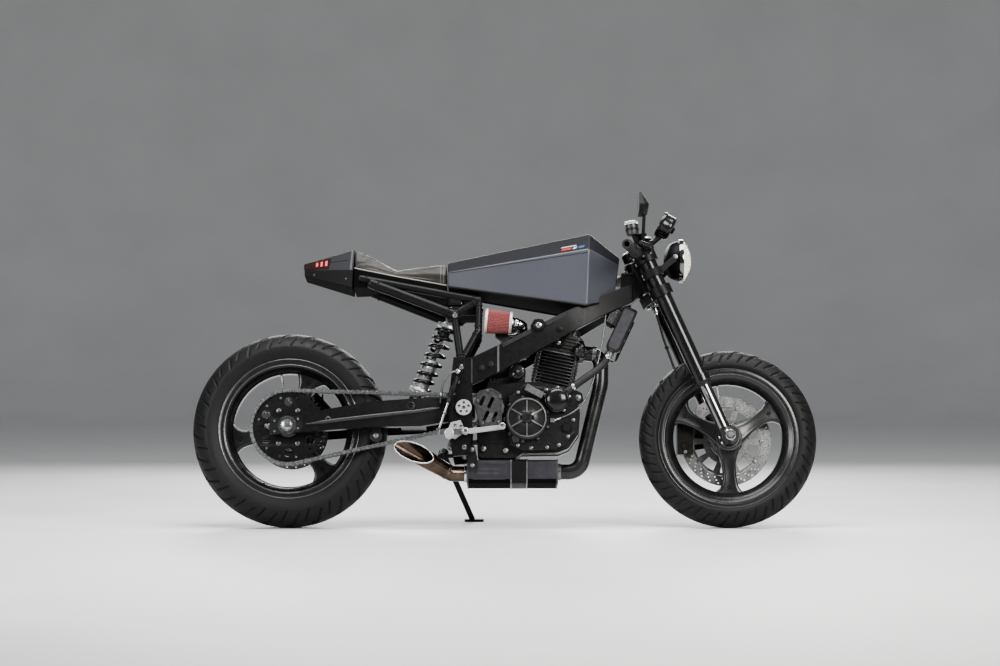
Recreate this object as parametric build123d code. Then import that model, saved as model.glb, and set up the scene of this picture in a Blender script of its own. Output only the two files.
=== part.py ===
from build123d import *
import math
import os

# A custom street motorcycle, parked on its side stand.
# Everything is drawn upright in bike coordinates (millimetres): +X forward, +Y to the
# bike's left, +Z up, the floor at z = 0, the middle plane at y = 0.  At the end every piece
# is leaned over by LEAN about the floor line and shifted by SHIFT, so that both tyres and
# the stand's foot touch the floor and the origin is under the middle of the whole bike.

# ------------------------------------------------------------------ driving dimensions
LEAN = 9.0                       # degrees, towards the left, onto the side stand
SHIFT = (-15.6, -138.2, 0.0)     # puts the origin under the middle of the leaning bike
CL = math.cos(math.radians(LEAN))
TYRE_RING = 238.0                # radius of the circle that the crown arcs are centred on
FRONT_CROWN, FRONT_HALF_W, FRONT_BEAD = 55.0, 54.2, 38.0
REAR_CROWN, REAR_HALF_W, REAR_BEAD = 83.0, 75.8, 57.0
FRONT_X, REAR_X = 752.3, -693.1
FRONT_Z = TYRE_RING + FRONT_CROWN / CL     # axle heights that touch the floor when leaned
REAR_Z = TYRE_RING + REAR_CROWN / CL
RIM_FLANGE_R, RIM_SEAT_R = 231.0, 219.0
AXLE_R, AXLE_CLEAR = 9.9, 0.1
RAKE = 24.0
AXLE_LEAD, STEM_OFFSET = 8.0, 32.0         # leg axis to axle, leg axis to steering axis
LEG_Y, TUBE_R, SLIDER_R = 105.0, 27.0, 20.5
S_FOOT, S_SLIDE, S_LOWER, S_UPPER, S_TOP = 30.0, 197.0, 525.0, 685.0, 702.0
STEM_R, STEM_CLEAR, HEAD_R = 15.0, 0.1, 31.0
CHAIN_Y, CHAIN_W, CHAIN_H = -95.0, 20.0, 14.8
PITCH = 15.875
TEETH_REAR, TEETH_FRONT = 48, 16
REAR_PITCH_R = PITCH / (2 * math.sin(math.pi / TEETH_REAR))
FRONT_PITCH_R = PITCH / (2 * math.sin(math.pi / TEETH_FRONT))
DRIVE = (-32.8, 385.6)                     # countershaft, x and z
PIVOT = (-118.0, 379.0)                    # swingarm pivot, x and z
DISC_F_Y, DISC_R_Y = 63.0, 86.0            # brake discs' outer-left faces
HEADER_R = 25.0

# ------------------------------------------------------------------ small helpers
V = Vector
sr, cr = math.sin(math.radians(RAKE)), math.cos(math.radians(RAKE))
LEG0 = (FRONT_X - AXLE_LEAD * cr, FRONT_Z - AXLE_LEAD * sr)


def leg(s, y=0.0, n=0.0):
    """Point s up the fork from the axle, n ahead of the leg's axis."""
    return V(LEG0[0] - sr * s + cr * n, y, LEG0[1] + cr * s + sr * n)


def fork_plane(s, n=0.0):
    """Plane square to the fork: local x ahead, local y left, local z up the fork."""
    return Plane(origin=leg(s, 0, n), x_dir=(cr, 0, sr), z_dir=(-sr, 0, cr))


def rod(a, b, r, r2=None):
    a, b = V(*a) if isinstance(a, tuple) else a, V(*b) if isinstance(b, tuple) else b
    length = (b - a).length
    shape = Cylinder(r, length) if r2 is None else Cone(r, r2, length)
    return Plane(origin=a, z_dir=b - a).location * (Pos(0, 0, length / 2) * shape)


def pipe(points, r, radii, bore=None):
    """Round tube along straight runs joined by tangent arcs."""
    path = FilletPolyline(*points, radius=radii)
    start = Plane(origin=path @ 0, z_dir=path % 0)
    body = sweep(start * Circle(r), path=path)
    if bore:
        body -= sweep(start * Circle(bore), path=path)
    return body


def slab(points, y0, y1):
    """Side-view outline (x, z) given a thickness from y0 to y1."""
    face = make_face(Polyline(*points, close=True))
    plane = Plane(origin=(0, y1, 0), x_dir=(1, 0, 0), z_dir=(0, -1, 0))
    return extrude(plane * face, amount=y1 - y0)


def disc_y(x, z, r, y0, y1):
    return rod((x, y0, z), (x, y1, z), r)


def spun(profile, x, z):
    """Solid of revolution about the wheel axis, from (radius, y) points."""
    return Pos(x, 0, z) * revolve(make_face(profile), Axis.Y, 360)


def lofted(sections):
    """Straight-sided body through closed outlines of 3-D points."""
    return loft([Face(Wire.make_polygon([V(*p) for p in s], close=True)) for s in sections], ruled=True)


def beam_of(rows):
    """Straight-edged beam whose side view and plan both come from rows of x, z low, z high, y inner, y outer."""
    side_view = [(x, z0) for x, z0, z1, y0, y1 in rows] + [(x, z1) for x, z0, z1, y0, y1 in reversed(rows)]
    plan_view = [(x, y0) for x, z0, z1, y0, y1 in rows] + [(x, y1) for x, z0, z1, y0, y1 in reversed(rows)]
    return slab(side_view, -400, 400) & extrude(make_face(Polyline(*plan_view, close=True)), amount=1200)


def both(shape):
    """The piece and its mirror image across the middle plane."""
    return [shape, mirror(shape, Plane.XZ)]


def group(*shapes):
    solids = []
    for s in shapes:
        solids += list(s.solids())
    return Compound(children=solids)


nodes = {}

# ------------------------------------------------------------------ wheels
# columns: name, axle x, axle z, crown radius, half width, bead half width, rim inner radius
WHEELS = [
    ("front", FRONT_X, FRONT_Z, FRONT_CROWN, FRONT_HALF_W, FRONT_BEAD, 180.0),
    ("rear", REAR_X, REAR_Z, REAR_CROWN, REAR_HALF_W, REAR_BEAD, 188.0),
]
SPOKES = {"front": (30, 150, 270), "rear": (68, 188, 308)}   # degrees above forward, seen from the right
# spoke outline, seen from the side: columns are radius, half width
SPOKE_HALF = [(20, 34), (62, 27), (100, 22), (140, 23), (165, 31), (190, 52)]
HUBS = {   # columns: radius, y, going round the hub's half section
    "front": [(44, -62), (44, -30), (36, -24), (36, 30), (54, 36), (54, 52), (40, 56), (40, 70)],
    "rear": [(50, -60), (50, 40), (58, 44), (58, 78), (36, 80), (36, 100)],
}
for name, x, z, crown, half_w, bead, inner in WHEELS:
    a = math.asin(min(1.0, half_w / crown)) if name == "rear" else math.radians(80)
    edge_r, edge_y = TYRE_RING + crown * math.cos(a), crown * math.sin(a)
    with BuildLine() as tread:
        ThreePointArc((edge_r, -edge_y), (TYRE_RING + crown, 0), (edge_r, edge_y))
        Polyline((edge_r, edge_y), (242, bead + 0.7 * (edge_y - bead)), (233, bead + 1), (219.5, bead),
                 (219.5, -bead), (233, -bead - 1), (242, -bead - 0.7 * (edge_y - bead)), (edge_r, -edge_y))
    nodes[f"{name}_tyre"] = spun(tread.line, x, z)
    f = bead + 6.5
    rim = [(231, -f), (231, -bead - 1.4), (219, -bead - 0.4), (216, -bead + 16), (206, -bead + 26),
           (206, bead - 26), (216, bead - 16), (219, bead + 0.4), (231, bead + 1.4), (231, f), (214, f),
           (208, f - 4), (inner + 4, 20), (inner, 14), (inner, -14), (inner + 4, -20), (208, -f + 4), (214, -f)]
    wheel = spun(Polyline(*rim, close=True), x, z)
    hub = HUBS[name]
    wheel += spun(Polyline((0, hub[0][1]), *hub, (0, hub[-1][1]), close=True), x, z)
    depth = 17 if name == "front" else 20
    for angle in SPOKES[name]:
        side = [(r, w) for r, w in SPOKE_HALF if r < inner] + [(inner + 3, 50)]
        outline = side + [(r, -w) for r, w in reversed(side)]
        one = slab(outline, -depth, depth)
        wheel += Pos(x, 0, z) * Rot(0, -angle, 0) * one
    wheel -= disc_y(x, z, AXLE_R + AXLE_CLEAR, -140, 140)
    nodes[f"{name}_wheel"] = wheel

# brake discs: columns are name, x, z, left face y, outer radius, inner radius, carrier radius
for name, x, z, y1, ro, ri, rc in [("front_disc", FRONT_X, FRONT_Z, DISC_F_Y, 150, 112, 54.5),
                                   ("rear_disc", REAR_X, REAR_Z, DISC_R_Y, 120, 88, 58.5)]:
    disc = disc_y(x, z, ro, y1 - 5, y1) - disc_y(x, z, ri, y1 - 6, y1 + 1)
    arms = disc_y(x, z, rc + 14, y1 - 5, y1)
    for i in range(5):
        arms += Pos(x, y1 - 2.5, z) * Rot(0, 72 * i + 20, 0) * Pos((ri + rc) / 2, 0, 0) * Box(ri - rc + 12, 5, 26)
    disc += arms
    disc -= disc_y(x, z, rc, y1 - 6, y1 + 1)
    holes = []
    for ring, (count, hole_r) in enumerate([(15, 4.2), (15, 4.2), (15, 4.2)]):
        for i in range(count):
            t = math.radians(24 * i + 8 * ring)
            rr = ri + 8 + (ro - ri - 16) * ring / 2
            holes.append(Pos(x + rr * math.cos(t), y1 - 2.5, z + rr * math.sin(t)) * Rot(90, 0, 0) * Cylinder(hole_r, 8))
    nodes[name] = disc - holes

sprocket_r = REAR_PITCH_R - CHAIN_H / 2 - 2.0
sprocket = disc_y(REAR_X, REAR_Z, sprocket_r, CHAIN_Y - 3, CHAIN_Y + 3)
sprocket -= [Pos(REAR_X, CHAIN_Y, REAR_Z) * Rot(0, 60 * i, 0) * Pos(84, 0, 0) * Rot(90, 0, 0) * Cylinder(15, 10) for i in range(6)]
sprocket += disc_y(REAR_X, REAR_Z, 62, CHAIN_Y + 3, -60.2)
sprocket += disc_y(REAR_X, REAR_Z, 34, -104, CHAIN_Y - 3)
nodes["rear_sprocket"] = sprocket - disc_y(REAR_X, REAR_Z, AXLE_R + AXLE_CLEAR, -140, 0)

# ------------------------------------------------------------------ fork, yokes and front axle
nodes["front_axle"] = disc_y(FRONT_X, FRONT_Z, AXLE_R, -131, 131) + disc_y(FRONT_X, FRONT_Z, 15, -137, -130.5) + disc_y(FRONT_X, FRONT_Z, 15, 130.5, 137)
tubes, sliders, feet = [], [], []
for y in (-LEG_Y, LEG_Y):
    tubes.append(rod(leg(S_SLIDE, y), leg(S_TOP, y), TUBE_R) + rod(leg(S_SLIDE, y), leg(S_SLIDE + 26, y), TUBE_R + 2)
                 + rod(leg(S_TOP, y), leg(S_TOP + 9, y), 20))
    sliders.append(rod(leg(S_FOOT, y), leg(S_SLIDE, y), SLIDER_R))
    foot = rod(leg(-22, y), leg(S_FOOT, y), 25) + disc_y(FRONT_X, FRONT_Z, 29, y - 21, y + 21)
    feet.append(foot - disc_y(FRONT_X, FRONT_Z, AXLE_R, -140, 140))
nodes["fork_outer_tubes"] = group(*tubes)
nodes["fork_sliders"] = group(*sliders)
nodes["fork_feet"] = group(*feet)
for name, s, thick, ear in [("lower_yoke", S_LOWER, 34, 37), ("upper_yoke", S_UPPER, 26, 35)]:
    ear_edges = (Pos(0, LEG_Y) * Circle(ear)).edges() + (Pos(0, -LEG_Y) * Circle(ear)).edges()
    if name == "lower_yoke":
        plan = make_hull(ear_edges + (Pos(-STEM_OFFSET, 0) * Circle(34)).edges())
    else:
        # waisted behind the bars, so that the ears clear the tank's nose on full lock
        plan = make_hull(ear_edges) + make_hull((Pos(-STEM_OFFSET, 0) * Circle(28)).edges() + Circle(34).edges())
    plan -= [Pos(0, LEG_Y) * Circle(TUBE_R), Pos(0, -LEG_Y) * Circle(TUBE_R)]
    nodes[name] = extrude(fork_plane(s - thick / 2) * plan, amount=thick)
stem_lo, stem_hi = leg(S_LOWER - 17, 0, -STEM_OFFSET), leg(S_UPPER + 20, 0, -STEM_OFFSET)
nodes["lower_yoke"] += rod(leg(S_LOWER, 0, -STEM_OFFSET), leg(S_UPPER - 13, 0, -STEM_OFFSET), STEM_R)
nodes["lower_yoke"] -= rod(stem_lo, leg(S_LOWER + 28, 0, -STEM_OFFSET), 9.0)
nodes["upper_yoke"] += rod(leg(S_UPPER + 13, 0, -STEM_OFFSET), stem_hi, 17)

# ------------------------------------------------------------------ clip-on bars and controls
S_CLIP = 648.0
BAR_END = V(408, 352, 884)
bars, grips, levers = [], [], []
clip = leg(S_CLIP, LEG_Y)
inner = clip + V(-14, 28, -2)
u = (BAR_END - inner).normalized()
bar = rod(leg(S_CLIP - 17, LEG_Y), leg(S_CLIP + 17, LEG_Y), 37) + rod(inner - u * 12, BAR_END, 11)
bar -= rod(leg(S_CLIP - 40, LEG_Y), leg(S_CLIP + 40, LEG_Y), TUBE_R)
bar -= rod(BAR_END - u * 62, BAR_END + u, 8.0)
grip = rod(BAR_END - u * 124, BAR_END - u * 2, 16) + rod(BAR_END - u * 130, BAR_END - u * 122, 20)
grip -= rod(BAR_END - u * 140, BAR_END + u * 9, 11.1)
perch_at = BAR_END - u * 158
perch = rod(perch_at - u * 11, perch_at + u * 11, 17) + rod(perch_at, perch_at + V(42, 4, 12), 10)
perch -= rod(perch_at - u * 30, perch_at + u * 30, 11.1)
hinge = perch_at + V(42, 4, 12)
blade = pipe([hinge - u * 6 - V(0, 0, 0), hinge + u * 55 + V(9, 0, 2), hinge + u * 142 + V(-2, 0, -4)], 6.5, [60])
lever = perch + blade
nodes["clip_on_bars"] = group(*both(bar))
nodes["grips"] = group(*both(grip))
right_lever = mirror(lever, Plane.XZ)
tank_at = V(perch_at.X, -perch_at.Y, perch_at.Z) + V(26, 10, 24)
master = Pos(tank_at) * Rot(0, -12, 0) * (Box(52, 26, 24) + Pos(-8, 0, 27) * Cylinder(21, 30))
right_lever += master - rod(V(inner.X, -inner.Y, inner.Z), V(BAR_END.X, -BAR_END.Y, BAR_END.Z), 11.1)
nodes["hand_levers"] = group(lever, right_lever)

MIRROR_AT = V(467, -300, 1026)
mirror_shell = lofted([
    [(MIRROR_AT.X + dx, MIRROR_AT.Y + dy * k, MIRROR_AT.Z + dz * k) for dy, dz in
     ((-62, -14), (-50, -30), (50, -34), (66, -8), (30, 40), (-34, 34))]
    for dx, k in ((-16, 1.0), (-6, 1.0), (14, 0.55))])
stalk = rod(V(perch_at.X + 16, -perch_at.Y, perch_at.Z + 14), MIRROR_AT + V(2, 34, -22), 6)
nodes["mirror"] = mirror_shell + stalk - right_lever
nodes["mirror_glass"] = lofted([
    [(MIRROR_AT.X + dx, MIRROR_AT.Y + dy * 0.94, MIRROR_AT.Z + dz * 0.94) for dy, dz in
     ((-62, -14), (-50, -30), (50, -34), (66, -8), (30, 40), (-34, 34))] for dx in (-18.5, -16)])

GAUGE_AT, GAUGE_TILT = V(556, 0, 1008), 28.0
gauge = Cylinder(42, 44) + Pos(0, 0, 20) * Cylinder(45, 10)
nodes["instrument"] = Pos(GAUGE_AT) * Rot(0, -90 + GAUGE_TILT, 0) * gauge
nodes["upper_yoke"] += rod(leg(S_UPPER + 5, 0, 10), GAUGE_AT + V(-6, 0, -20), 9) - nodes["instrument"]

# headlight, turned about its own axis: columns are x, radius
LAMP_X, LAMP_Z = 608.0, 892.0
BUCKET = [(548, 0), (548, 22), (556, 44), (574, 61), (596, 68), (598, 73), (611, 73), (611, 68), (604, 66), (604, 0)]
lamp_axis = Axis((0, 0, LAMP_Z), (1, 0, 0))
bucket_face = Plane(origin=(0, 0, LAMP_Z), x_dir=(1, 0, 0), z_dir=(0, -1, 0)) * make_face(Polyline(*BUCKET, close=True))
nodes["headlight_bucket"] = revolve(bucket_face, lamp_axis, 360)
DOME_X, DOME_R = 638.0, 67.8
dome_ball = ((DOME_X - 611) ** 2 + DOME_R ** 2) / (2 * (DOME_X - 611))
dome_half = math.asin(DOME_R / dome_ball) / 2
with BuildLine() as dome:
    Line((604.2, 0), (604.2, 65.8))
    Line((604.2, 65.8), (611, DOME_R))
    ThreePointArc((611, DOME_R), (DOME_X - dome_ball * (1 - math.cos(dome_half)), dome_ball * math.sin(dome_half)), (DOME_X, 0))
    Line((DOME_X, 0), (604.2, 0))
lens_face = Plane(origin=(0, 0, LAMP_Z), x_dir=(1, 0, 0), z_dir=(0, -1, 0)) * make_face(dome.line)
nodes["headlight_lens"] = revolve(lens_face, lamp_axis, 360)
ears = []
for y in (-LEG_Y, LEG_Y):
    sgn = 1 if y > 0 else -1
    ring = rod(leg(578, y), leg(604, y), 34) - rod(leg(570, y), leg(612, y), TUBE_R)
    arm = lofted([[(x, sgn * (yy + dy), z + dz) for dy, dz in ((-4, -13), (4, -13), (4, 13), (-4, 13))]
                  for x, yy, z in ((leg(591, 0, 24).X, 100, leg(591, 0, 24).Z), (leg(591, 0, 24).X + 34, 88, 872), (586, 78, LAMP_Z))])
    bolt = disc_y(580, LAMP_Z, 9, min(sgn * 64, sgn * 86), max(sgn * 64, sgn * 86))
    ears.append(ring + (arm - rod(leg(570, y), leg(612, y), TUBE_R)) + bolt)
nodes["headlight_bracket"] = group(*[e - nodes["headlight_bucket"] for e in ears])

# front caliper on the left leg: straddles the disc behind the axle
cal = Pos(FRONT_X - 138, DISC_F_Y - 2.5, FRONT_Z + 8) * Box(52, 62, 112)
cal -= Pos(FRONT_X - 138 + 10, DISC_F_Y - 2.5, FRONT_Z + 8) * Box(52, 11, 130)
hanger = slab([(FRONT_X - 145, FRONT_Z + 30), (FRONT_X - 120, FRONT_Z - 30), (FRONT_X - 20, FRONT_Z - 12), (FRONT_X - 4, FRONT_Z + 30), (FRONT_X - 30, FRONT_Z + 66)], 84, 92)
nodes["front_caliper"] = cal + (hanger - nodes["fork_feet"] - nodes["fork_sliders"] - disc_y(FRONT_X, FRONT_Z, 31, 60, 140))
nodes["front_brake_hose"] = pipe([(520, 62, 742), (548, 66, 640), (590, 70, 520), (604, 74, 420), (608, 78, FRONT_Z + 60)], 4.0, [60, 70, 60]) - nodes["front_caliper"]

# ------------------------------------------------------------------ frame
head_lo, head_hi = leg(S_LOWER + 22, 0, -STEM_OFFSET), leg(S_UPPER - 19, 0, -STEM_OFFSET)
head = rod(head_lo, head_hi, HEAD_R)
head += slab([(480, 786), (446, 852), (404, 846), (400, 745), (436, 745)], -30, 30)
head -= rod(leg(S_LOWER, 0, -STEM_OFFSET), leg(S_UPPER, 0, -STEM_OFFSET), STEM_R + STEM_CLEAR)
nodes["steering_head"] = head
# beam sections: columns are x, z low, z high, y inner, y outer
BEAM = [(-92, 456, 546, 112, 148), (0, 499, 590, 112, 148), (222, 624, 702, 112, 148), (330, 686, 757, 78, 112), (440, 744, 806, 30, 58)]
beam = beam_of(BEAM)
nodes["frame_beams"] = group(*both(beam - head))
PLATE = [(-92, 546), (-92, 456), (-90, 420), (-90, 330), (-94, 260), (-100, 226), (-152, 222), (-168, 300), (-166, 420), (-152, 546)]
plate = slab(PLATE, 116, 148) - disc_y(PIVOT[0], PIVOT[1], 12, 100, 160)
nodes["pivot_plates"] = group(*both(plate))
cross = group(disc_y(-126, 512, 17, -116, 116), disc_y(-116, 250, 15, -116, 116))
pivot_bolt = disc_y(PIVOT[0], PIVOT[1], 11.9, -158, 158) + disc_y(PIVOT[0], PIVOT[1], 26, -166, -148.2) + disc_y(PIVOT[0], PIVOT[1], 22, 148.2, 160)
# subframe tubes, one side: columns are from (x, y, z), to (x, y, z), radius
SUB = [((-70, 100, 742), (-460, 88, 818), 13),
       ((-150, 104, 694), (-424, 92, 800), 17),
       ((-128, 128, 540), (-150, 104, 694), 12),
       ((-70, 100, 742), (-150, 104, 694), 14),
       ((-124, 128, 540), (-72, 106, 640), 11),
       ((-72, 106, 640), (-70, 100, 742), 11)]
side = None
for a, b, r in SUB:
    t = rod(a, b, r) + Pos(*b) * Sphere(r) + Pos(*a) * Sphere(r)
    side = t if side is None else side + t
side -= nodes["frame_beams"].solids()[0] + nodes["frame_beams"].solids()[1]
side -= plate
nodes["subframe"] = group(*both(side))

# ------------------------------------------------------------------ swingarm, shock, chain
# right and left arm sections: columns are x, z low, z high, y inner, y outer
ARM = [(-118, 347, 411, 74, 110), (-262, 322, 415, 86, 124), (-420, 317, 400, 112, 148), (-640, 300, 362, 112, 148), (-742, 296, 348, 112, 148)]
SHOCK_LO, SHOCK_HI = V(-280, 0, 418), V(-164, 0, 694)
arm = beam_of(ARM) + disc_y(PIVOT[0], PIVOT[1], 36, 74, 113)
arm -= disc_y(PIVOT[0], PIVOT[1], 12, -140, 140)
arm -= disc_y(REAR_X, REAR_Z, AXLE_R, -160, 160)
arm -= disc_y(-560, 342, 4.0, 123.26, 148.5)
nodes["swingarm"] = group(*both(arm))
# what joins the two arms: the pivot tube, the bridge and the shock's lower ears
pivot_tube = disc_y(PIVOT[0], PIVOT[1], 36, -74, 74) - disc_y(PIVOT[0], PIVOT[1], 12, -140, 140)
bridge = Pos(-286, 0, 362) * Box(84, 200, 62) - arm - mirror(arm, Plane.XZ)
bridge += Pos(-280, 20, 408) * Box(40, 12, 52) + Pos(-280, -20, 408) * Box(40, 12, 52)
bridge -= disc_y(SHOCK_LO.X, SHOCK_LO.Z, 8, -40, 40)
nodes["swingarm_bridge"] = group(bridge, pivot_tube)
nodes["rear_axle"] = disc_y(REAR_X, REAR_Z, AXLE_R, -160, 160) + disc_y(REAR_X, REAR_Z, 17, -164, -148.2) + disc_y(REAR_X, REAR_Z, 17, 148.2, 164)
for y0, y1 in ((-111.8, -104.3), (100.3, 111.8)):
    nodes["rear_axle"] += disc_y(REAR_X, REAR_Z, 16, y0, y1)
nodes["rear_axle"] = group(nodes["rear_axle"], pivot_bolt)
su = (SHOCK_HI - SHOCK_LO).normalized()
shock = rod(SHOCK_LO + su * 22, SHOCK_LO + su * 150, 21) + rod(SHOCK_LO, SHOCK_LO + su * 24, 12) + rod(SHOCK_LO + su * 150, SHOCK_HI - su * 12, 9)
shock += disc_y(SHOCK_LO.X, SHOCK_LO.Z, 16, -13, 13) + disc_y(SHOCK_HI.X, SHOCK_HI.Z, 16, -20, 20)
shock += rod(SHOCK_LO + su * 34, SHOCK_LO + su * 44, 38) + rod(SHOCK_HI - su * 34, SHOCK_HI - su * 22, 36)
shock += disc_y(SHOCK_LO.X, SHOCK_LO.Z, 7.8, -30, 30)
nodes["shock_absorber"] = shock
nodes["shock_spring"] = rod(SHOCK_LO + su * 44.2, SHOCK_HI - su * 34.2, 36) - rod(SHOCK_LO + su * 40, SHOCK_HI - su * 30, 25)
shock_ends = [disc_y(SHOCK_HI.X, SHOCK_HI.Z, 14, -92, -20.2), disc_y(SHOCK_HI.X, SHOCK_HI.Z, 14, 20.2, 92)]
nodes["cross_tubes"] = group(cross, *[s - side - mirror(side, Plane.XZ) for s in shock_ends])

chain_plane = Plane(origin=(0, CHAIN_Y + CHAIN_W / 2, 0), x_dir=(1, 0, 0), z_dir=(0, -1, 0))
loops = []
for grow in (CHAIN_H / 2, -CHAIN_H / 2):
    loops.append(make_hull((Pos(REAR_X, REAR_Z) * Circle(REAR_PITCH_R + grow)).edges() + (Pos(*DRIVE) * Circle(FRONT_PITCH_R + grow)).edges()))
nodes["drive_chain"] = extrude(chain_plane * (loops[0] - loops[1]), amount=CHAIN_W)
front_sprocket = disc_y(DRIVE[0], DRIVE[1], FRONT_PITCH_R - CHAIN_H / 2 - 1, CHAIN_Y - 3, CHAIN_Y + 3) + disc_y(DRIVE[0], DRIVE[1], 16, -104, -60)

# rear caliper over the left arm, on a hanger held by the axle
rcal = Pos(REAR_X + 96, DISC_R_Y - 2.5, REAR_Z + 88) * Rot(0, 47.5, 0) * Box(92, 50, 44)
rcal -= Pos(REAR_X + 96, DISC_R_Y - 2.5, REAR_Z + 88) * Rot(0, 47.5, 0) * Pos(0, 0, -12) * Box(120, 10, 44)
rhang = slab([(REAR_X - 18, REAR_Z + 22), (REAR_X + 18, REAR_Z - 16), (REAR_X + 60, REAR_Z + 30), (REAR_X + 112, REAR_Z + 84), (REAR_X + 78, REAR_Z + 112)], 104.5, 111.5)
nodes["rear_caliper"] = rcal + (rhang - disc_y(REAR_X, REAR_Z, 16.2, 90, 120))

# ------------------------------------------------------------------ engine
CASE = [(-70, 232), (-74, 330), (-68, 440), (30, 470), (110, 474), (238, 446), (262, 380), (256, 300), (224, 254), (190, 240), (72, 238), (52, 222), (-60, 222)]
case = slab(CASE, -82, 82)
RIGHT_CASE = [(34, 262), (30, 420), (78, 462), (228, 440), (250, 380), (246, 306), (212, 262), (180, 246), (76, 242)]
case += slab(RIGHT_CASE, -112, -82) + slab(RIGHT_CASE, 82, 112)
nodes["engine_crankcase"] = case + front_sprocket
TILT = 12.0
CYL = Plane(origin=(166, 0, 446), x_dir=(math.cos(math.radians(TILT)), 0, -math.sin(math.radians(TILT))), z_dir=(math.sin(math.radians(TILT)), 0, math.cos(math.radians(TILT))))
barrel = Pos(0, 0, 74) * Box(120, 116, 116)
for i in range(9):
    barrel += Pos(0, 0, 30 + 11 * i) * Box(148, 148, 4.5)
cylinder = CYL.location * barrel - case
top = Pos(0, 0, 162) * Box(150, 150, 60) + Pos(-4, 0, 206) * Box(126, 128, 28)
head_block = CYL.location * top
nodes["engine_top_end"] = group(cylinder, head_block)
clutch = disc_y(87.7, 346, 70, -150, -112) + disc_y(87.7, 346, 60, -158, -150) + disc_y(87.7, 346, 18, -164, -158)
for i in range(6):
    clutch += Pos(87.7, -160, 346) * Rot(0, 60 * i + 30, 0) * Pos(38, 0, 0) * Box(44, 5, 5)
pump = disc_y(186, 408, 42, -146, -112) + disc_y(186, 408, 34, -154, -146)
left = disc_y(96, 346, 88, 112, 146) + disc_y(96, 346, 60, 146, 154)
SPROCKET_COVER = [(-66, 322), (-86, 400), (-66, 438), (-28, 446), (6, 426), (6, 330), (-20, 312)]
cover = slab(SPROCKET_COVER, -140, -108)
for k in range(4):
    cover -= Pos(-46 + 16 * k, -140, 384 - 6 * k) * Rot(0, 28, 0) * Box(8, 24, 44 - 4 * k)
nodes["engine_covers"] = group(clutch, pump - disc_y(87.7, 346, 70, -170, -100), left, cover)
nodes["carburettor"] = rod((104, 0, 616), (16, 0, 636), 34) + Pos(58, 0, 596) * Box(58, 60, 66) + disc_y(10, 640, 26, -52, 0)
nodes["carburettor"] -= head_block
nodes["carburettor"] -= cylinder
nodes["air_filter"] = rod((-50, -88, 676), (40, -88, 668), 42, 37) + rod((40, -88, 668), (62, -84, 664), 19)
nodes["air_filter"] -= nodes["carburettor"]
# radiator, its top leaning forward; local x ahead, local z up the core
RAD_TILT = 25.0
RAD = Plane(origin=(399, 0, 642), x_dir=(math.cos(math.radians(RAD_TILT)), 0, -math.sin(math.radians(RAD_TILT))), z_dir=(math.sin(math.radians(RAD_TILT)), 0, math.cos(math.radians(RAD_TILT))))
nodes["radiator"] = RAD.location * (Pos(0, 0, -9) * Box(36, 196, 134) + Pos(0, 108, 0) * Box(48, 20, 158) + Pos(0, -108, 0) * Box(48, 20, 158))
for y in (-66, 66):
    hanger = rod((420, y, 680), (394, y, 730), 7)
    for beam in nodes["frame_beams"].solids():
        hanger -= beam
    nodes["radiator"] += max(hanger.solids(), key=lambda b: b.volume)
battery = Pos(-104, 0, 726) * Box(76, 150, 60)
battery -= side
battery -= mirror(side, Plane.XZ)

# ------------------------------------------------------------------ exhaust
nodes["exhaust_header"] = pipe([(236, -42, 578), (334, -42, 568), (332, -44, 466), (262, -48, 180), (190, -48, 180)], HEADER_R, [40, 170, 50])
nodes["exhaust_header"] -= head_block
nodes["exhaust_header"] -= cylinder
nodes["exhaust_header"] = max(nodes["exhaust_header"].solids(), key=lambda b: b.volume)
nodes["silencer"] = fillet((Pos(41, 0, 178) * Box(297, 196, 76)).edges().filter_by(Axis.X), 12) - Pos(41, 0, 178) * Box(289, 180, 60)
# outlet: a short pipe and a cone, cut on a slant; columns are radius at the pipe, radius at the cone's end
TIP_A, TIP_B, TIP_C = V(-108, -62, 172), V(-160, -70, 172), V(-345, -158, 272)
tip_dir = (TIP_C - TIP_B).normalized()
shells = []
for r0, r1, extra in ((25.0, 36.0, 0), (22.5, 33.5, 4)):
    shells.append(rod(TIP_A + V(extra, 0, 0), TIP_B, r0) + Pos(TIP_B) * Sphere(r0) + rod(TIP_B, TIP_C + tip_dir * extra, r0, r1))
tip = shells[0] - shells[1]
slash = Plane(origin=(-275, -124.7, 234.2), z_dir=(0.03, -0.965, 0.26))
tip = split(tip, bisect_by=slash, keep=Keep.BOTTOM)
nodes["exhaust_tip"] = tip - nodes["silencer"]

# hoses and lines held at both ends: columns are radius, route, bend radii
HOSES = [(12.0, [(206, -128, 426), (264, -124, 470), (322, -112, 511), (349, -108, 540), (367, -108, 576)], [300, 150, 100]),
         (3.0, [(164, -110, 340), (196, -124, 348), (250, -124, 372), (286, -118, 418), (308, -111, 480), (328, -102, 560), (343, -94, 640), (350, -90, 712)], [50, 100, 150, 200, 200, 200]),
         (3.5, [(-134, -140, 496), (-140, -170, 499), (-168, -174, 488), (-187, -164, 456), (-192, -140, 426), (-196, -110, 396)], [18, 28, 45, 100])]
hoses = []
for r, route, radii in HOSES:
    line = pipe(route, r, radii)
    for other in (nodes["engine_crankcase"], nodes["engine_covers"], nodes["radiator"], nodes["frame_beams"], nodes["pivot_plates"], nodes["swingarm"]):
        for body in other.solids():
            line -= body
    hoses.append(max(line.solids(), key=lambda b: b.volume))
nodes["engine_hoses"] = group(*hoses)

# ------------------------------------------------------------------ tank, seat, tail
# outline of half a section: columns are x at the crease, x per z, then (half width, z) up the side
TANK = [(-172, 0.0, [(92, 790), (118, 832), (84, 871)]),
        (293, 0.044, [(150, 719), (168, 903), (110, 963)]),
        (393, 0.139, [(64, 748), (72, 865), (54, 892)])]


def section(x, lean, half):
    z0 = half[1][1]
    ring = half + [(-w, z) for w, z in reversed(half)]
    return [(x + lean * (z - z0), w, z) for w, z in ring]


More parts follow.
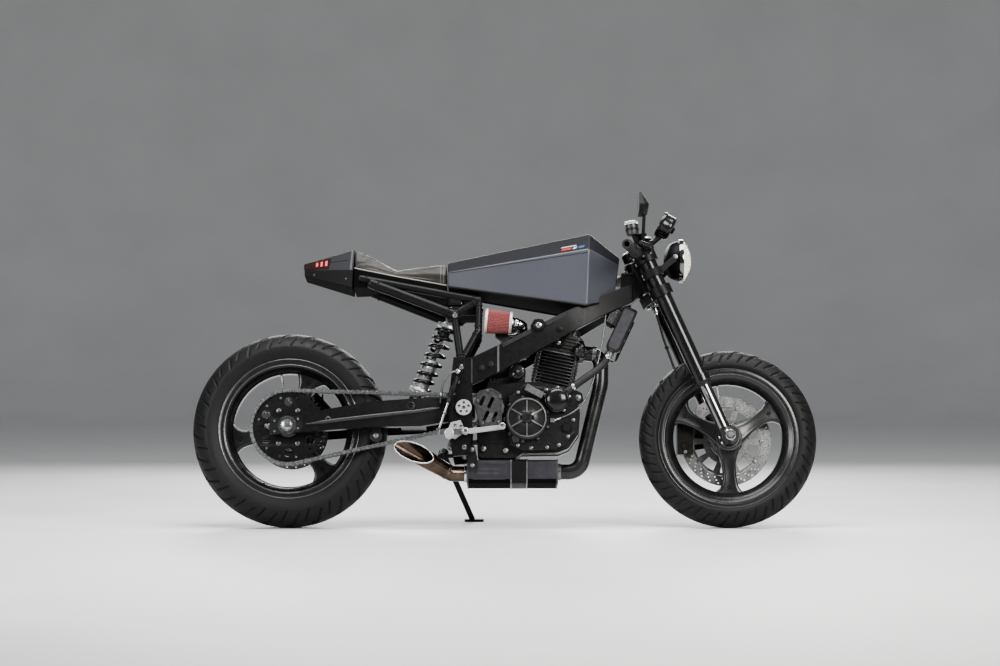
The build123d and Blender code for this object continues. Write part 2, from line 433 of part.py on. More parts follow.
TANK_WALL = 3.0
tank = lofted([section(*row) for row in TANK])
tank -= nodes["frame_beams"].solids()[0]
tank -= nodes["frame_beams"].solids()[1]
hollow = lofted([section(x + dx, lean, [(w - 8, z + dz) for (w, z), dz in zip(half, (0, 0, -TANK_WALL))])
                 for (x, lean, half), dx in zip(TANK, (TANK_WALL, 0, -TANK_WALL))])
hollow &= Pos(100, 0, 900) * Box(700, 400, 220)
nodes["fuel_tank"] = tank - hollow
SEAT = [(-174, 0.0, [(92, 790), (108, 826), (84, 869)]),
        (-340, 0.0, [(98, 819), (104, 832), (96, 846)]),
        (-482, 0.06, [(98, 848), (96, 880), (76, 921)])]
nodes["seat"] = lofted([section(*row) for row in SEAT])
TAIL = [(-485, 0.06, [(92, 786), (106, 843), (72, 917)]),
        (-648, 0.0, [(56, 830), (70, 849), (58, 872)])]
nodes["tail"] = lofted([section(*row) for row in TAIL])
grown = lofted([section(x, lean, [(w + 2.6, z) for w, z in half]) for x, lean, half in TAIL[:1]]
               + [section(-650.6, 0.0, [(w + 2.6, z) for w, z in TAIL[1][2]])])
nodes["tail_lamp"] = (grown & Pos(-612, 0, 859) * Box(90, 200, 18)) - nodes["tail"]
TRAY = [(-176, [(96, 756), (96, 788)]), (-340, [(92, 792), (96, 817)]), (-482, [(90, 786), (96, 846)])]
nodes["seat_tray"] = lofted([[(x, w, z) for w, z in half] + [(x, -w, z) for w, z in reversed(half)] for x, half in TRAY])
nodes["seat_tray"] -= side
nodes["seat_tray"] -= mirror(side, Plane.XZ)
nodes["seat_tray"] = group(nodes["seat_tray"], battery)

# ------------------------------------------------------------------ foot controls
pegs, peg_y = [], 150.0
for sgn in (-1, 1):
    hanger = slab([(-160, 330), (-128, 338), (-112, 300), (-146, 276), (-178, 288)], min(sgn * 148.2, sgn * 160), max(sgn * 148.2, sgn * 160))
    peg = disc_y(-164, 288, 12, min(sgn * 160, sgn * 238), max(sgn * 160, sgn * 238))
    pegs.append(hanger + peg)
nodes["footrests"] = group(*pegs)
pedal = slab([(-118, 294), (-100, 308), (6, 320), (16, 314), (8, 305), (-96, 291)], -182, -170) + disc_y(8, 313, 8, -214, -170)
pedal += disc_y(-112, 300, 12, -182, -160.2)
gear = slab([(-118, 294), (-100, 308), (6, 330), (16, 324), (8, 315), (-96, 291)], 170, 182) + disc_y(8, 323, 8, 170, 214)
gear += disc_y(-112, 300, 12, 160.2, 182)
nodes["foot_levers"] = group(pedal, gear)

# ------------------------------------------------------------------ side stand
STAND_PIVOT = V(-190, 152, 262)
STAND_FOOT_WORLD = (-94, 304)            # where the foot's middle meets the floor, after the lean


def unlean(x, wy, wz):
    sl, cl = math.sin(math.radians(LEAN)), math.cos(math.radians(LEAN))
    return V(x, wy * cl - wz * sl, wy * sl + wz * cl)


STAND_FOOT = unlean(STAND_FOOT_WORLD[0], STAND_FOOT_WORLD[1], 8)
deployed = (STAND_FOOT - STAND_PIVOT).normalized()
folded = V(-0.985, 0.075, 0.05).normalized()
STAND_AXIS = deployed.cross(folded).normalized()
STAND_SWING = math.degrees(math.acos(deployed.dot(folded)))
lug = rod(STAND_PIVOT - STAND_AXIS * 9, STAND_PIVOT + STAND_AXIS * 9, 17) - rod(STAND_PIVOT - STAND_AXIS * 20, STAND_PIVOT + STAND_AXIS * 20, 6.1)
shank = rod(STAND_PIVOT + deployed * 13, STAND_FOOT, 9.5)
pad = Rot(LEAN, 0, 0) * (Pos(STAND_FOOT_WORLD[0] + 6, STAND_FOOT_WORLD[1] + 6, 0) * extrude(RectangleRounded(66, 44, 14), amount=8))
floor_cut = Rot(LEAN, 0, 0) * (Pos(STAND_FOOT_WORLD[0], STAND_FOOT_WORLD[1], -50) * Box(300, 300, 100))
nodes["side_stand"] = lug + shank + pad - floor_cut
yoke = rod(STAND_PIVOT - STAND_AXIS * 22, STAND_PIVOT - STAND_AXIS * 10, 17) + rod(STAND_PIVOT - STAND_AXIS * 22, STAND_PIVOT + STAND_AXIS * 14, 6.0)
yoke += rod(STAND_PIVOT + STAND_AXIS * 10, STAND_PIVOT + STAND_AXIS * 16, 11)
web = rod(STAND_PIVOT - STAND_AXIS * 16.5, V(-122, 132, 256), 6.4)
nodes["pivot_plates"] = group(mirror(plate, Plane.XZ), plate + yoke + web)

# ------------------------------------------------------------------ lean, shift and write
os.makedirs("parts", exist_ok=True)
place = Location(SHIFT) * Rot(-LEAN, 0, 0)
lo, hi = [1e9] * 3, [-1e9] * 3
for name, shape in nodes.items():
    solids = list(shape.solids())
    moved = [place * s for s in solids]
    out = moved[0] if len(moved) == 1 else Compound(children=moved)
    box = out.bounding_box()
    lo = [min(a, b) for a, b in zip(lo, tuple(box.min))]
    hi = [max(a, b) for a, b in zip(hi, tuple(box.max))]
    export_step(out, f"parts/{name}.step")


def world(v):
    p = place * Pos(v)
    return [round(t / 1000, 6) for t in tuple(p.position)]


def turn(v):
    a, b = (place * Pos(0, 0, 0)).position, (place * Pos(v)).position
    return [round(t, 6) for t in tuple((b - a).normalized())]


print("box", [round(v, 1) for v in lo], [round(v, 1) for v in hi], "middle", round((lo[0] + hi[0]) / 2, 1), round((lo[1] + hi[1]) / 2, 1))
print("front_axle", world(V(FRONT_X, 0, FRONT_Z)), turn(V(0, 1, 0)))
print("rear_axle", world(V(REAR_X, 0, REAR_Z)), turn(V(0, 1, 0)))
print("steer", world(leg(S_LOWER, 0, -STEM_OFFSET)), turn(V(-sr, 0, cr)))
print("stand", world(STAND_PIVOT), turn(STAND_AXIS), round(STAND_SWING, 2))
print("stem_bore", world(leg(S_LOWER - 17, 0, -STEM_OFFSET)), turn(V(sr, 0, -cr)))
print("bar_end_left", world(BAR_END), turn(u), "right", world(V(BAR_END.X, -BAR_END.Y, BAR_END.Z)), turn(V(u.X, -u.Y, u.Z)))
print("spool_left", world(V(-560, 148, 342)), turn(V(0, 1, 0)), "right", world(V(-560, -148, 342)))
print("hinge", hinge, "perch", perch_at, "u", u)
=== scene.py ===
import math
import random
import bpy
import bmesh
import numpy as np
from mathutils import Vector, Matrix, Euler
from mathutils.geometry import tessellate_polygon


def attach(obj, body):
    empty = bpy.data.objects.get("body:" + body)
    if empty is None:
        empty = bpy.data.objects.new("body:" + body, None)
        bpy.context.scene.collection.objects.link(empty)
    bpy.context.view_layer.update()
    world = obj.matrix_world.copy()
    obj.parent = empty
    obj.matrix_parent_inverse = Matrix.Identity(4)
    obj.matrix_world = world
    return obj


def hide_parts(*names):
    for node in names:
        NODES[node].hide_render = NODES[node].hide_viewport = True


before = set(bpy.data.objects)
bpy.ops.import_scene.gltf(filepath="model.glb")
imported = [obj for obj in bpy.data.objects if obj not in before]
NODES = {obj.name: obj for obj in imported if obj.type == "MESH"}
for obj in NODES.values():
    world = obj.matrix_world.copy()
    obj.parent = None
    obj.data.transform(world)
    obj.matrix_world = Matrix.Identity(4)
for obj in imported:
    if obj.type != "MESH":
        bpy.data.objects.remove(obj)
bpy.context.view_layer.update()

scene = bpy.context.scene
random.seed(7)

# ------------------------------------------------------------------ shared frame
# Bike coordinates (mm): +X forward, +Y left, +Z up, upright.  The part leans 9 degrees to
# the left on its stand and is shifted so that the origin is under its middle.
LEAN = math.radians(9.0)
B2W = Matrix.Translation((-0.0156, -0.1382, 0.0)) @ Matrix.Rotation(-LEAN, 4, "X") @ Matrix.Scale(0.001, 4)
CL = math.cos(LEAN)
FX, RX = 752.3, -693.1
FZ, RZ = 238.0 + 55.0 / CL, 238.0 + 83.0 / CL
RAKE = math.radians(24.0)
SR, CR = math.sin(RAKE), math.cos(RAKE)
LEG0 = (FX - 8.0 * CR, FZ - 8.0 * SR)
V = Vector


def leg(s, y=0.0, n=0.0):
    return V((LEG0[0] - SR * s + CR * n, y, LEG0[1] + CR * s + SR * n))


UP = V((-SR, 0, CR))
AHEAD = V((CR, 0, SR))

# ------------------------------------------------------------------ mesh helpers


def basis(axis, ref=None):
    a = V(axis).normalized()
    if ref is None:
        ref = V((0, 0, 1)) if abs(a.z) < 0.9 else V((1, 0, 0))
    e1 = (V(ref) - a * V(ref).dot(a)).normalized()
    return e1, a.cross(e1).normalized(), a


class Build:
    """Gathers geometry in bike coordinates."""

    def __init__(self):
        self.v, self.f, self.m, self.s = [], [], [], []

    def add(self, verts, faces, mat=0, smooth=True):
        o = len(self.v)
        self.v.extend(tuple(p) for p in verts)
        self.f.extend(tuple(i + o for i in f) for f in faces)
        self.m.extend([mat] * len(faces))
        self.s.extend([smooth] * len(faces))
        return self

    def merge(self, other, mat_shift=0):
        o = len(self.v)
        self.v.extend(other.v)
        self.f.extend(tuple(i + o for i in f) for f in other.f)
        self.m.extend(k + mat_shift for k in other.m)
        self.s.extend(other.s)
        return self

    def moved(self, mat4):
        out = Build()
        out.v = [tuple(mat4 @ V(p)) for p in self.v]
        flip = mat4.to_3x3().determinant() < 0
        out.f = [tuple(reversed(f)) for f in self.f] if flip else list(self.f)
        out.m, out.s = list(self.m), list(self.s)
        return out

    # -- solids of revolution
    def lathe(self, profile, origin, axis, n=40, mat=0, ref=None, wave=None, smooth=True):
        e1, e2, e3 = basis(axis, ref)
        o = V(origin)
        verts, rows = [], []
        for r, h in profile:
            if abs(r) < 1e-6:
                rows.append([len(verts)])
                verts.append(o + e3 * h)
            else:
                row = []
                for i in range(n):
                    t = 2 * math.pi * i / n
                    rr = r if wave is None else wave(r, h, t)
                    row.append(len(verts))
                    verts.append(o + e1 * (rr * math.cos(t)) + e2 * (rr * math.sin(t)) + e3 * h)
                rows.append(row)
        faces = []
        for a, b in zip(rows[:-1], rows[1:]):
            for i in range(n):
                j = (i + 1) % n
                if len(a) == 1 and len(b) == 1:
                    continue
                if len(a) == 1:
                    faces.append((a[0], b[j], b[i]))
                elif len(b) == 1:
                    faces.append((a[i], a[j], b[0]))
                else:
                    faces.append((a[i], a[j], b[j], b[i]))
        return self.add(verts, faces, mat, smooth)

    def rod(self, a, b, r, r2=None, n=20, mat=0, edge=0.8, smooth=True):
        a, b = V(a), V(b)
        length = (b - a).length
        r2 = r if r2 is None else r2
        e = min(edge, r * 0.4, r2 * 0.4, length * 0.3)
        return self.lathe([(0, 0), (r - e, 0), (r, e), (r2, length - e), (r2 - e, length), (0, length)], a, b - a, n, mat, smooth=smooth)

    def ring(self, origin, axis, ro, ri, h0, h1, n=40, mat=0, edge=0.8):
        e = min(edge, (ro - ri) * 0.3, abs(h1 - h0) * 0.3)
        pr = [(ri, h0 + e), (ri + e, h0), (ro - e, h0), (ro, h0 + e), (ro, h1 - e), (ro - e, h1), (ri + e, h1), (ri, h1 - e), (ri, h0 + e)]
        return self.lathe(pr, origin, axis, n, mat)

    # -- tubes along smooth paths
    def tube(self, pts, r, n=12, mat=0, caps=True, radii=None, closed=False):
        pts = [V(p) for p in pts]
        m = len(pts)
        tang = []
        for i in range(m):
            if closed:
                t = pts[(i + 1) % m] - pts[i - 1]
            else:
                t = pts[min(i + 1, m - 1)] - pts[max(i - 1, 0)]
            tang.append(t.normalized())
        e1, e2, _ = basis(tang[0])
        verts, faces = [], []
        for i in range(m):
            if i:
                axis = tang[i - 1].cross(tang[i])
                if axis.length > 1e-9:
                    rot = Matrix.Rotation(tang[i - 1].angle(tang[i]), 3, axis.normalized())
                    e1 = rot @ e1
                e1 = (e1 - tang[i] * e1.dot(tang[i])).normalized()
                e2 = tang[i].cross(e1)
            rr = radii[i] if radii else r
            for k in range(n):
                t = 2 * math.pi * k / n
                verts.append(pts[i] + e1 * (rr * math.cos(t)) + e2 * (rr * math.sin(t)))
        last = m if closed else m - 1
        for i in range(last):
            for k in range(n):
                a, b = i * n + k, i * n + (k + 1) % n
                c, d = ((i + 1) % m) * n + (k + 1) % n, ((i + 1) % m) * n + k
                faces.append((a, b, c, d))
        if caps and not closed:
            faces.append(tuple(reversed(range(n))))
            faces.append(tuple(range((m - 1) * n, m * n)))
        return self.add(verts, faces, mat)

    # -- flat plates with holes: outline and holes are (u, v) in the given frame
    def plate(self, outline, holes, origin, eu, ev, t, mat=0, smooth=False):
        eu, ev = V(eu).normalized(), V(ev).normalized()
        en = eu.cross(ev).normalized()
        o = V(origin)
        loops = [[V((u, v, 0)) for u, v in outline]] + [[V((u, v, 0)) for u, v in h] for h in holes]
        tris = tessellate_polygon(loops)
        flat = [p for lp in loops for p in lp]
        k = len(flat)
        verts = [o + eu * p.x + ev * p.y for p in flat] + [o + eu * p.x + ev * p.y + en * t for p in flat]
        faces = []
        for a, b, c in tris:
            pa, pb, pc = flat[a], flat[b], flat[c]
            area = (pb.x - pa.x) * (pc.y - pa.y) - (pb.y - pa.y) * (pc.x - pa.x)
            if abs(area) < 1e-9:
                continue
            if area < 0:
                b, c = c, b
            faces.append((c, b, a))
            faces.append((a + k, b + k, c + k))
        start = 0
        for li, lp in enumerate(loops):
            n = len(lp)
            area = sum(lp[i].x * lp[(i + 1) % n].y - lp[(i + 1) % n].x * lp[i].y for i in range(n))
            ccw = (area > 0) == (li == 0)
            for i in range(n):
                a, b = start + i, start + (i + 1) % n
                faces.append((a, b, b + k, a + k) if ccw else (b, a, a + k, b + k))
            start += n
        return self.add(verts, faces, mat, smooth)

    def prism(self, outline, y0, y1, mat=0, holes=()):
        """Side-view outline (x, z) with a thickness from y0 to y1."""
        return self.plate(outline, list(holes), (0, max(y0, y1), 0), (1, 0, 0), (0, 0, 1), abs(y1 - y0), mat)

    def box(self, c, size, rot=None, mat=0, taper=1.0):
        sx, sy, sz = size[0] / 2, size[1] / 2, size[2] / 2
        rot = rot or Matrix.Identity(3)
        c = V(c)
        vs = []
        for z in (-sz, sz):
            k = taper if z > 0 else 1.0
            for x, y in ((-sx, -sy), (sx, -sy), (sx, sy), (-sx, sy)):
                vs.append(c + rot @ V((x * k, y * k, z)))
        fs = [(3, 2, 1, 0), (4, 5, 6, 7), (0, 1, 5, 4), (1, 2, 6, 5), (2, 3, 7, 6), (3, 0, 4, 7)]
        return self.add(vs, fs, mat, False)

    def bolt(self, at, axis, r=5.0, h=5.0, kind="hex", mat=0, n=24):
        """A bolt head standing on a surface: hex, cap (socket head) or dome."""
        e1, e2, e3 = basis(axis)
        at = V(at)
        if kind == "hex":
            self.lathe([(0, 0), (r * 1.35, 0), (r * 1.35, h * 0.2), (r * 1.2, h * 0.25), (0, h * 0.25)], at, axis, n, mat)
            vs, fs = [], []
            for h0, k in ((h * 0.25, 1.0), (h * 0.92, 1.0), (h, 0.88)):
                for i in range(6):
                    t = math.pi / 3 * i
                    vs.append(at + e1 * (r * 1.1 * k * math.cos(t)) + e2 * (r * 1.1 * k * math.sin(t)) + e3 * h0)
            for b0 in (0, 6):
                for i in range(6):
                    j = (i + 1) % 6
                    fs.append((b0 + i, b0 + j, b0 + 6 + j, b0 + 6 + i))
            fs.append(tuple(range(12, 18)))
            self.add(vs, fs, mat, False)
        elif kind == "cap":
            self.lathe([(0, 0), (r, 0), (r, h * 0.9), (r * 0.9, h), (r * 0.62, h)], at, axis, n, mat)
            vs, fs = [], []
            for i in range(n):
                t = 2 * math.pi * i / n
                vs.append(at + e1 * (r * 0.62 * math.cos(t)) + e2 * (r * 0.62 * math.sin(t)) + e3 * h)
            for hh in (h, h * 0.35):
                for i in range(6):
                    t = math.pi / 3 * i
                    vs.append(at + e1 * (r * 0.55 * math.cos(t)) + e2 * (r * 0.55 * math.sin(t)) + e3 * hh)
            for i in range(n):
                a, b = i, (i + 1) % n
                ha, hb = n + (i * 6 // n), n + (((i + 1) * 6 // n) % 6)
                fs.append((a, b, hb) if ha == hb else (a, b, hb, ha))
            for i in range(6):
                j = (i + 1) % 6
                fs.append((n + i, n + j, n + 6 + j, n + 6 + i))
            fs.append(tuple(n + 6 + i for i in range(6)))
            self.add(vs, fs, mat, False)
        else:
            pr = [(0, 0), (r, 0)] + [(r * math.cos(math.pi / 2 * k / 6), h * math.sin(math.pi / 2 * k / 6)) for k in range(1, 6)] + [(0, h)]
            self.lathe(pr, at, axis, n, mat)
        return self


def circle(cx, cy, r, n=24, a0=0.0):
    return [(cx + r * math.cos(a0 + 2 * math.pi * i / n), cy + r * math.sin(a0 + 2 * math.pi * i / n)) for i in range(n)]


def rounded(points, r, n=5):
    """Outline with rounded corners; r is a number or one per corner."""
    out = []
    m = len(points)
    for i in range(m):
        p0, p1, p2 = V((*points[i - 1], 0)), V((*points[i], 0)), V((*points[(i + 1) % m], 0))
        rr = r[i] if isinstance(r, (list, tuple)) else r
        a, b = (p0 - p1), (p2 - p1)
        half = a.angle(b) / 2
        d = min(rr / math.tan(half), a.length * 0.48, b.length * 0.48)
        if rr <= 0 or d < 1e-6:
            out.append((p1.x, p1.y))
            continue
        rr = d * math.tan(half)
        c = p1 + (a.normalized() + b.normalized()).normalized() * (rr / math.sin(half))
        s, e = p1 + a.normalized() * d - c, p1 + b.normalized() * d - c
        ang = s.angle(e)
        sgn = 1 if s.cross(e).z > 0 else -1
        for k in range(n + 1):
            q = Matrix.Rotation(sgn * ang * k / n, 3, "Z") @ s + c
            out.append((q.x, q.y))
    return out


def make(name, b, mats, body, angle=35, bevel=0.0, segs=2, stands_for=(), bevel_angle=40, subsurf=0, weld=True):
    me = bpy.data.meshes.new(name)
    co = np.array(b.v, dtype=np.float64)
    mat4 = np.array(B2W)
    co = co @ mat4[:3, :3].T + mat4[:3, 3]
    me.from_pydata(co.tolist(), [], b.f)
    me.polygons.foreach_set("material_index", b.m)
    me.polygons.foreach_set("use_smooth", b.s)
    for m in mats:
        me.materials.append(m)
    me.validate()
    if weld:
        bm = bmesh.new()
        bm.from_mesh(me)
        bmesh.ops.remove_doubles(bm, verts=bm.verts, dist=2e-6)
        bmesh.ops.dissolve_degenerate(bm, edges=bm.edges, dist=1e-6)
        bm.to_mesh(me)
        bm.free()
    if bevel:
        me.polygons.foreach_set("use_smooth", [True] * len(me.polygons))
    me.set_sharp_from_angle(angle=math.radians(angle))
    me.update()
    ob = bpy.data.objects.new(name, me)
    scene.collection.objects.link(ob)
    if bevel:
        md = ob.modifiers.new("Bevel", "BEVEL")
        md.width = bevel * 0.001
        md.segments = segs
        md.limit_method = "ANGLE"
        md.angle_limit = math.radians(bevel_angle)
        md.use_clamp_overlap = True
        md.harden_normals = True
    if subsurf:
        md = ob.modifiers.new("Subdivision", "SUBSURF")
        md.levels = md.render_levels = subsurf
    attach(ob, body)
    if stands_for:
        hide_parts(*stands_for)
    return ob


def mirrored(b):
    return b.moved(Matrix.Scale(-1, 4, (0, 1, 0)))


# ------------------------------------------------------------------ materials


def srgb(r, g, b):
    def lin(c):
        c /= 255.0
        return c / 12.92 if c <= 0.04045 else ((c + 0.055) / 1.055) ** 2.4
    return (lin(r), lin(g), lin(b), 1.0)


def material(name, tones, rough=(0.3, 0.45), metal=0.0, scale=60.0, bump=0.0, bump_scale=None, detail=4.0, stretch=None,
             wear=None, wear_amount=0.5, coat=0.0, coat_rough=0.1, spec=0.5, sheen=0.0, dust=0.0, voronoi=0.0):
    """Principled surface with noise-driven tone and roughness, a fine bump and lighter worn edges."""
    m = bpy.data.materials.new(name)
    m.use_nodes = True
    nt = m.node_tree
    nd, ln = nt.nodes, nt.links
    bs = nd["Principled BSDF"]
    tc = nd.new("ShaderNodeTexCoord")
    vec = tc.outputs["Object"]
    if stretch:
        mp = nd.new("ShaderNodeMapping")
        mp.inputs["Scale"].default_value = stretch
        ln.new(vec, mp.inputs["Vector"])
        vec = mp.outputs["Vector"]
    nz = nd.new("ShaderNodeTexNoise")
    nz.inputs["Scale"].default_value = scale
    nz.inputs["Detail"].default_value = detail
    nz.inputs["Roughness"].default_value = 0.6
    ln.new(vec, nz.inputs["Vector"])
    cr = nd.new("ShaderNodeValToRGB")
    cr.color_ramp.elements[0].position = 0.32
    cr.color_ramp.elements[0].color = tones[0]
    cr.color_ramp.elements[1].position = 0.68
    cr.color_ramp.elements[1].color = tones[1]
    ln.new(nz.outputs["Fac"], cr.inputs["Fac"])
    colour = cr.outputs["Color"]
    rr = nd.new("ShaderNodeMapRange")
    rr.inputs["From Min"].default_value = 0.3
    rr.inputs["From Max"].default_value = 0.7
    rr.inputs["To Min"].default_value = rough[0]
    rr.inputs["To Max"].default_value = rough[1]
    ln.new(nz.outputs["Fac"], rr.inputs["Value"])
    ln.new(rr.outputs["Result"], bs.inputs["Roughness"])
    if wear is not None:
        geo = nd.new("ShaderNodeNewGeometry")
        ed = nd.new("ShaderNodeMapRange")
        ed.inputs["From Min"].default_value = 0.53
        ed.inputs["From Max"].default_value = 0.62
        ed.inputs["To Max"].default_value = wear_amount
        ln.new(geo.outputs["Pointiness"], ed.inputs["Value"])
        mul = nd.new("ShaderNodeMath")
        mul.operation = "MULTIPLY"
        ln.new(ed.outputs["Result"], mul.inputs[0])
        ln.new(nz.outputs["Fac"], mul.inputs[1])
        mx = nd.new("ShaderNodeMix")
        mx.data_type = "RGBA"
        ln.new(mul.outputs["Value"], mx.inputs["Factor"])
        ln.new(colour, mx.inputs["A"])
        mx.inputs["B"].default_value = wear
        colour = mx.outputs["Result"]
    if dust:
        geo2 = nd.new("ShaderNodeNewGeometry")
        sep = nd.new("ShaderNodeSeparateXYZ")
        ln.new(geo2.outputs["Normal"], sep.inputs["Vector"])
        up = nd.new("ShaderNodeMapRange")
        up.inputs["From Min"].default_value = 0.2
        up.inputs["From Max"].default_value = 1.0
        up.inputs["To Max"].default_value = dust
        ln.new(sep.outputs["Z"], up.inputs["Value"])
        mx2 = nd.new("ShaderNodeMix")
        mx2.data_type = "RGBA"
        ln.new(up.outputs["Result"], mx2.inputs["Factor"])
        ln.new(colour, mx2.inputs["A"])
        mx2.inputs["B"].default_value = (0.16, 0.15, 0.14, 1)
        colour = mx2.outputs["Result"]
    ln.new(colour, bs.inputs["Base Color"])
    bs.inputs["Metallic"].default_value = metal
    bs.inputs["Specular IOR Level"].default_value = spec
    if coat:
        bs.inputs["Coat Weight"].default_value = coat
        bs.inputs["Coat Roughness"].default_value = coat_rough
    if sheen:
        bs.inputs["Sheen Weight"].default_value = sheen
        bs.inputs["Sheen Roughness"].default_value = 0.5
    if bump:
        if voronoi:
            tx = nd.new("ShaderNodeTexVoronoi")
            tx.feature = "DISTANCE_TO_EDGE"
            tx.inputs["Scale"].default_value = voronoi
            ln.new(vec, tx.inputs["Vector"])
            height = tx.outputs["Distance"]
        else:
            tx = nd.new("ShaderNodeTexNoise")
            tx.inputs["Scale"].default_value = bump_scale or scale * 6
            tx.inputs["Detail"].default_value = 3.0
            ln.new(vec, tx.inputs["Vector"])
            height = tx.outputs["Fac"]
        bp = nd.new("ShaderNodeBump")
        bp.inputs["Strength"].default_value = bump
        bp.inputs["Distance"].default_value = 0.0006
        ln.new(height, bp.inputs["Height"])
        ln.new(bp.outputs["Normal"], bs.inputs["Normal"])
    return m


def glow(name, colour, strength, tones):
    m = material(name, tones, rough=(0.15, 0.3), scale=90)
    bs = m.node_tree.nodes["Principled BSDF"]
    bs.inputs["Emission Color"].default_value = colour
    bs.inputs["Emission Strength"].default_value = strength
    return m


def grey(v, tint=0.0):
    return (v, v, v * (1 + tint), 1.0)


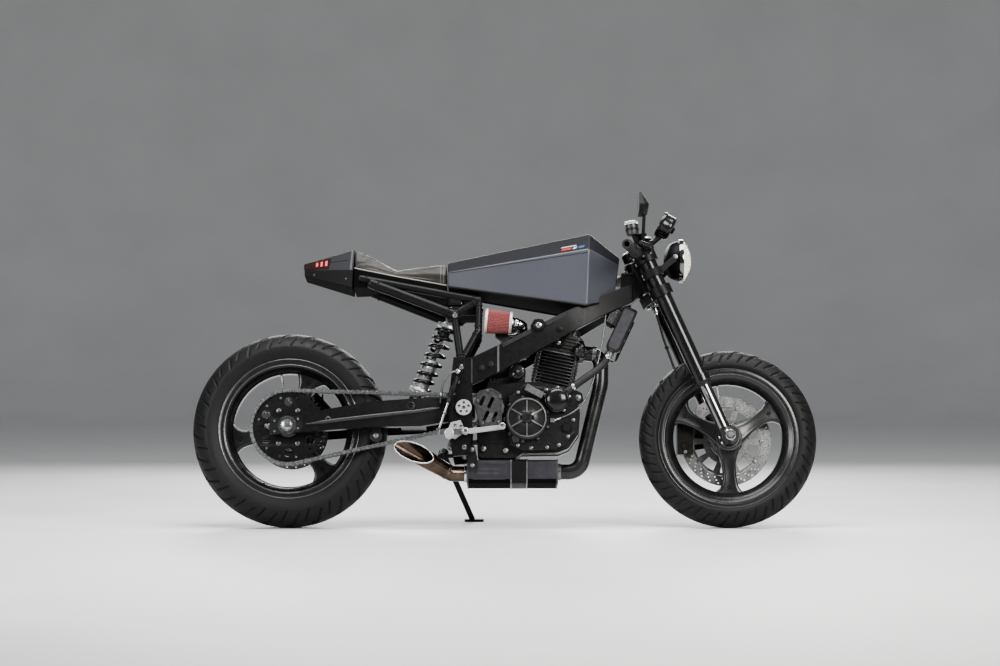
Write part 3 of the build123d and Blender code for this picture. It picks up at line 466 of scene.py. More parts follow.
MAT = {
    "tank": material("tank_paint", (srgb(78, 79, 86), srgb(82, 83, 90)), (0.34, 0.42), 0.30, 220, 0.03, 2600, coat=0.15, coat_rough=0.25, wear=srgb(110, 111, 116), wear_amount=0.25),
    # darker copy of the tank paint for the upper and front facets: painted shade
    "tank_shaded": material("tank_painted_shade", (srgb(25, 25, 29), srgb(29, 29, 33)), (0.40, 0.48), 0.10, 220, 0.03, 2600, spec=0.2),
    "black": material("black_powder", (grey(0.0045), grey(0.0070)), (0.34, 0.44), 0.0, 80, 0.06, 900, wear=grey(0.06), wear_amount=0.5, spec=0.20),
    "gloss_black": material("black_gloss", (grey(0.005), grey(0.008)), (0.18, 0.26), 0.0, 60, 0.01, 600, coat=0.22, coat_rough=0.10, wear=grey(0.05), wear_amount=0.3, spec=0.32),
    "casting": material("engine_casting", (grey(0.006), grey(0.011)), (0.28, 0.40), 0.15, 110, 0.20, 700, wear=grey(0.11), wear_amount=0.6, dust=0.03),
    "casting_grey": material("grey_casting", (grey(0.045), grey(0.075)), (0.34, 0.46), 0.6, 120, 0.2, 800, wear=grey(0.3), wear_amount=0.5, dust=0.05),
    "wheel_black": material("wheel_paint", (grey(0.007), grey(0.010)), (0.26, 0.32), 0.05, 40, 0.0, coat=0.20, coat_rough=0.16),
    # lighter grey for thin lines on the rim and hub: painted highlights
    "rim_highlight": material("painted_lip_highlight", (grey(0.13), grey(0.17)), (0.28, 0.36), 0.9, 60, 0.0),
    # near-black, nearly unreflecting tone for undersides: painted shade
    "under": material("painted_underside_shade", (grey(0.004), grey(0.006)), (0.75, 0.85), 0.0, 60, 0.0, spec=0.04),
    "lamp_black": material("lamp_black", (grey(0.005), grey(0.007)), (0.38, 0.46), 0.0, 60, 0.0, spec=0.10),
    "alloy": material("brushed_alloy", (grey(0.44), grey(0.54)), (0.28, 0.40), 0.62, 160, 0.04, 1800, stretch=(1, 1, 6), wear=grey(0.7), wear_amount=0.4),
    "steel": material("bright_steel", (grey(0.46), grey(0.56)), (0.16, 0.26), 1.0, 140, 0.03, 1500, wear=grey(0.8), wear_amount=0.4),
    "zinc": material("dull_zinc", (grey(0.16), grey(0.23)), (0.28, 0.40), 0.95, 140, 0.04, 1500, wear=grey(0.45), wear_amount=0.4),
    "dark_steel": material("dark_steel", (grey(0.07), grey(0.12)), (0.28, 0.40), 0.9, 150, 0.06, 1200, wear=grey(0.35), wear_amount=0.6),
    # chrome darkened to stand for the reflection of dark surroundings: painted shade
    "chrome_painted_shade": material("chrome_painted_shade", (grey(0.16), grey(0.20)), (0.06, 0.10), 1.0, 40, 0.0),
    "chrome": material("hard_chrome", (grey(0.60), grey(0.68)), (0.05, 0.10), 1.0, 40, 0.0),
    "disc": material("disc_steel", (grey(0.19), grey(0.25)), (0.24, 0.34), 0.95, 40, 0.0),
    "chain": material("chain_steel", (grey(0.16), grey(0.26)), (0.26, 0.38), 0.95, 200, 0.03, 1500, wear=grey(0.45), wear_amount=0.5),
    "tyre": material("tyre_rubber", (grey(0.0055), grey(0.009)), (0.48, 0.62), 0.0, 70, 0.18, 1600, spec=0.26, dust=0.02),
    "rubber": material("soft_rubber", (grey(0.007), grey(0.011)), (0.46, 0.62), 0.0, 120, 0.15, 1500, spec=0.4),
    "plastic": material("black_plastic", (grey(0.008), grey(0.012)), (0.44, 0.56), 0.0, 120, 0.12, 1400, spec=0.14, wear=grey(0.03), wear_amount=0.3),
    "leather": material("seat_leather", (srgb(29, 26, 24), srgb(39, 35, 32)), (0.42, 0.58), 0.0, 55, 0.45, voronoi=520, spec=0.4, sheen=0.12, wear=srgb(62, 56, 51), wear_amount=0.3),
    "thread": material("seam_thread", (srgb(122, 118, 110), srgb(146, 142, 134)), (0.6, 0.75), 0.0, 600, 0.3, 3000),
    "filter": material("filter_gauze", (srgb(104, 52, 52), srgb(140, 84, 82)), (0.45, 0.6), 0.0, 240, 0.4, 2600, spec=0.3),
    "bronze": material("dark_bronze", (srgb(30, 29, 27), srgb(42, 40, 37)), (0.30, 0.42), 0.80, 140, 0.06, 1400, wear=srgb(140, 130, 112), wear_amount=0.5),
    "header": material("exhaust_black", (grey(0.010), grey(0.018)), (0.24, 0.36), 0.35, 26, 0.05, 500, coat=0.25, coat_rough=0.2, wear=grey(0.16), wear_amount=0.4),
    "silencer": material("silencer_coat", (srgb(50, 49, 54), srgb(58, 57, 62)), (0.38, 0.48), 0.25, 40, 0.06, 900, wear=grey(0.3), wear_amount=0.4, spec=0.25),
    "tip": material("heat_tinted_steel", (srgb(62, 52, 45), srgb(100, 88, 79)), (0.20, 0.32), 0.95, 16, 0.05, 600, wear=grey(0.6), wear_amount=0.4),
    # lighter satin grey for the swingarm rib and the beam's top edge strip: painted highlight
    "ridge": material("satin_painted_highlight", (grey(0.030), grey(0.042)), (0.30, 0.38), 0.4, 60, 0.0),
    "rad_tank": material("radiator_tank", (srgb(54, 54, 59), srgb(60, 60, 65)), (0.34, 0.44), 0.35, 60, 0.04, 900),
    "trim": material("edge_trim", (grey(0.17), grey(0.22)), (0.30, 0.40), 0.8, 90, 0.0),
    "red_lens": material("red_lens", (srgb(18, 3, 4), srgb(26, 4, 5)), (0.30, 0.42), 0.0, 90, 0.0, spec=0.10),
    "red_led": glow("red_led", (1.0, 0.012, 0.008, 1), 0.75, (srgb(150, 8, 6), srgb(166, 12, 10))),
    "bulb": glow("bulb_glow", (1.0, 0.88, 0.66, 1), 2.4, (srgb(255, 240, 214), srgb(255, 246, 226))),
    "reflector": material("reflector", (grey(0.80), grey(0.86)), (0.06, 0.12), 1.0, 60, 0.0),
    "stripe_a": material("stripe_red", (srgb(150, 30, 26), srgb(164, 38, 32)), (0.3, 0.4), 0.0, 200, 0.05, 2000),
    "stripe_b": material("stripe_pale", (srgb(150, 156, 164), srgb(164, 170, 178)), (0.3, 0.4), 0.0, 200, 0.05, 2000),
    "stripe_c": material("stripe_blue", (srgb(40, 68, 122), srgb(48, 78, 134)), (0.3, 0.4), 0.0, 200, 0.05, 2000),
    "mirror": material("mirror_glass", (grey(0.55), grey(0.60)), (0.02, 0.03), 1.0, 30, 0.0),
    "dial": material("dial_face", (grey(0.006), grey(0.010)), (0.3, 0.4), 0.0, 200, 0.1, 2000, coat=0.8, coat_rough=0.04),
    "dial_mark": material("dial_marks", (grey(0.70), grey(0.78)), (0.4, 0.5), 0.0, 300, 0.05, 2000),
    "fin": material("radiator_fins", (grey(0.035), grey(0.06)), (0.4, 0.55), 0.6, 300, 0.2, 2200),
}

# clear domed lamp glass
glass = bpy.data.materials.new("lamp_glass")
glass.use_nodes = True
_nt = glass.node_tree
_bs = _nt.nodes["Principled BSDF"]
_bs.inputs["Base Color"].default_value = (1.0, 0.985, 0.95, 1)
_bs.inputs["Transmission Weight"].default_value = 0.88
_bs.inputs["Emission Color"].default_value = (1.0, 0.93, 0.80, 1)
_bs.inputs["Emission Strength"].default_value = 0.20
_bs.inputs["IOR"].default_value = 1.35
_tc = _nt.nodes.new("ShaderNodeTexCoord")
_nz = _nt.nodes.new("ShaderNodeTexNoise")
_nz.inputs["Scale"].default_value = 45
_nt.links.new(_tc.outputs["Object"], _nz.inputs["Vector"])
_mr = _nt.nodes.new("ShaderNodeMapRange")
_mr.inputs["To Min"].default_value = 0.04
_mr.inputs["To Max"].default_value = 0.10
_nt.links.new(_nz.outputs["Fac"], _mr.inputs["Value"])
_nt.links.new(_mr.outputs["Result"], _bs.inputs["Roughness"])
_bp = _nt.nodes.new("ShaderNodeBump")
_bp.inputs["Strength"].default_value = 0.15
_bp.inputs["Distance"].default_value = 0.001
_nt.links.new(_nz.outputs["Fac"], _bp.inputs["Height"])
_nt.links.new(_bp.outputs["Normal"], _bs.inputs["Normal"])
MAT["glass"] = glass


def unworn(mat):
    """The same surface without worn edges, for meshes of a few large faces."""
    m = bpy.data.materials.get(mat.name + "_plain")
    if m is None:
        m = mat.copy()
        m.name = mat.name + "_plain"
        for link in list(m.node_tree.links):
            if link.from_socket.name == "Pointiness":
                link.to_socket.default_value = 0.5
                m.node_tree.links.remove(link)
    return m


def dress(node, mat, bevel=1.2, angle=32, segs=2):
    """Gives a CAD node its material and soft edges."""
    ob = NODES[node]
    ob.data.materials.clear()
    ob.data.materials.append(unworn(mat))
    w = ob.modifiers.new("Weld", "WELD")
    w.merge_threshold = 0.00002
    if bevel:
        md = ob.modifiers.new("Bevel", "BEVEL")
        md.width = bevel * 0.001
        md.segments = segs
        md.limit_method = "ANGLE"
        md.angle_limit = math.radians(angle)
        md.use_clamp_overlap = True
        md.harden_normals = False
        wn = ob.modifiers.new("Normals", "WEIGHTED_NORMAL")
        wn.keep_sharp = False
        wn.weight = 80
    return ob

# ------------------------------------------------------------------ tyres with real tread grooves


def smoothstep(a, b, x):
    t = np.clip((x - a) / (b - a), 0, 1)
    return t * t * (3 - 2 * t)


def tyre(name, cx, cz, crown, half_w, bead, count, node, n=660):
    phim = math.asin(min(1.0, half_w / crown)) if crown > 60 else math.radians(80)
    er, ey = 238 + crown * math.cos(phim), crown * math.sin(phim)
    rows = []                                   # r, y, outward normal (r, y), arc length from the crown, tread part
    side = []
    p0, p3 = np.array([er, ey]), np.array([222.0, bead - 0.6])
    p1 = p0 + np.array([-math.sin(phim), math.cos(phim)]) * 12
    p1 = p0 + np.array([-16.0, 1.2 if crown > 60 else -0.6])
    p2 = np.array([236.0, bead + 0.55 * (ey - bead)])
    for k in range(1, 13):
        t = k / 12
        q = (1 - t) ** 3 * p0 + 3 * (1 - t) ** 2 * t * p1 + 3 * (1 - t) * t * t * p2 + t ** 3 * p3
        side.append(q)
    half = [(238 + crown * math.cos(a), crown * math.sin(a), crown * a) for a in np.linspace(0, phim, 31)]
    pts = [(r, y, s) for r, y, s in half]
    run = half[-1][2]
    prev = np.array(half[-1][:2])
    for q in side:
        run += float(np.linalg.norm(q - prev))
        prev = q
        pts.append((q[0], q[1], run))
    full = [(r, -y, -s) for r, y, s in reversed(pts[1:])] + pts
    pr = np.array(full)
    m = len(pr)
    tan = np.gradient(pr[:, :2], axis=0)
    nr = np.stack([tan[:, 1], -tan[:, 0]], 1)
    nr /= np.linalg.norm(nr, axis=1)[:, None]
    nr *= np.sign(nr[:, 0] * (pr[:, 0] - 215) + nr[:, 1] * pr[:, 1])[:, None]
    th = np.linspace(0, 2 * math.pi, n, endpoint=False)
    s = pr[:, 2][None, :]
    t = th[:, None]
    length = crown * phim
    a = np.abs(s)
    w = a / length
    sgn = np.where(s >= 0, 0.0, 0.5)
    pitch = 2 * math.pi * (238 + crown) / count
    # long swept grooves from near the crown to the shoulder
    u = (t * count / (2 * math.pi) + sgn - 0.62 * w ** 1.25) % 1.0
    d1 = np.abs(u - 0.5) * pitch * 0.80
    g1 = (1 - smoothstep(2.2, 3.8, d1)) * smoothstep(0.07, 0.12, w) * (1 - smoothstep(0.80, 0.88, w))
    # short shoulder grooves between them
    u2 = (t * count / (2 * math.pi) + sgn + 0.5 - 0.50 * w ** 1.25) % 1.0
    d2 = np.abs(u2 - 0.5) * pitch * 0.84
    g2 = (1 - smoothstep(1.8, 3.2, d2)) * smoothstep(0.46, 0.52, w) * (1 - smoothstep(0.95, 1.02, w))
    # fine sipes near the middle
    u3 = (t * count / (2 * math.pi) + sgn + 0.28 - 0.9 * w) % 1.0
    d3 = np.abs(u3 - 0.5) * pitch * 0.74
    g3 = (1 - smoothstep(1.2, 2.4, d3)) * smoothstep(0.16, 0.20, w) * (1 - smoothstep(0.36, 0.42, w))
    depth = 4.6 * np.maximum(g1, np.maximum(0.9 * g2, 0.7 * g3))
    # moulded rings and a fine rib band on the sidewall
    out = (a - length)
    ring = 0.9 * np.exp(-((out - 6) / 1.2) ** 2) + 0.7 * np.exp(-((out - 20) / 1.0) ** 2)
    ribs = 0.35 * (np.sin(t * 240) > 0) * (out > 8.5) * (out < 14)
    depth = depth - ring - ribs
    r = pr[:, 0][None, :] - depth * nr[:, 0][None, :]
    y = pr[:, 1][None, :] - depth * nr[:, 1][None, :]
    x = cx + r * np.cos(t)
    z = cz + r * np.sin(t)
    yy = np.broadcast_to(y, x.shape)
    verts = np.stack([x, yy, z], -1).reshape(-1, 3)
    idx = np.arange(n * m).reshape(n, m)
    nx = np.roll(idx, -1, axis=0)
    q = np.stack([idx[:, :-1], idx[:, 1:], nx[:, 1:], nx[:, :-1]], -1).reshape(-1, 4)
    # closed inner side, hidden behind the rim
    inner = np.stack([idx[:, -1], idx[:, 0], nx[:, 0], nx[:, -1]], -1)
    b = Build()
    b.v = [tuple(p) for p in verts]
    b.f = [tuple(int(i) for i in f) for f in np.concatenate([q, inner])]
    b.m = [0] * len(b.f)
    b.s = [True] * len(b.f)
    body = "front_wheel" if cx > 0 else "rear_wheel"
    return make(name, b, [MAT["tyre"]], body, angle=50, stands_for=(node,), weld=False)


tyre("front_tyre_tread", FX, FZ, 55.0, 54.2, 38.0, 26, "front_tyre")
tyre("rear_tyre_tread", RX, RZ, 83.0, 75.8, 57.0, 24, "rear_tyre", n=720)

# ------------------------------------------------------------------ cast three-spoke wheels


def spoke(b, cx, cz, angle, stations, mat=0, n=28):
    """One swept spoke; stations are (radius, half width, half depth, sweep in degrees)."""
    rows = []
    verts, faces = [], []
    for r, hw, hd, sw in stations:
        t = math.radians(angle + sw)
        er, et = V((math.cos(t), 0, math.sin(t))), V((-math.sin(t), 0, math.cos(t)))
        row = []
        for k in range(n):
            a = 2 * math.pi * k / n
            c, s = math.cos(a), math.sin(a)
            p = 0.42
            uu = math.copysign(abs(c) ** p, c)
            vv = math.copysign(abs(s) ** p, s)
            dish = 1.0 - 0.20 * max(0.0, 1 - (uu / 0.62) ** 2) if abs(uu) < 0.62 else 1.0
            row.append(len(verts))
            verts.append(V((cx, 0, cz)) + er * r + et * (hw * uu) + V((0, hd * vv * dish, 0)))
        rows.append(row)
    for ra, rb in zip(rows[:-1], rows[1:]):
        for k in range(n):
            j = (k + 1) % n
            faces.append((ra[k], ra[j], rb[j], rb[k]))
    faces.append(tuple(reversed(rows[0])))
    faces.append(tuple(rows[-1]))
    b.add(verts, faces, mat)


def rim(b, cx, cz, bead, inner, web, mat=0):
    f = bead + 6.5
    half = [(231, bead + 1.6), (231.6, bead + 3.4), (231, f - 1), (229, f), (216, f), (213, f - 1.2), (210, f - 4), (205, f - 6.5)]
    for k in range(1, 9):
        t = k / 8
        half.append((205 + (inner + 3 - 205) * t, (f - 6.5) + (web + 4 - (f - 6.5)) * (t ** 1.4)))
    half += [(inner + 0.8, web + 1.5), (inner, web - 1.5)]
    outer = [(231, bead + 1.6), (226, bead + 0.9), (220, bead + 0.4), (218, bead - 8), (212, bead - 22), (207, bead - 27)]
    prof = [(r, y) for r, y in reversed(outer)] + half[1:] + [(r, -y) for r, y in reversed(half[1:])] + [(r, -y) for r, y in outer] + [outer[-1]]
    b.lathe(prof, (cx, 0, cz), (0, 1, 0), 144, mat)
    # thin bright lines round the lip and the inner step: painted highlights
    for sy in (-1, 1):
        for rr, yy, w in ((230.2, f - 0.3, 1.3), (211.4, f - 2.4, 1.0)):
            b.tube([V((cx + rr * math.cos(2 * math.pi * k / 144), sy * yy, cz + rr * math.sin(2 * math.pi * k / 144))) for k in range(144)], w, 8, 5, closed=True)
    # valve
    t = math.radians(100)
    p = V((cx + (inner + 1) * math.cos(t), 10, cz + (inner + 1) * math.sin(t)))
    q = V((cx + (inner - 26) * math.cos(t), 16, cz + (inner - 26) * math.sin(t)))
    b.rod(p, q, 4.2, 3.2, 12, 2)
    b.rod(q, q + (q - p).normalized() * 9, 4.0, 3.6, 12, 2)


fw = Build()
rim(fw, FX, FZ, 38.0, 180.0, 14.0)
F_ST = [(22, 40, 27, 0), (40, 36, 26, 0), (58, 30, 22, 0.5), (78, 25, 19, 1.2), (100, 22.5, 17.5, 2.0), (120, 22, 17, 2.4), (138, 23.5, 17, 2.4),
        (152, 27, 17, 2.0), (163, 33, 17, 1.4), (172, 42, 17, 0.7), (180, 56, 17.5, 0), (186, 72, 18, 0)]
for a in (30, 150, 270):
    spoke(fw, FX, FZ, a, F_ST)
    # black disc near each spoke's outer end, standing in for a drilled hole's shade: painted shade
    t = math.radians(a + 1.6)
    for sy in (-1, 1):
        fw.lathe([(0, 0.3), (5.0, 0.3), (5.4, 0.9), (6.6, 0.9), (7.2, -2)], (FX + 160 * math.cos(t), sy * 16.2, FZ + 160 * math.sin(t)), (0, sy, 0), 20, 1)
fw.lathe([(10.0, -62), (20, -62), (22, -61), (30, -60.5), (31, -58), (38, -57), (42, -55.5), (44, -52), (44.5, -44), (43, -34), (40, -27), (39, -20),
          (39, 26), (44, 31), (53, 35), (54, 38), (54, 51), (52.5, 52.5), (41, 54), (40, 57), (40, 68), (38.5, 70), (10.0, 70)], (FX, 0, FZ), (0, 1, 0), 72, 0)
# stepped rings of the hub cap, seal and bearing cover on the right; the two thin bright rings are painted highlights
fw.ring((FX, 0, FZ), (0, -1, 0), 42.6, 39.4, 54.5, 57.8, 72, 5)
fw.ring((FX, 0, FZ), (0, -1, 0), 34.5, 31.0, 60, 64.5, 60, 5)
fw.ring((FX, 0, FZ), (0, -1, 0), 30.4, 27.5, 60, 63.4, 60, 0)
fw.ring((FX, 0, FZ), (0, -1, 0), 26.5, 11.0, 60, 62.8, 60, 4)
for k in range(6):
    t = math.radians(60 * k + 12)
    fw.bolt((FX + 36.8 * math.cos(t), -56.6, FZ + 36.8 * math.sin(t)), (0, -1, 0), 2.4, 2.8, "cap", 3, 18)
make("front_cast_wheel", fw, [MAT["wheel_black"], MAT["plastic"], MAT["steel"], MAT["dark_steel"], MAT["rubber"], MAT["rim_highlight"]], "front_wheel", angle=38, stands_for=("front_wheel",))

rw = Build()
rim(rw, RX, RZ, 57.0, 188.0, 18.0)
R_ST = [(26, 46, 32, 0), (48, 41, 30, 0), (66, 33, 25, 0.4), (86, 27, 21, 1.0), (106, 24, 19.5, 1.7), (126, 23.5, 19, 2.2), (146, 25, 19, 2.3),
        (160, 29, 19, 2.0), (171, 36, 19, 1.4), (180, 46, 19.5, 0.7), (188, 60, 20, 0), (194, 78, 21, 0)]
for a in (68, 188, 308):
    spoke(rw, RX, RZ, a, R_ST)
    # black disc near each spoke's outer end, standing in for a drilled hole's shade: painted shade
    t = math.radians(a + 1.6)
    for sy in (-1, 1):
        rw.lathe([(0, 0.3), (5.0, 0.3), (5.4, 0.9), (6.6, 0.9), (7.2, -2)], (RX + 167 * math.cos(t), sy * 18.4, RZ + 167 * math.sin(t)), (0, sy, 0), 20, 1)
rw.lathe([(10.0, -60), (48, -60), (50, -57), (50.5, -30), (48, -22), (48, 22), (52, 34), (57, 42), (58, 46), (58, 76), (56, 78), (38, 79), (36, 82), (36, 98), (34, 100), (10.0, 100)],
         (RX, 0, RZ), (0, 1, 0), 72, 0)
make("rear_cast_wheel", rw, [MAT["wheel_black"], MAT["plastic"], MAT["steel"], MAT["dark_steel"], MAT["rubber"], MAT["rim_highlight"]], "rear_wheel", angle=38, stands_for=("rear_wheel",))

# ------------------------------------------------------------------ brake discs: floating buttons on the drilled rings
# columns are piece, node, body, axle x and z, left face y, outer, band, flange and bore radii, sets of holes, windows
for name, node, body, cx, cz, y1, ro, ri, rf, rc, sets, wins in [
        ("front_disc_drilled", "front_disc", "front_wheel", FX, FZ, 63.0, 150.0, 117.0, 72.0, 54.5, 30, 10),
        ("rear_disc_drilled", "rear_disc", "rear_wheel", RX, RZ, 86.0, 120.0, 92.0, 72.0, 58.5, 24, 8)]:
    db = Build()

    def round_at(r, deg):
        return cx + r * math.cos(math.radians(deg)), cz + r * math.sin(math.radians(deg))
    # friction band with slanted rows of drillings
    drilled = []
    for k in range(sets):
        for j in range(3):
            r_ = ri + (ro - ri) * (0.24 + 0.26 * j)
            hx, hz = round_at(r_, 360 / sets * k + 3.4 * j)
            drilled.append(circle(hx, hz, 2.7, 12))
    db.prism(circle(cx, cz, ro, 144), y1 - 5, y1, 0, [circle(cx, cz, ri, 120)] + drilled)
    # carrier with arched windows
    open_ = []
    for k in range(wins):
        c_, h_ = 360 / wins * (k + 0.5), 360 / wins * 0.33
        arc_o = [round_at(ri - 10, c_ - h_ + 2 * h_ * i / 8) for i in range(9)]
        arc_i = [round_at(rf + 5, c_ + h_ - 2 * h_ * i / 8) for i in range(9)]
        open_.append(rounded(arc_o + arc_i, 2.0, 3))
    db.prism(circle(cx, cz, ri - 1.2, 120), y1 - 4.4, y1 - 0.6, 1, [circle(cx, cz, rc, 72)] + open_)
    db.prism(circle(cx, cz, rf, 96), y1 - 5, y1, 1, [circle(cx, cz, rc, 72)])
    # floating buttons between carrier and band
    for k in range(wins):
        bx, bz = round_at(ri - 1.0, 360 / wins * k)
        for yb, way in ((y1 - 0.6, 1), (y1 - 4.4, -1)):
            db.lathe([(0, 1.4), (2.6, 1.6), (3.2, 2.8), (6.0, 2.8), (6.8, 2.2), (6.8, -1.4)], (bx, yb, bz), (0, way, 0), 28, 2)
    for k in range(6):
        bx, bz = round_at((rf + rc) / 2, 60 * k)
        db.bolt((bx, y1 - 0.2, bz), (0, 1, 0), 5, 4.5, "cap", 3)
    make(name, db, [MAT["disc"], MAT["dark_steel"], MAT["zinc"], MAT["dark_steel"]], body, angle=40, bevel=0.35, segs=1, stands_for=(node,))

# ------------------------------------------------------------------ toothed sprocket and roller chain
PITCH = 15.875
PR, PF = PITCH / (2 * math.sin(math.pi / 48)), PITCH / (2 * math.sin(math.pi / 16))
DX, DZ = -32.8, 385.6


def toothed(pr, teeth, phase=0.0):
    out = []
    for k in range(teeth):
        a = 2 * math.pi * (k + phase) / teeth
        st = 2 * math.pi / teeth
        for da, dr in ((-0.5, 4.6), (-0.43, 4.4), (-0.30, -1.0), (-0.18, -4.2), (0.0, -5.2), (0.18, -4.2), (0.30, -1.0), (0.43, 4.4)):
            out.append(((pr + dr) * math.cos(a + da * st), (pr + dr) * math.sin(a + da * st)))
    return out


# the chain's pitch line: round the rear sprocket, along the lower run, round the front one, along the upper run
dx, dz = DX - RX, DZ - RZ
dist = math.hypot(dx, dz)
base = math.atan2(dz, dx)
off = math.acos((PR - PF) / dist)
a_top, a_bot = base + off, base - off
arc_r = 2 * math.pi - 2 * off
arc_f = 2 * off
straight = math.sqrt(dist ** 2 - (PR - PF) ** 2)
total = PR * arc_r + PF * arc_f + 2 * straight
links = int(round(total / PITCH / 2)) * 2
step = total / links


def chain_point(s):
    s %= total
    if s < PR * arc_r:
        a = a_top + s / PR
        return V((RX + PR * math.cos(a), 0, RZ + PR * math.sin(a)))
    s -= PR * arc_r
    if s < straight:
        p = V((RX + PR * math.cos(a_bot), 0, RZ + PR * math.sin(a_bot)))
        q = V((DX + PF * math.cos(a_bot), 0, DZ + PF * math.sin(a_bot)))
        return p.lerp(q, s / straight)
    s -= straight
    if s < PF * arc_f:
        a = a_bot + s / PF
        return V((DX + PF * math.cos(a), 0, DZ + PF * math.sin(a)))
    s -= PF * arc_f
    p = V((DX + PF * math.cos(a_top), 0, DZ + PF * math.sin(a_top)))
    q = V((RX + PR * math.cos(a_top), 0, RZ + PR * math.sin(a_top)))
    return p.lerp(q, s / straight)


first = math.degrees(a_top)
ch = Build()
pins = [chain_point(k * step) + V((0, -95, 0)) for k in range(links)]
for k in range(links):
    p, q = pins[k], pins[(k + 1) % links]
    c, eu = (p + q) / 2, (q - p).normalized()
    ev = eu.cross(V((0, 1, 0)))
    hl = (q - p).length / 2
    outline = [(hl + 7.0 * math.cos(t), 7.0 * math.sin(t)) for t in np.linspace(-1.95, 1.95, 9)]
    outline += [(0, 5.2)] + [(-hl - 7.0 * math.cos(t), 7.0 * math.sin(t)) for t in np.linspace(1.95, -1.95, 9)] + [(0, -5.2)]
    wide = k % 2 == 0
    lo_y, hi_y = (6.9, 8.9) if wide else (4.7, 6.7)
    for sy in (-1, 1):
        ch.plate(outline, [], c + V((0, (-lo_y if sy < 0 else hi_y), 0)), eu, ev, hi_y - lo_y, 0)
    ch.lathe([(5.0, -4.6), (5.1, -4.2), (5.1, 4.2), (5.0, 4.6)], p, (0, 1, 0), 12, 1)
    ch.lathe([(0, -10), (2.2, -10), (2.7, -9.5), (2.7, 9.5), (2.2, 10), (0, 10)], p, (0, 1, 0), 10, 1)
make("roller_chain", ch, [MAT["chain"], MAT["steel"]], "chassis", angle=40, stands_for=("drive_chain",))

sp = Build()
phase = (a_top / (2 * math.pi) * 48) % 1.0
holes = [circle(84 * math.cos(math.radians(60 * k + 30)), 84 * math.sin(math.radians(60 * k + 30)), 14.5, 28) for k in range(6)]
holes += [circle(100 * math.cos(math.radians(30 * k + 15)), 100 * math.sin(math.radians(30 * k + 15)), 4.5, 14) for k in range(12)]
holes.append(circle(0, 0, 33, 40))
sp.plate(toothed(PR, 48, phase), holes, (RX, -92, RZ), (1, 0, 0), (0, 0, 1), 6, 0)
# cush-drive carrier behind it, with studs and nuts
sp.lathe([(10.0, -104), (31, -104), (33.5, -102.5), (34, -98.5), (34, -91), (50, -90), (58, -88), (62, -84), (63, -72), (62, -62), (58, -60.4), (10.0, -60.4)], (RX, 0, RZ), (0, 1, 0), 64, 1)
for k in range(6):
    t = math.radians(60 * k)
    p = V((RX + 62 * math.cos(t), -98, RZ + 62 * math.sin(t)))
    sp.bolt(p, (0, -1, 0), 6.2, 7.0, "hex", 2)
    sp.rod(p, p + V((0, -9.5, 0)), 3.4, n=14, mat=2)
    sp.rod(p + V((0, 5.9, 0)), p + V((0, 26, 0)), 12, 14, 20, 1)
make("toothed_sprocket", sp, [MAT["black"], MAT["wheel_black"], MAT["dark_steel"]], "rear_wheel", angle=40, bevel=0.4, segs=1, bevel_angle=50, stands_for=("rear_sprocket",))
fs_ = Build()
phase_f = (a_bot / (2 * math.pi) * 16 - (PR * arc_r + straight) / step) % 1.0
fs_.plate(toothed(PF, 16, phase_f), [circle(0, 0, 12, 24)], (DX, -92, DZ), (1, 0, 0), (0, 0, 1), 6, 0)
make("front_sprocket_teeth", fs_, [MAT["dark_steel"]], "chassis", angle=40)

# ------------------------------------------------------------------ fuel tank: folded sheet with soft creases


def outline_at(x, lean, half):
    """Points up the left side of one section: bottom, crease, top."""
    z0 = half[1][1]
    return [V((x + lean * (z - z0), w, z)) for w, z in half]


def grid_patch(b, p00, p10, p11, p01, nu, nv, mat=0, flip=False):
    """Bilinear sheet between four corners."""
    verts, faces = [], []
    for j in range(nv + 1):
        for i in range(nu + 1):
            s, t = i / nu, j / nv
            verts.append((p00 * (1 - s) + p10 * s) * (1 - t) + (p01 * (1 - s) + p11 * s) * t)
    for j in range(nv):
        for i in range(nu):
            a = j * (nu + 1) + i
            f = (a, a + 1, a + nu + 2, a + nu + 1)
            faces.append(tuple(reversed(f)) if flip else f)
    b.add(verts, faces, mat)


def facet_body(b, rows, nus, mats, caps):
    """Closed faceted body through sections of bottom, crease and top points; mats are lower side, upper side, top, bottom."""
    left = [outline_at(*r) for r in rows]
    right = [[V((p.x, -p.y, p.z)) for p in s] for s in left]
    for k, nu in enumerate(nus):
        la, lb, ra, rb = left[k], left[k + 1], right[k], right[k + 1]
        m = mats[k]
        grid_patch(b, la[0], lb[0], lb[1], la[1], nu, 8, m[0], True)
        grid_patch(b, la[1], lb[1], lb[2], la[2], nu, 4, m[1], True)
        grid_patch(b, ra[0], rb[0], rb[1], ra[1], nu, 8, m[0])
        grid_patch(b, ra[1], rb[1], rb[2], ra[2], nu, 4, m[1])
        grid_patch(b, la[2], lb[2], rb[2], ra[2], nu, 8, m[2], True)
        grid_patch(b, la[0], lb[0], rb[0], ra[0], nu, 8, m[3])
    for k, m, flip in ((0, caps[0], False), (len(rows) - 1, caps[1], True)):
        l, r = left[k], right[k]
        grid_patch(b, l[0], r[0], r[1], l[1], 8, 8, m, flip)
        grid_patch(b, l[1], r[1], r[2], l[2], 8, 4, m, flip)
    return left, right


TANK = [(-172, 0.0, [(92, 790), (118, 832), (84, 871)]),
        (293, 0.044, [(150, 719), (168, 903), (110, 963)]),
        (393, 0.139, [(64, 748), (72, 865), (54, 892)])]
tk = Build()
# lower sides and the rear top in the tank paint; upper sides and the front top in its darker copy, painted shade; the
# bottom in the near-black underside tone, also painted shade
tl, tr = facet_body(tk, TANK, (24, 8), [(0, 1, 0, 2), (0, 1, 1, 2)], (1, 1))
tank_ob = make("tank_shell", tk, [MAT["tank"], MAT["tank_shaded"], MAT["under"]], "chassis", angle=60, bevel=4.5, segs=3, bevel_angle=11, stands_for=("fuel_tank",))
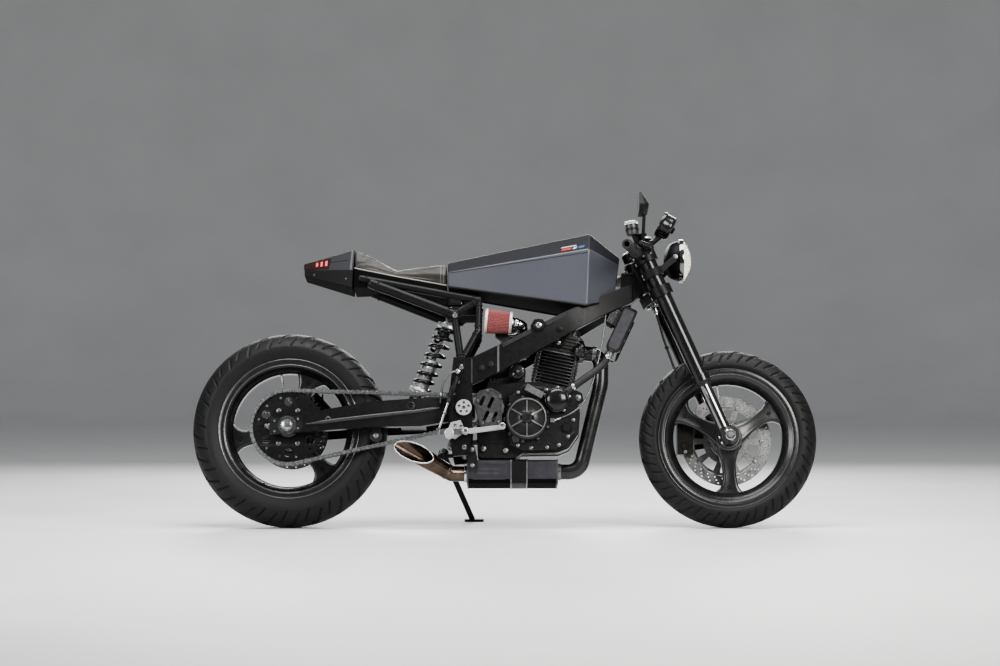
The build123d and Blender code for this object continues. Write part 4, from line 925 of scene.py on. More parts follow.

# folded lower lip, crease line in the darker tank paint as a painted shadow line, and the plain accent stripe
tl_ = Build()
for sgn in (-1, 1):
    f = lambda p: V((p.x, sgn * p.y, p.z))
    low = [f(tl[0][0]) + V((4, 0, -1)), f(tl[1][0]) + V((0, 0, -1)), f(tl[2][0]) + V((-3, 0, -1))]
    for a, c in zip(low[:-1], low[1:]):
        tl_.tube([a.lerp(c, k / 12) for k in range(13)], 3.2, 10, 0)
    ca, cb, ba, bb = f(tl[0][1]), f(tl[1][1]), f(tl[0][0]), f(tl[1][0])
    line = []
    for k in range(25):
        s = 0.012 + 0.976 * k / 24
        line.append((ca.lerp(cb, s)).lerp(ba.lerp(bb, s), 0.045 + 0.015 * s) + V((0, sgn * 0.1, 0)))
    tl_.tube(line, 1.0, 8, 1)
make("tank_lips", tl_, [MAT["black"], MAT["tank_shaded"]], "chassis", angle=50)

dash = Build()
# along the crease, up the upper facet: columns are start, end, low, high, material
DASHES = [(0.800, 0.868, 0.16, 0.30, 0), (0.800, 0.905, 0.36, 0.42, 1), (0.882, 0.905, 0.16, 0.30, 1), (0.918, 0.958, 0.16, 0.30, 2)]
for sgn in (-1, 1):
    f = lambda p: V((p.x, sgn * p.y, p.z))
    ca, cb, ta, tb = f(tl[0][1]), f(tl[1][1]), f(tl[0][2]), f(tl[1][2])
    nrm = (cb - ca).cross(ta - ca).normalized()
    if nrm.y * sgn < 0:
        nrm = -nrm

    def on(s, t):
        return ca.lerp(cb, s).lerp(ta.lerp(tb, s), t)
    for s0, s1, t0, t1, m in DASHES:
        slant = 0.012 * (t1 - t0) / 0.14
        q = [on(s0, t0), on(s1, t0), on(s1 + slant, t1), on(s0 + slant, t1)]
        vs = [p - nrm * 0.6 for p in q] + [p + nrm * 0.9 for p in q]
        fs = [(3, 2, 1, 0), (4, 5, 6, 7), (0, 1, 5, 4), (1, 2, 6, 5), (2, 3, 7, 6), (3, 0, 4, 7)]
        if sgn > 0:
            fs = [tuple(reversed(g)) for g in fs]
        dash.add(vs, fs, m, False)
make("accent_stripe", dash, [MAT["stripe_a"], MAT["stripe_b"], MAT["stripe_c"]], "chassis", bevel=0.3, segs=1)

# flush filler cap on the top facet
cap = Build()
top_n = V((-(963 - 871) / (295.6 + 172), 0, 1)).normalized()
cap_at = V((150, 0, 871 + (150 + 172) * (963 - 871) / (295.6 + 172)))
cap.lathe([(33, -2), (46, -2), (46, 2.0), (44.5, 3.6), (35, 3.6), (33.6, 2.4), (33, -2)], cap_at, top_n, 64, 0)
cap.lathe([(0, 4.6), (12, 4.6), (13, 5.4), (30, 5.4), (32, 4.4), (32.6, 1), (32.6, -2)], cap_at, top_n, 64, 1)
cap.lathe([(0, 7.4), (7, 7.4), (8.4, 6.6), (8.4, 4)], cap_at + V((6, 0, 1)), top_n, 24, 2)
e1, e2, e3 = basis(top_n)
for k in range(6):
    t = math.pi / 3 * k
    cap.bolt(cap_at + e1 * (39.5 * math.cos(t)) + e2 * (39.5 * math.sin(t)) + e3 * 3.4, top_n, 2.6, 2.2, "cap", 2, 18)
make("filler_cap", cap, [MAT["black"], MAT["gloss_black"], MAT["steel"]], "chassis")

# ------------------------------------------------------------------ seat pad: sewn leather, inflated by cloth pressure
SEAT = [(-174, [(92, 790), (108, 826), (84, 869)]),
        (-340, [(98, 819), (104, 832), (96, 846)]),
        (-482, [(98, 848), (96, 880), (76, 921)])]


def seat_row(x):
    for (xa, ha), (xb, hb) in zip(SEAT[:-1], SEAT[1:]):
        if xb <= x <= xa:
            t = (x - xa) / (xb - xa)
            return [(wa + (wb - wa) * t, za + (zb - za) * t) for (wa, za), (wb, zb) in zip(ha, hb)]
    return SEAT[-1][1] if x < SEAT[-1][0] else SEAT[0][1]


def seat_mesh(inset):
    xs = np.linspace(-174 - inset * 0.6, -482 + inset * 0.6, 44)
    ring_n = 40
    verts, faces = [], []
    for x in xs:
        rows = [seat_row(x + d) for d in (-9, 0, 9)]
        h = [tuple(sum(r[i][j] for r in rows) / 3 for j in (0, 1)) for i in range(3)]
        (wb, zb), (wc, zc), (wt, zt) = h
        lean = 0.06 * (zc - 880) if x < -470 else 0.0
        pts = [(wb - inset, zb + inset * 0.4), (wc - inset, zc), (wt - inset, zt - inset), (-(wt - inset), zt - inset), (-(wc - inset), zc), (-(wb - inset), zb + inset * 0.4)]
        # even samples round the outline, corners softened
        loop = []
        for i in range(6):
            a, c = pts[i], pts[(i + 1) % 6]
            m = 14 if i == 2 else (14 if i == 5 else 3)
            for k in range(m):
                t = k / m
                loop.append((a[0] + (c[0] - a[0]) * t, a[1] + (c[1] - a[1]) * t))
        for y, z in loop:
            verts.append((x, y, z))
        ring_n = len(loop)
    n = len(xs)
    for i in range(n - 1):
        for k in range(ring_n):
            j = (k + 1) % ring_n
            faces.append((i * ring_n + k, i * ring_n + j, (i + 1) * ring_n + j, (i + 1) * ring_n + k))
    faces.append(tuple(range(ring_n)))
    faces.append(tuple(reversed(range((n - 1) * ring_n, n * ring_n))))
    return verts, faces


sv, sf = seat_mesh(4.5)
sb = Build()
sb.add(sv, sf, 0)
seat_ob = make("seat_pad", sb, [MAT["leather"]], "chassis", angle=180, stands_for=("seat",))
bm = bmesh.new()
bm.from_mesh(seat_ob.data)
bmesh.ops.recalc_face_normals(bm, faces=bm.faces)
bm.to_mesh(seat_ob.data)
bm.free()
seat_ob.data.remesh_voxel_size = 0.005
md = seat_ob.modifiers.new("Remesh", "REMESH")
md.mode = "VOXEL"
md.voxel_size = 0.005
md.use_smooth_shade = True
dg = bpy.context.evaluated_depsgraph_get()
new = bpy.data.meshes.new_from_object(seat_ob.evaluated_get(dg))
seat_ob.modifiers.clear()
seat_ob.data = new
rest = np.array([v.co[:] for v in new.vertices])
W2B = np.array(B2W.inverted())


def to_bike(co):
    return co @ W2B[:3, :3].T + W2B[:3, 3]


def to_world(co):
    m = np.array(B2W)
    return co @ m[:3, :3].T + m[:3, 3]


rb = to_bike(rest)
# what stays put: the base that rests on the tray and the ends against tank and tail
floor_z = np.interp(-rb[:, 0], [174, 340, 482], [790, 819, 848])
pin = np.clip(1 - (rb[:, 2] - floor_z) / 11, 0, 1)
pin = np.maximum(pin, np.clip(1 - np.abs(rb[:, 0] + 174) / 8, 0, 1))
pin = np.maximum(pin, np.clip(1 - np.abs(rb[:, 0] + 482) / 8, 0, 1))
g = seat_ob.vertex_groups.new(name="held")
for i, w in enumerate(pin):
    if w > 0.02:
        g.add([i], float(w), "REPLACE")
cl = seat_ob.modifiers.new("Cloth", "CLOTH")
st = cl.settings
st.quality = 4
st.mass = 0.25
st.use_pressure = True
st.uniform_pressure_force = 4.0
st.tension_stiffness = st.compression_stiffness = 14
st.shear_stiffness = 6
st.bending_stiffness = 0.8
st.effector_weights.gravity = 0.0
st.vertex_group_mass = "held"
cl.collision_settings.use_collision = False
cl.point_cache.frame_start, cl.point_cache.frame_end = 1, 20
for fr in range(1, 21):
    scene.frame_set(fr)
dg = bpy.context.evaluated_depsgraph_get()
ev = seat_ob.evaluated_get(dg)
got = np.array([v.co[:] for v in ev.to_mesh().vertices])
ev.to_mesh_clear()
move = to_bike(got) - rb
dist_ = np.linalg.norm(move, axis=1)
capd = 6.0
move *= np.minimum(1.0, capd / np.maximum(dist_, 1e-9))[:, None]
seat_ob.modifiers.clear()
seat_ob.vertex_groups.clear()
scene.frame_set(1)
nb = rb + move
# soft padding folds at the valley
wav = np.sin(nb[:, 0] * 0.11 + nb[:, 1] * 0.02) * 0.35 + np.sin(nb[:, 0] * 0.05 - nb[:, 1] * 0.06) * 0.4
topness = np.clip((nb[:, 2] - floor_z - 14) / 12, 0, 1)
nb[:, 2] += wav * topness
# sewn channel between the side panels and the top, and the cross seam near the front
crease_z = np.interp(-nb[:, 0], [174, 340, 482], [869, 846, 921])
crease_w = np.interp(-nb[:, 0], [174, 340, 482], [84, 96, 76])
d_line = np.hypot(np.abs(nb[:, 1]) - crease_w + 5, nb[:, 2] - crease_z + 3)
nb[:, 2] -= 1.6 * np.exp(-(d_line / 4.0) ** 2)
nb[:, 1] -= np.sign(nb[:, 1]) * 1.2 * np.exp(-(d_line / 4.0) ** 2)
for xs_ in (-191.0,):
    gch = np.exp(-((nb[:, 0] - xs_) / 3.0) ** 2) * np.clip((nb[:, 2] - floor_z - 6) / 8, 0, 1)
    nb[:, 2] -= 2.6 * gch * np.clip((nb[:, 2] - 846) / 8, 0, 1)
    nb[:, 1] -= np.sign(nb[:, 1]) * 2.2 * gch * np.clip((np.abs(nb[:, 1]) - 70) / 20, 0, 1)
# the pad stays inside the space its solid holds
lim_w = np.interp(-nb[:, 0], [174, 340, 482], [108, 104, 98]) + 1.5
nb[:, 1] = np.clip(nb[:, 1], -lim_w, lim_w)
nb[:, 0] = np.clip(nb[:, 0], -483.0, -173.2)
nb[:, 2] = np.maximum(nb[:, 2], floor_z + 0.3)
co = to_world(nb)
seat_ob.data.vertices.foreach_set("co", co.astype(np.float32).ravel())
seat_ob.data.polygons.foreach_set("use_smooth", [True] * len(seat_ob.data.polygons))
seat_ob.data.materials.clear()
seat_ob.data.materials.append(MAT["leather"])
seat_ob.data.update()
sub = seat_ob.modifiers.new("Subdivision", "SUBSURF")
sub.levels = sub.render_levels = 1

# piping along the lower edge, and stitches beside the seams
from mathutils.bvhtree import BVHTree
bmt = bmesh.new()
bmt.from_mesh(seat_ob.data)
bmt.transform(B2W.inverted())
seat_tree = BVHTree.FromBMesh(bmt)
bmt.free()


def on_seat(p, direction):
    hit = seat_tree.ray_cast(V(p), V(direction))
    return hit[0], hit[1]


pp = Build()
for sgn in (-1, 1):
    path = []
    for k in range(41):
        x = -175.5 - (482 - 177) * k / 40
        zb = float(np.interp(-x, [174, 340, 482], [790, 819, 848])) + 4.0
        h, nn = on_seat((x, sgn * 160, zb + 3), (0, -sgn, 0))
        y = abs(h.y) if h is not None else float(np.interp(-x, [174, 340, 482], [92, 98, 98]))
        path.append((x, sgn * (min(y, 108) + 0.2), zb))
    pp.tube(path, 2.1, 10, 0)
    # stitches along the upper seam
    for k in range(62):
        x = -180 - (478 - 184) * k / 61
        w = float(np.interp(-x, [174, 340, 482], [84, 96, 76])) - 10.5
        h, nn = on_seat((x, sgn * w, 1000), (0, 0, -1))
        h2, n2 = on_seat((x - 3.2, sgn * w, 1000), (0, 0, -1))
        if h is None or h2 is None:
            continue
        pp.tube([h - nn * 0.4, h.lerp(h2, 0.5) + nn * 0.55, h2 - n2 * 0.4], 0.62, 6, 1)
# stitches either side of the cross seam
for xs_ in (-186.2, -195.8):
    for k in range(-17, 18):
        y = k * 5.0
        h, nn = on_seat((xs_, y, 1000), (0, 0, -1))
        h2, n2 = on_seat((xs_, y + 3.2, 1000), (0, 0, -1))
        if h is None or h2 is None:
            continue
        pp.tube([h - nn * 0.4, h.lerp(h2, 0.5) + nn * 0.55, h2 - n2 * 0.4], 0.62, 6, 1)
    for sgn in (-1, 1):
        for k in range(11):
            z = 802 + k * 5.2
            h, nn = on_seat((xs_, sgn * 170, z), (0, -sgn, 0))
            h2, n2 = on_seat((xs_, sgn * 170, z + 3.2), (0, -sgn, 0))
            if h is None or h2 is None:
                continue
            pp.tube([h - nn * 0.4, h.lerp(h2, 0.5) + nn * 0.55, h2 - n2 * 0.4], 0.62, 6, 1)
make("seat_piping", pp, [MAT["thread"], MAT["thread"]], "chassis", angle=60)

# ------------------------------------------------------------------ tail: folded panels, aluminium edge, lamp
TAIL = [(-485, 0.06, [(92, 786), (106, 843), (72, 917)]),
        (-648, 0.0, [(56, 830), (70, 849), (58, 872)])]
tb_ = Build()
# upper side, top and rear end in the darker tank paint, painted shade; the underside in the near-black underside tone,
# also painted shade
tal, tar = facet_body(tb_, TAIL, (14,), [(2, 1, 1, 3)], (2, 1))
make("tail_shell", tb_, [MAT["tank"], MAT["tank_shaded"], MAT["plastic"], MAT["under"]], "chassis", angle=60, bevel=3.0, segs=3, bevel_angle=14, stands_for=("tail",))
te = Build()
for sgn in (-1, 1):
    f = lambda p: V((p.x, sgn * p.y, p.z))
    a, c = f(tal[0][1]), f(tal[0][2])
    b0, c0 = f(tal[1][1]), f(tal[1][2])
    # bright vertical edge strip at the front of the upper panel
    nrm = (b0 - a).cross(c - a).normalized()
    nrm = nrm if nrm.y * sgn > 0 else -nrm
    q = [a.lerp(b0, 0.030), a.lerp(b0, 0.068), c.lerp(c0, 0.068), c.lerp(c0, 0.030)]
    vs = [p - nrm * 0.5 for p in q] + [p + nrm * 1.3 for p in q]
    fs = [(3, 2, 1, 0), (4, 5, 6, 7), (0, 1, 5, 4), (1, 2, 6, 5), (2, 3, 7, 6), (3, 0, 4, 7)]
    te.add(vs, fs if nrm.y < 0 else [tuple(reversed(g)) for g in fs], 0, False)
    # fine fold line along the panel
    te.tube([a.lerp(c, 0.55).lerp(b0.lerp(c0, 0.55), k / 10) + nrm * 0.1 for k in range(1, 7)], 0.9, 8, 1)
    # fixing screws on the lower tray panel
    for s in (0.14, 0.8):
        p = f(tal[0][0]).lerp(f(tal[0][1]), 0.45).lerp(f(tal[1][0]).lerp(f(tal[1][1]), 0.45), s)
        n2 = (f(tal[1][0]) - f(tal[0][0])).cross(f(tal[0][1]) - f(tal[0][0])).normalized()
        n2 = n2 if n2.y * sgn > 0 else -n2
        te.bolt(p - n2 * 0.3, n2, 4.2, 2.6, "dome", 2, 18)
make("tail_trim", te, [MAT["rad_tank"], MAT["tank_shaded"], MAT["dark_steel"]], "chassis", bevel=0.4, segs=1)

# tail lamp: dark red lens wrapped round the end, with plain lit bars behind it
lm = Build()
for sgn in (-1, 1):
    f = lambda p: V((p.x, sgn * p.y, p.z))

    def side_at(s, t):
        a = f(tal[0][1]).lerp(f(tal[1][1]), s)
        c = f(tal[0][2]).lerp(f(tal[1][2]), s)
        return a.lerp(c, t)
    nrm = (side_at(1, 0) - side_at(0, 0)).cross(side_at(0, 1) - side_at(0, 0)).normalized()
    nrm = nrm if nrm.y * sgn > 0 else -nrm
    s0, s1 = 0.47, 0.995
    corners = [(s0 + 0.03, 0.12), (s1, 0.06), (s1, 0.94), (s0, 0.84)]
    q = [side_at(s, t) for s, t in corners]
    vs = [p - nrm * 0.5 for p in q] + [p + nrm * 1.6 for p in q]
    fs = [(3, 2, 1, 0), (4, 5, 6, 7), (0, 1, 5, 4), (1, 2, 6, 5), (2, 3, 7, 6), (3, 0, 4, 7)]
    lm.add(vs, fs if nrm.y < 0 else [tuple(reversed(g)) for g in fs], 0, False)
    # three upright bars of light
    for k in range(3):
        sa = 0.535 + 0.094 * k
        q = [side_at(sa, 0.30), side_at(sa + 0.046, 0.30), side_at(sa + 0.046, 0.72), side_at(sa, 0.72)]
        vs = [p + nrm * 1.2 for p in q] + [p + nrm * 2.4 for p in q]
        lm.add(vs, fs if nrm.y < 0 else [tuple(reversed(g)) for g in fs], 1, False)
# the rear face: one lens and a row of bars
xr = -648.0
for y0, y1, z0, z1, d, m in [(-62, 62, 852, 869, 1.6, 0)] + [(-54 + 18.5 * k, -54 + 18.5 * k + 13, 856.5, 864.5, 2.4, 1) for k in range(6)]:
    lm.box((xr - d / 2 + 0.3, (y0 + y1) / 2, (z0 + z1) / 2), (d + 0.6, y1 - y0, z1 - z0), None, m)
make("tail_lamp_bars", lm, [MAT["red_lens"], MAT["red_led"]], "chassis", bevel=0.5, segs=2, stands_for=("tail_lamp",))
# seat tray in the near-black underside tone: painted shade
dress("seat_tray", MAT["under"], 2.5)

# ------------------------------------------------------------------ headlight: bucket, bright ring, reflector, bulb, glass
HLZ = 892.0
AX = (1, 0, 0)
hl = Build()
hl.lathe([(0, 548), (16, 548.3), (22, 549.5), (33, 552.5), (44, 557), (54, 564.5), (61, 574), (65.5, 585), (67.6, 595), (67.8, 600)], (0, 0, HLZ), AX, 72, 0)
# bright ring, and the cup with its legs below, in the darkened chrome: painted shade in the reflection
hl.lathe([(67.6, 595.5), (70, 595.3), (72.4, 596.6), (73, 599.5), (73, 608), (72.4, 610.4), (70.5, 611.2), (68.4, 610.6), (67.4, 608), (66.6, 603)], (0, 0, HLZ), AX, 72, 1)
# bowl and bulb inside
hl.lathe([(66.6, 603), (60, 600.5), (54, 595.4), (48, 590), (41, 585), (34, 580), (27, 576.3), (20, 573), (10, 570)], (0, 0, HLZ), AX, 144, 2, wave=lambda r, h, t: r + (0.9 * math.sin(18 * t) if 15 < r < 58 else 0))
hl.lathe([(10, 570), (9.5, 578), (8, 590), (5.5, 595), (0, 597)], (0, 0, HLZ), AX, 28, 3)
# lit ring round the bowl, and a cup on three legs in front of the bulb
hl.lathe([(65.8, 602.0), (65.2, 605.4), (62.6, 607.4), (58.0, 607.4), (55.6, 605.4), (55.0, 594.0)], (0, 0, HLZ), AX, 72, 4)
hl.lathe([(0, 607.5), (8, 606.8), (12.4, 604.4), (13.8, 600.4), (13.8, 594), (12.6, 594), (12.6, 600)], (0, 0, HLZ), AX, 36, 1)
for k in range(3):
    t = math.radians(90 + 120 * k)
    hl.rod((598, 13 * math.cos(t), HLZ + 13 * math.sin(t)), (592, 52 * math.cos(t), HLZ + 52 * math.sin(t)), 1.7, n=12, mat=1)
for sgn in (-1, 1):
    hl.rod((580, sgn * 62, HLZ), (580, sgn * 65.5, HLZ), 13, n=28, mat=0)
hl.lathe([(0, 546.8), (8, 546.8), (9.5, 547.6), (9.5, 551)], (0, 0, HLZ), AX, 24, 5)
MAT["lamp_core"] = glow("lamp_core", (1.0, 0.92, 0.76, 1), 0.85, (srgb(250, 240, 220), srgb(255, 248, 232)))
make("headlight_shell", hl, [MAT["lamp_black"], MAT["chrome_painted_shade"], MAT["reflector"], MAT["bulb"], MAT["lamp_core"], MAT["rubber"]], "steering", angle=45, stands_for=("headlight_bucket",))
gl = Build()
ball = ((638 - 611) ** 2 + 67.4 ** 2) / (2 * (638 - 611))
prof = [(67.2, 609.5), (67.4, 611)]
for k in range(1, 15):
    r = 67.4 * (1 - k / 14)
    prof.append((r, 638 - (ball - math.sqrt(ball * ball - r * r))))
inner_p = [(max(r - 2.2, 0), x - 2.4) for r, x in reversed(prof)]
gl.lathe(prof, (0, 0, HLZ), AX, 96, 0, wave=lambda r, h, t: r)
gl.lathe([(r, x) for r, x in inner_p], (0, 0, HLZ), AX, 96, 0, wave=lambda r, h, t: r + 0.6 * math.sin(24 * t) * (1 if r > 8 else 0))
make("headlight_glass", gl, [MAT["glass"]], "steering", angle=50, stands_for=("headlight_lens",))
dress("headlight_bracket", MAT["plastic"], 1.2)
hb = Build()
for sgn in (-1, 1):
    hb.bolt((580, sgn * 86, HLZ), (0, sgn, 0), 6.0, 6.0, "hex", 0)
    for s in (585, 597):
        p = leg(s, sgn * 105, -33)
        hb.bolt(p, -AHEAD, 4.2, 4.5, "cap", 0, 18)
make("headlight_bolts", hb, [MAT["zinc"]], "steering")

# ------------------------------------------------------------------ round instrument
GA = V((556, 0, 1008))
gt = math.radians(-90 + 28)
gax = V((math.sin(gt), 0, math.cos(gt)))
gi = Build()
gi.lathe([(0, -22), (30, -22), (38, -20), (41.5, -16), (42, -10), (42, 12), (43, 14.5), (45, 16), (45, 23.5), (44, 24.8), (40.5, 25), (39, 23.6), (39, 20.5)], GA, gax, 64, 0)
gi.lathe([(0, 20.2), (39, 20.2), (39.2, 20.6)], GA, gax, 64, 1)
ge1, ge2, ge3 = basis(gax)
for k in range(41):
    t = math.radians(-130 + 260 * k / 40)
    long = k % 5 == 0
    r0, r1 = (29.5 if long else 32.5), 36.0
    d = ge1 * math.cos(t) + ge2 * math.sin(t)
    w = 0.85 if long else 0.45
    side = ge1 * (-math.sin(t)) + ge2 * math.cos(t)
    q = [GA + d * r0 + side * w, GA + d * r1 + side * w, GA + d * r1 - side * w, GA + d * r0 - side * w]
    vs = [p + ge3 * 20.2 for p in q] + [p + ge3 * 20.7 for p in q]
    gi.add(vs, [(3, 2, 1, 0), (4, 5, 6, 7), (0, 1, 5, 4), (1, 2, 6, 5), (2, 3, 7, 6), (3, 0, 4, 7)], 2, False)
t = math.radians(-118)
d, side = ge1 * math.cos(t) + ge2 * math.sin(t), ge1 * (-math.sin(t)) + ge2 * math.cos(t)
q = [GA - d * 7 + side * 1.6, GA + d * 31 + side * 0.5, GA + d * 31 - side * 0.5, GA - d * 7 - side * 1.6]
gi.add([p + ge3 * 21.2 for p in q] + [p + ge3 * 22.0 for p in q], [(3, 2, 1, 0), (4, 5, 6, 7), (0, 1, 5, 4), (1, 2, 6, 5), (2, 3, 7, 6), (3, 0, 4, 7)], 3, False)
gi.lathe([(0, 23), (3.6, 22.8), (4.4, 21.6), (4.4, 20.2)], GA, gax, 24, 4)
# small display window, blank
dc = GA - ge1 * 14
q = [dc + ge2 * 12 + ge1 * 5, dc - ge2 * 12 + ge1 * 5, dc - ge2 * 12 - ge1 * 5, dc + ge2 * 12 - ge1 * 5]
gi.add([p + ge3 * 20.2 for p in q] + [p + ge3 * 20.8 for p in q], [(0, 1, 2, 3), (7, 6, 5, 4), (4, 5, 1, 0), (5, 6, 2, 1), (6, 7, 3, 2), (7, 4, 0, 3)], 5, False)
gi.lathe([(0, -21.5), (11, -21.5), (12, -22.5), (12, -28), (9, -30), (0, -30)], GA, gax, 24, 4)
make("instrument_dial", gi, [MAT["gloss_black"], MAT["dial"], MAT["dial_mark"], MAT["stripe_a"], MAT["plastic"], MAT["casting_grey"]], "steering", angle=45, stands_for=("instrument",))

# ------------------------------------------------------------------ engine


def nurbs_line(points):
    """Points read from a smooth NURBS line whose control points are the route's points."""
    cu = bpy.data.curves.new("route", "CURVE")
    cu.dimensions = "3D"
    sp_ = cu.splines.new("NURBS")
    sp_.points.add(len(points) - 1)
    for q, p in zip(sp_.points, points):
        q.co = (p[0] * 0.001, p[1] * 0.001, p[2] * 0.001, 1)
    sp_.order_u = 3
    sp_.use_endpoint_u = True
    cu.resolution_u = 10
    ob = bpy.data.objects.new("route", cu)
    scene.collection.objects.link(ob)
    dg_ = bpy.context.evaluated_depsgraph_get()
    me = bpy.data.meshes.new_from_object(ob.evaluated_get(dg_))
    pts = [V(v.co) * 1000 for v in me.vertices]
    bpy.data.objects.remove(ob)
    bpy.data.curves.remove(cu)
    bpy.data.meshes.remove(me)
    return pts


TI = math.radians(12.0)
EX, EZ = V((math.cos(TI), 0, -math.sin(TI))), V((math.sin(TI), 0, math.cos(TI)))
CO = V((166, 0, 446))


def cyl(x, y, z):
    return CO + EX * x + V((0, y, 0)) + EZ * z


def slab_at(b, outline, z0, z1, mat=0, holes=()):
    """Outline (x, y) in the cylinder's frame, from height z0 to z1."""
    b.plate(outline, list(holes), cyl(0, 0, z0), EX, (0, 1, 0), z1 - z0, mat)


def square(w, d, r, cx=0.0, cy=0.0, n=5):
    return rounded([(cx - w / 2, cy - d / 2), (cx + w / 2, cy - d / 2), (cx + w / 2, cy + d / 2), (cx - w / 2, cy + d / 2)], r, n)


# barrel with cooling fins, rounded at the corners, with a stud at each corner
br = Build()
slab_at(br, square(118, 114, 22), 14, 132, 0)
for i in range(9):
    z = 30 + 11 * i
    w = 148 - 1.2 * abs(i - 4)
    slab_at(br, square(w, w, 30), z - 1.7, z + 1.7, 0)
for sx in (-1, 1):
    for sy in (-1, 1):
        br.rod(cyl(sx * 60, sy * 58, 12), cyl(sx * 60, sy * 58, 134), 7.5, n=20, mat=0)
        br.bolt(cyl(sx * 60, sy * 58, 16), -EZ, 6, 6, "hex", 1)
slab_at(br, square(132, 130, 18), 12, 22, 0)
slab_at(br, square(140, 138, 18), 128, 133, 1)
# cylinder head: finned block, cover with bolts, ports
slab_at(br, square(136, 138, 16), 132, 192, 0)
for i in range(5):
    slab_at(br, square(150, 150, 20), 136.5 + 11.5 * i, 140 + 11.5 * i, 0)
slab_at(br, square(132, 134, 20, -4), 190, 196, 0)
slab_at(br, square(124, 126, 26, -4), 194, 214, 0)
slab_at(br, square(96, 100, 26, -4), 212, 219.5, 0)
for k in range(3):
    slab_at(br, square(8, 80, 3, -30 + 26 * k), 219, 221, 0)
for sx in (-1, 0, 1):
    for sy in (-1, 1):
        p = cyl(-4 + sx * 48, sy * 53, 213)
        br.rod(p - EZ * 2, p + EZ * 3, 9, n=24, mat=0)
        br.bolt(p + EZ * 3, EZ, 5, 4.5, "hex", 1)
for sy in (-1, 1):
    for sx in (-34, 26):
        p = cyl(sx, sy * 62, 204)
        br.rod(p, p + V((0, sy * 2.4, 0)), 11, n=30, mat=0)
        br.bolt(p + V((0, sy * 2.4, 0)), (0, sy, 0), 4, 3.0, "cap", 1, 18)
    # plug with its plug-top coil in the side of the head
    p, d = cyl(-6, sy * 69, 158), V((0.05, sy * 0.92, 0.38)).normalized()
    br.rod(p, p + d * 9, 9, n=24, mat=1)
    br.lathe([(0, 6), (8.6, 6), (9, 9), (8.2, 13), (8.8, 16), (8, 21), (6, 24), (0, 24)], p, d, 24, 2)
# exhaust port: flange, studs and nuts
pe, de = V((271, -42, 574.6)), V((0.995, 0, -0.1)).normalized()
br.lathe([(0, -8), (35, -8), (35, 4), (33, 6.5), (27, 7.5), (0, 7.5)], pe, de, 40, 3)
for sy in (-1, 1):
    br.rod(pe + V((0, sy * 38, 0)) - de * 8, pe + V((0, sy * 38, 0)) + de * 16, 4, n=16, mat=1)
    br.rod(pe + V((0, sy * 30, 0)) - de * 1, pe + V((0, sy * 30, 0)) + de * 6, 13, n=24, mat=3)
    br.bolt(pe + V((0, sy * 38, 0)) + de * 5, de, 6, 7, "hex", 1)
make("cylinder_and_head", br, [MAT["casting"], MAT["zinc"], MAT["rubber"], MAT["dark_steel"]], "chassis", angle=40, bevel=0.7, segs=1, bevel_angle=50, stands_for=("engine_top_end",))

# crankcase stays as drawn, with softened edges; ribs, bosses and bolts on it
dress("engine_crankcase", MAT["casting"], 5.0, 28, 3)
CASE_R = [(34, 262), (30, 420), (78, 462), (228, 440), (250, 380), (246, 306), (212, 262), (180, 246), (76, 242)]
CASE_M = [(-70, 232), (-74, 330), (-68, 440), (30, 470), (110, 474), (238, 446), (262, 380), (256, 300), (224, 254), (190, 240), (72, 238), (52, 222), (-60, 222)]


def inset_walk(poly, inset, step):
    """Points along an outline, moved inwards."""
    c = V((sum(p[0] for p in poly) / len(poly), sum(p[1] for p in poly) / len(poly)))
    out = []
    for (x0, z0), (x1, z1) in zip(poly, poly[1:] + poly[:1]):
        n = max(1, round(math.hypot(x1 - x0, z1 - z0) / step))
        d = V((x1 - x0, z1 - z0)).normalized()
        nv = V((-d.y, d.x))
        for k in range(n):
            p = V((x0 + (x1 - x0) * (k + 0.5) / n, z0 + (z1 - z0) * (k + 0.5) / n))
            if (c - p).dot(nv) < 0:
                nv = -nv
            out.append(p + nv * inset)
    return out


ck = Build()
for sgn in (-1, 1):
    for p in inset_walk(CASE_R, 8.5, 52):
        if sgn < 0 and (math.hypot(p.x - 87.7, p.y - 346) < 76 or math.hypot(p.x - 186, p.y - 408) < 46):
            continue
        if sgn > 0 and math.hypot(p.x - 96, p.y - 346) < 92:
            continue
        ck.rod((p.x, sgn * 104, p.y), (p.x, sgn * 115.5, p.y), 8.2, 7.0, n=24, mat=0, edge=1.5)
        ck.bolt((p.x, sgn * 115.2, p.y), (0, sgn, 0), 4.4, 4.0, "hex", 1)
    # raised edge band round the side case, and ribs behind it on the main case
    rim_o = rounded(CASE_R, 12, 4)
    cx, cz = 140, 348
    rim_i = [(cx + (x - cx) * 0.93, cz + (z - cz) * 0.93) for x, z in rim_o]
    ck.prism(rim_o, sgn * 110, sgn * 113.6, 0, [rim_i])
    for k in range(5):
        z = 268 + 36 * k
        ck.prism(rounded([(-66, z), (24, z + 6), (24, z + 12), (-66, z + 7)], 2, 2), sgn * 80, sgn * 86.5, 0)
    for x, z in ((-54, 424), (-54, 252), (18, 246)):
        ck.rod((x, sgn * 78, z), (x, sgn * 90, z), 13, 11, n=28, mat=0, edge=2)
        ck.bolt((x, sgn * 90, z), (0, sgn, 0), 6.5, 6, "hex", 1)
# joint flange between the case halves
mid = rounded(CASE_M, 10, 3)
gx, gz = 96, 346
ck.prism([(gx + (x - gx) * 1.018, gz + (z - gz) * 1.018) for x, z in mid], -4, 4, 0)
# webs under the case and down its front
for y in (-60, -36, -12, 12, 36, 60):
    ck.prism([(70, 240), (186, 241), (221, 256), (252, 300), (257, 340), (246, 340), (240, 300), (214, 262), (180, 250), (70, 250)], y - 2.2, y + 2.2, 0)
    ck.prism([(-66, 230), (48, 230), (52, 219.5), (-58, 219.5)], y - 2.2, y + 2.2, 0)
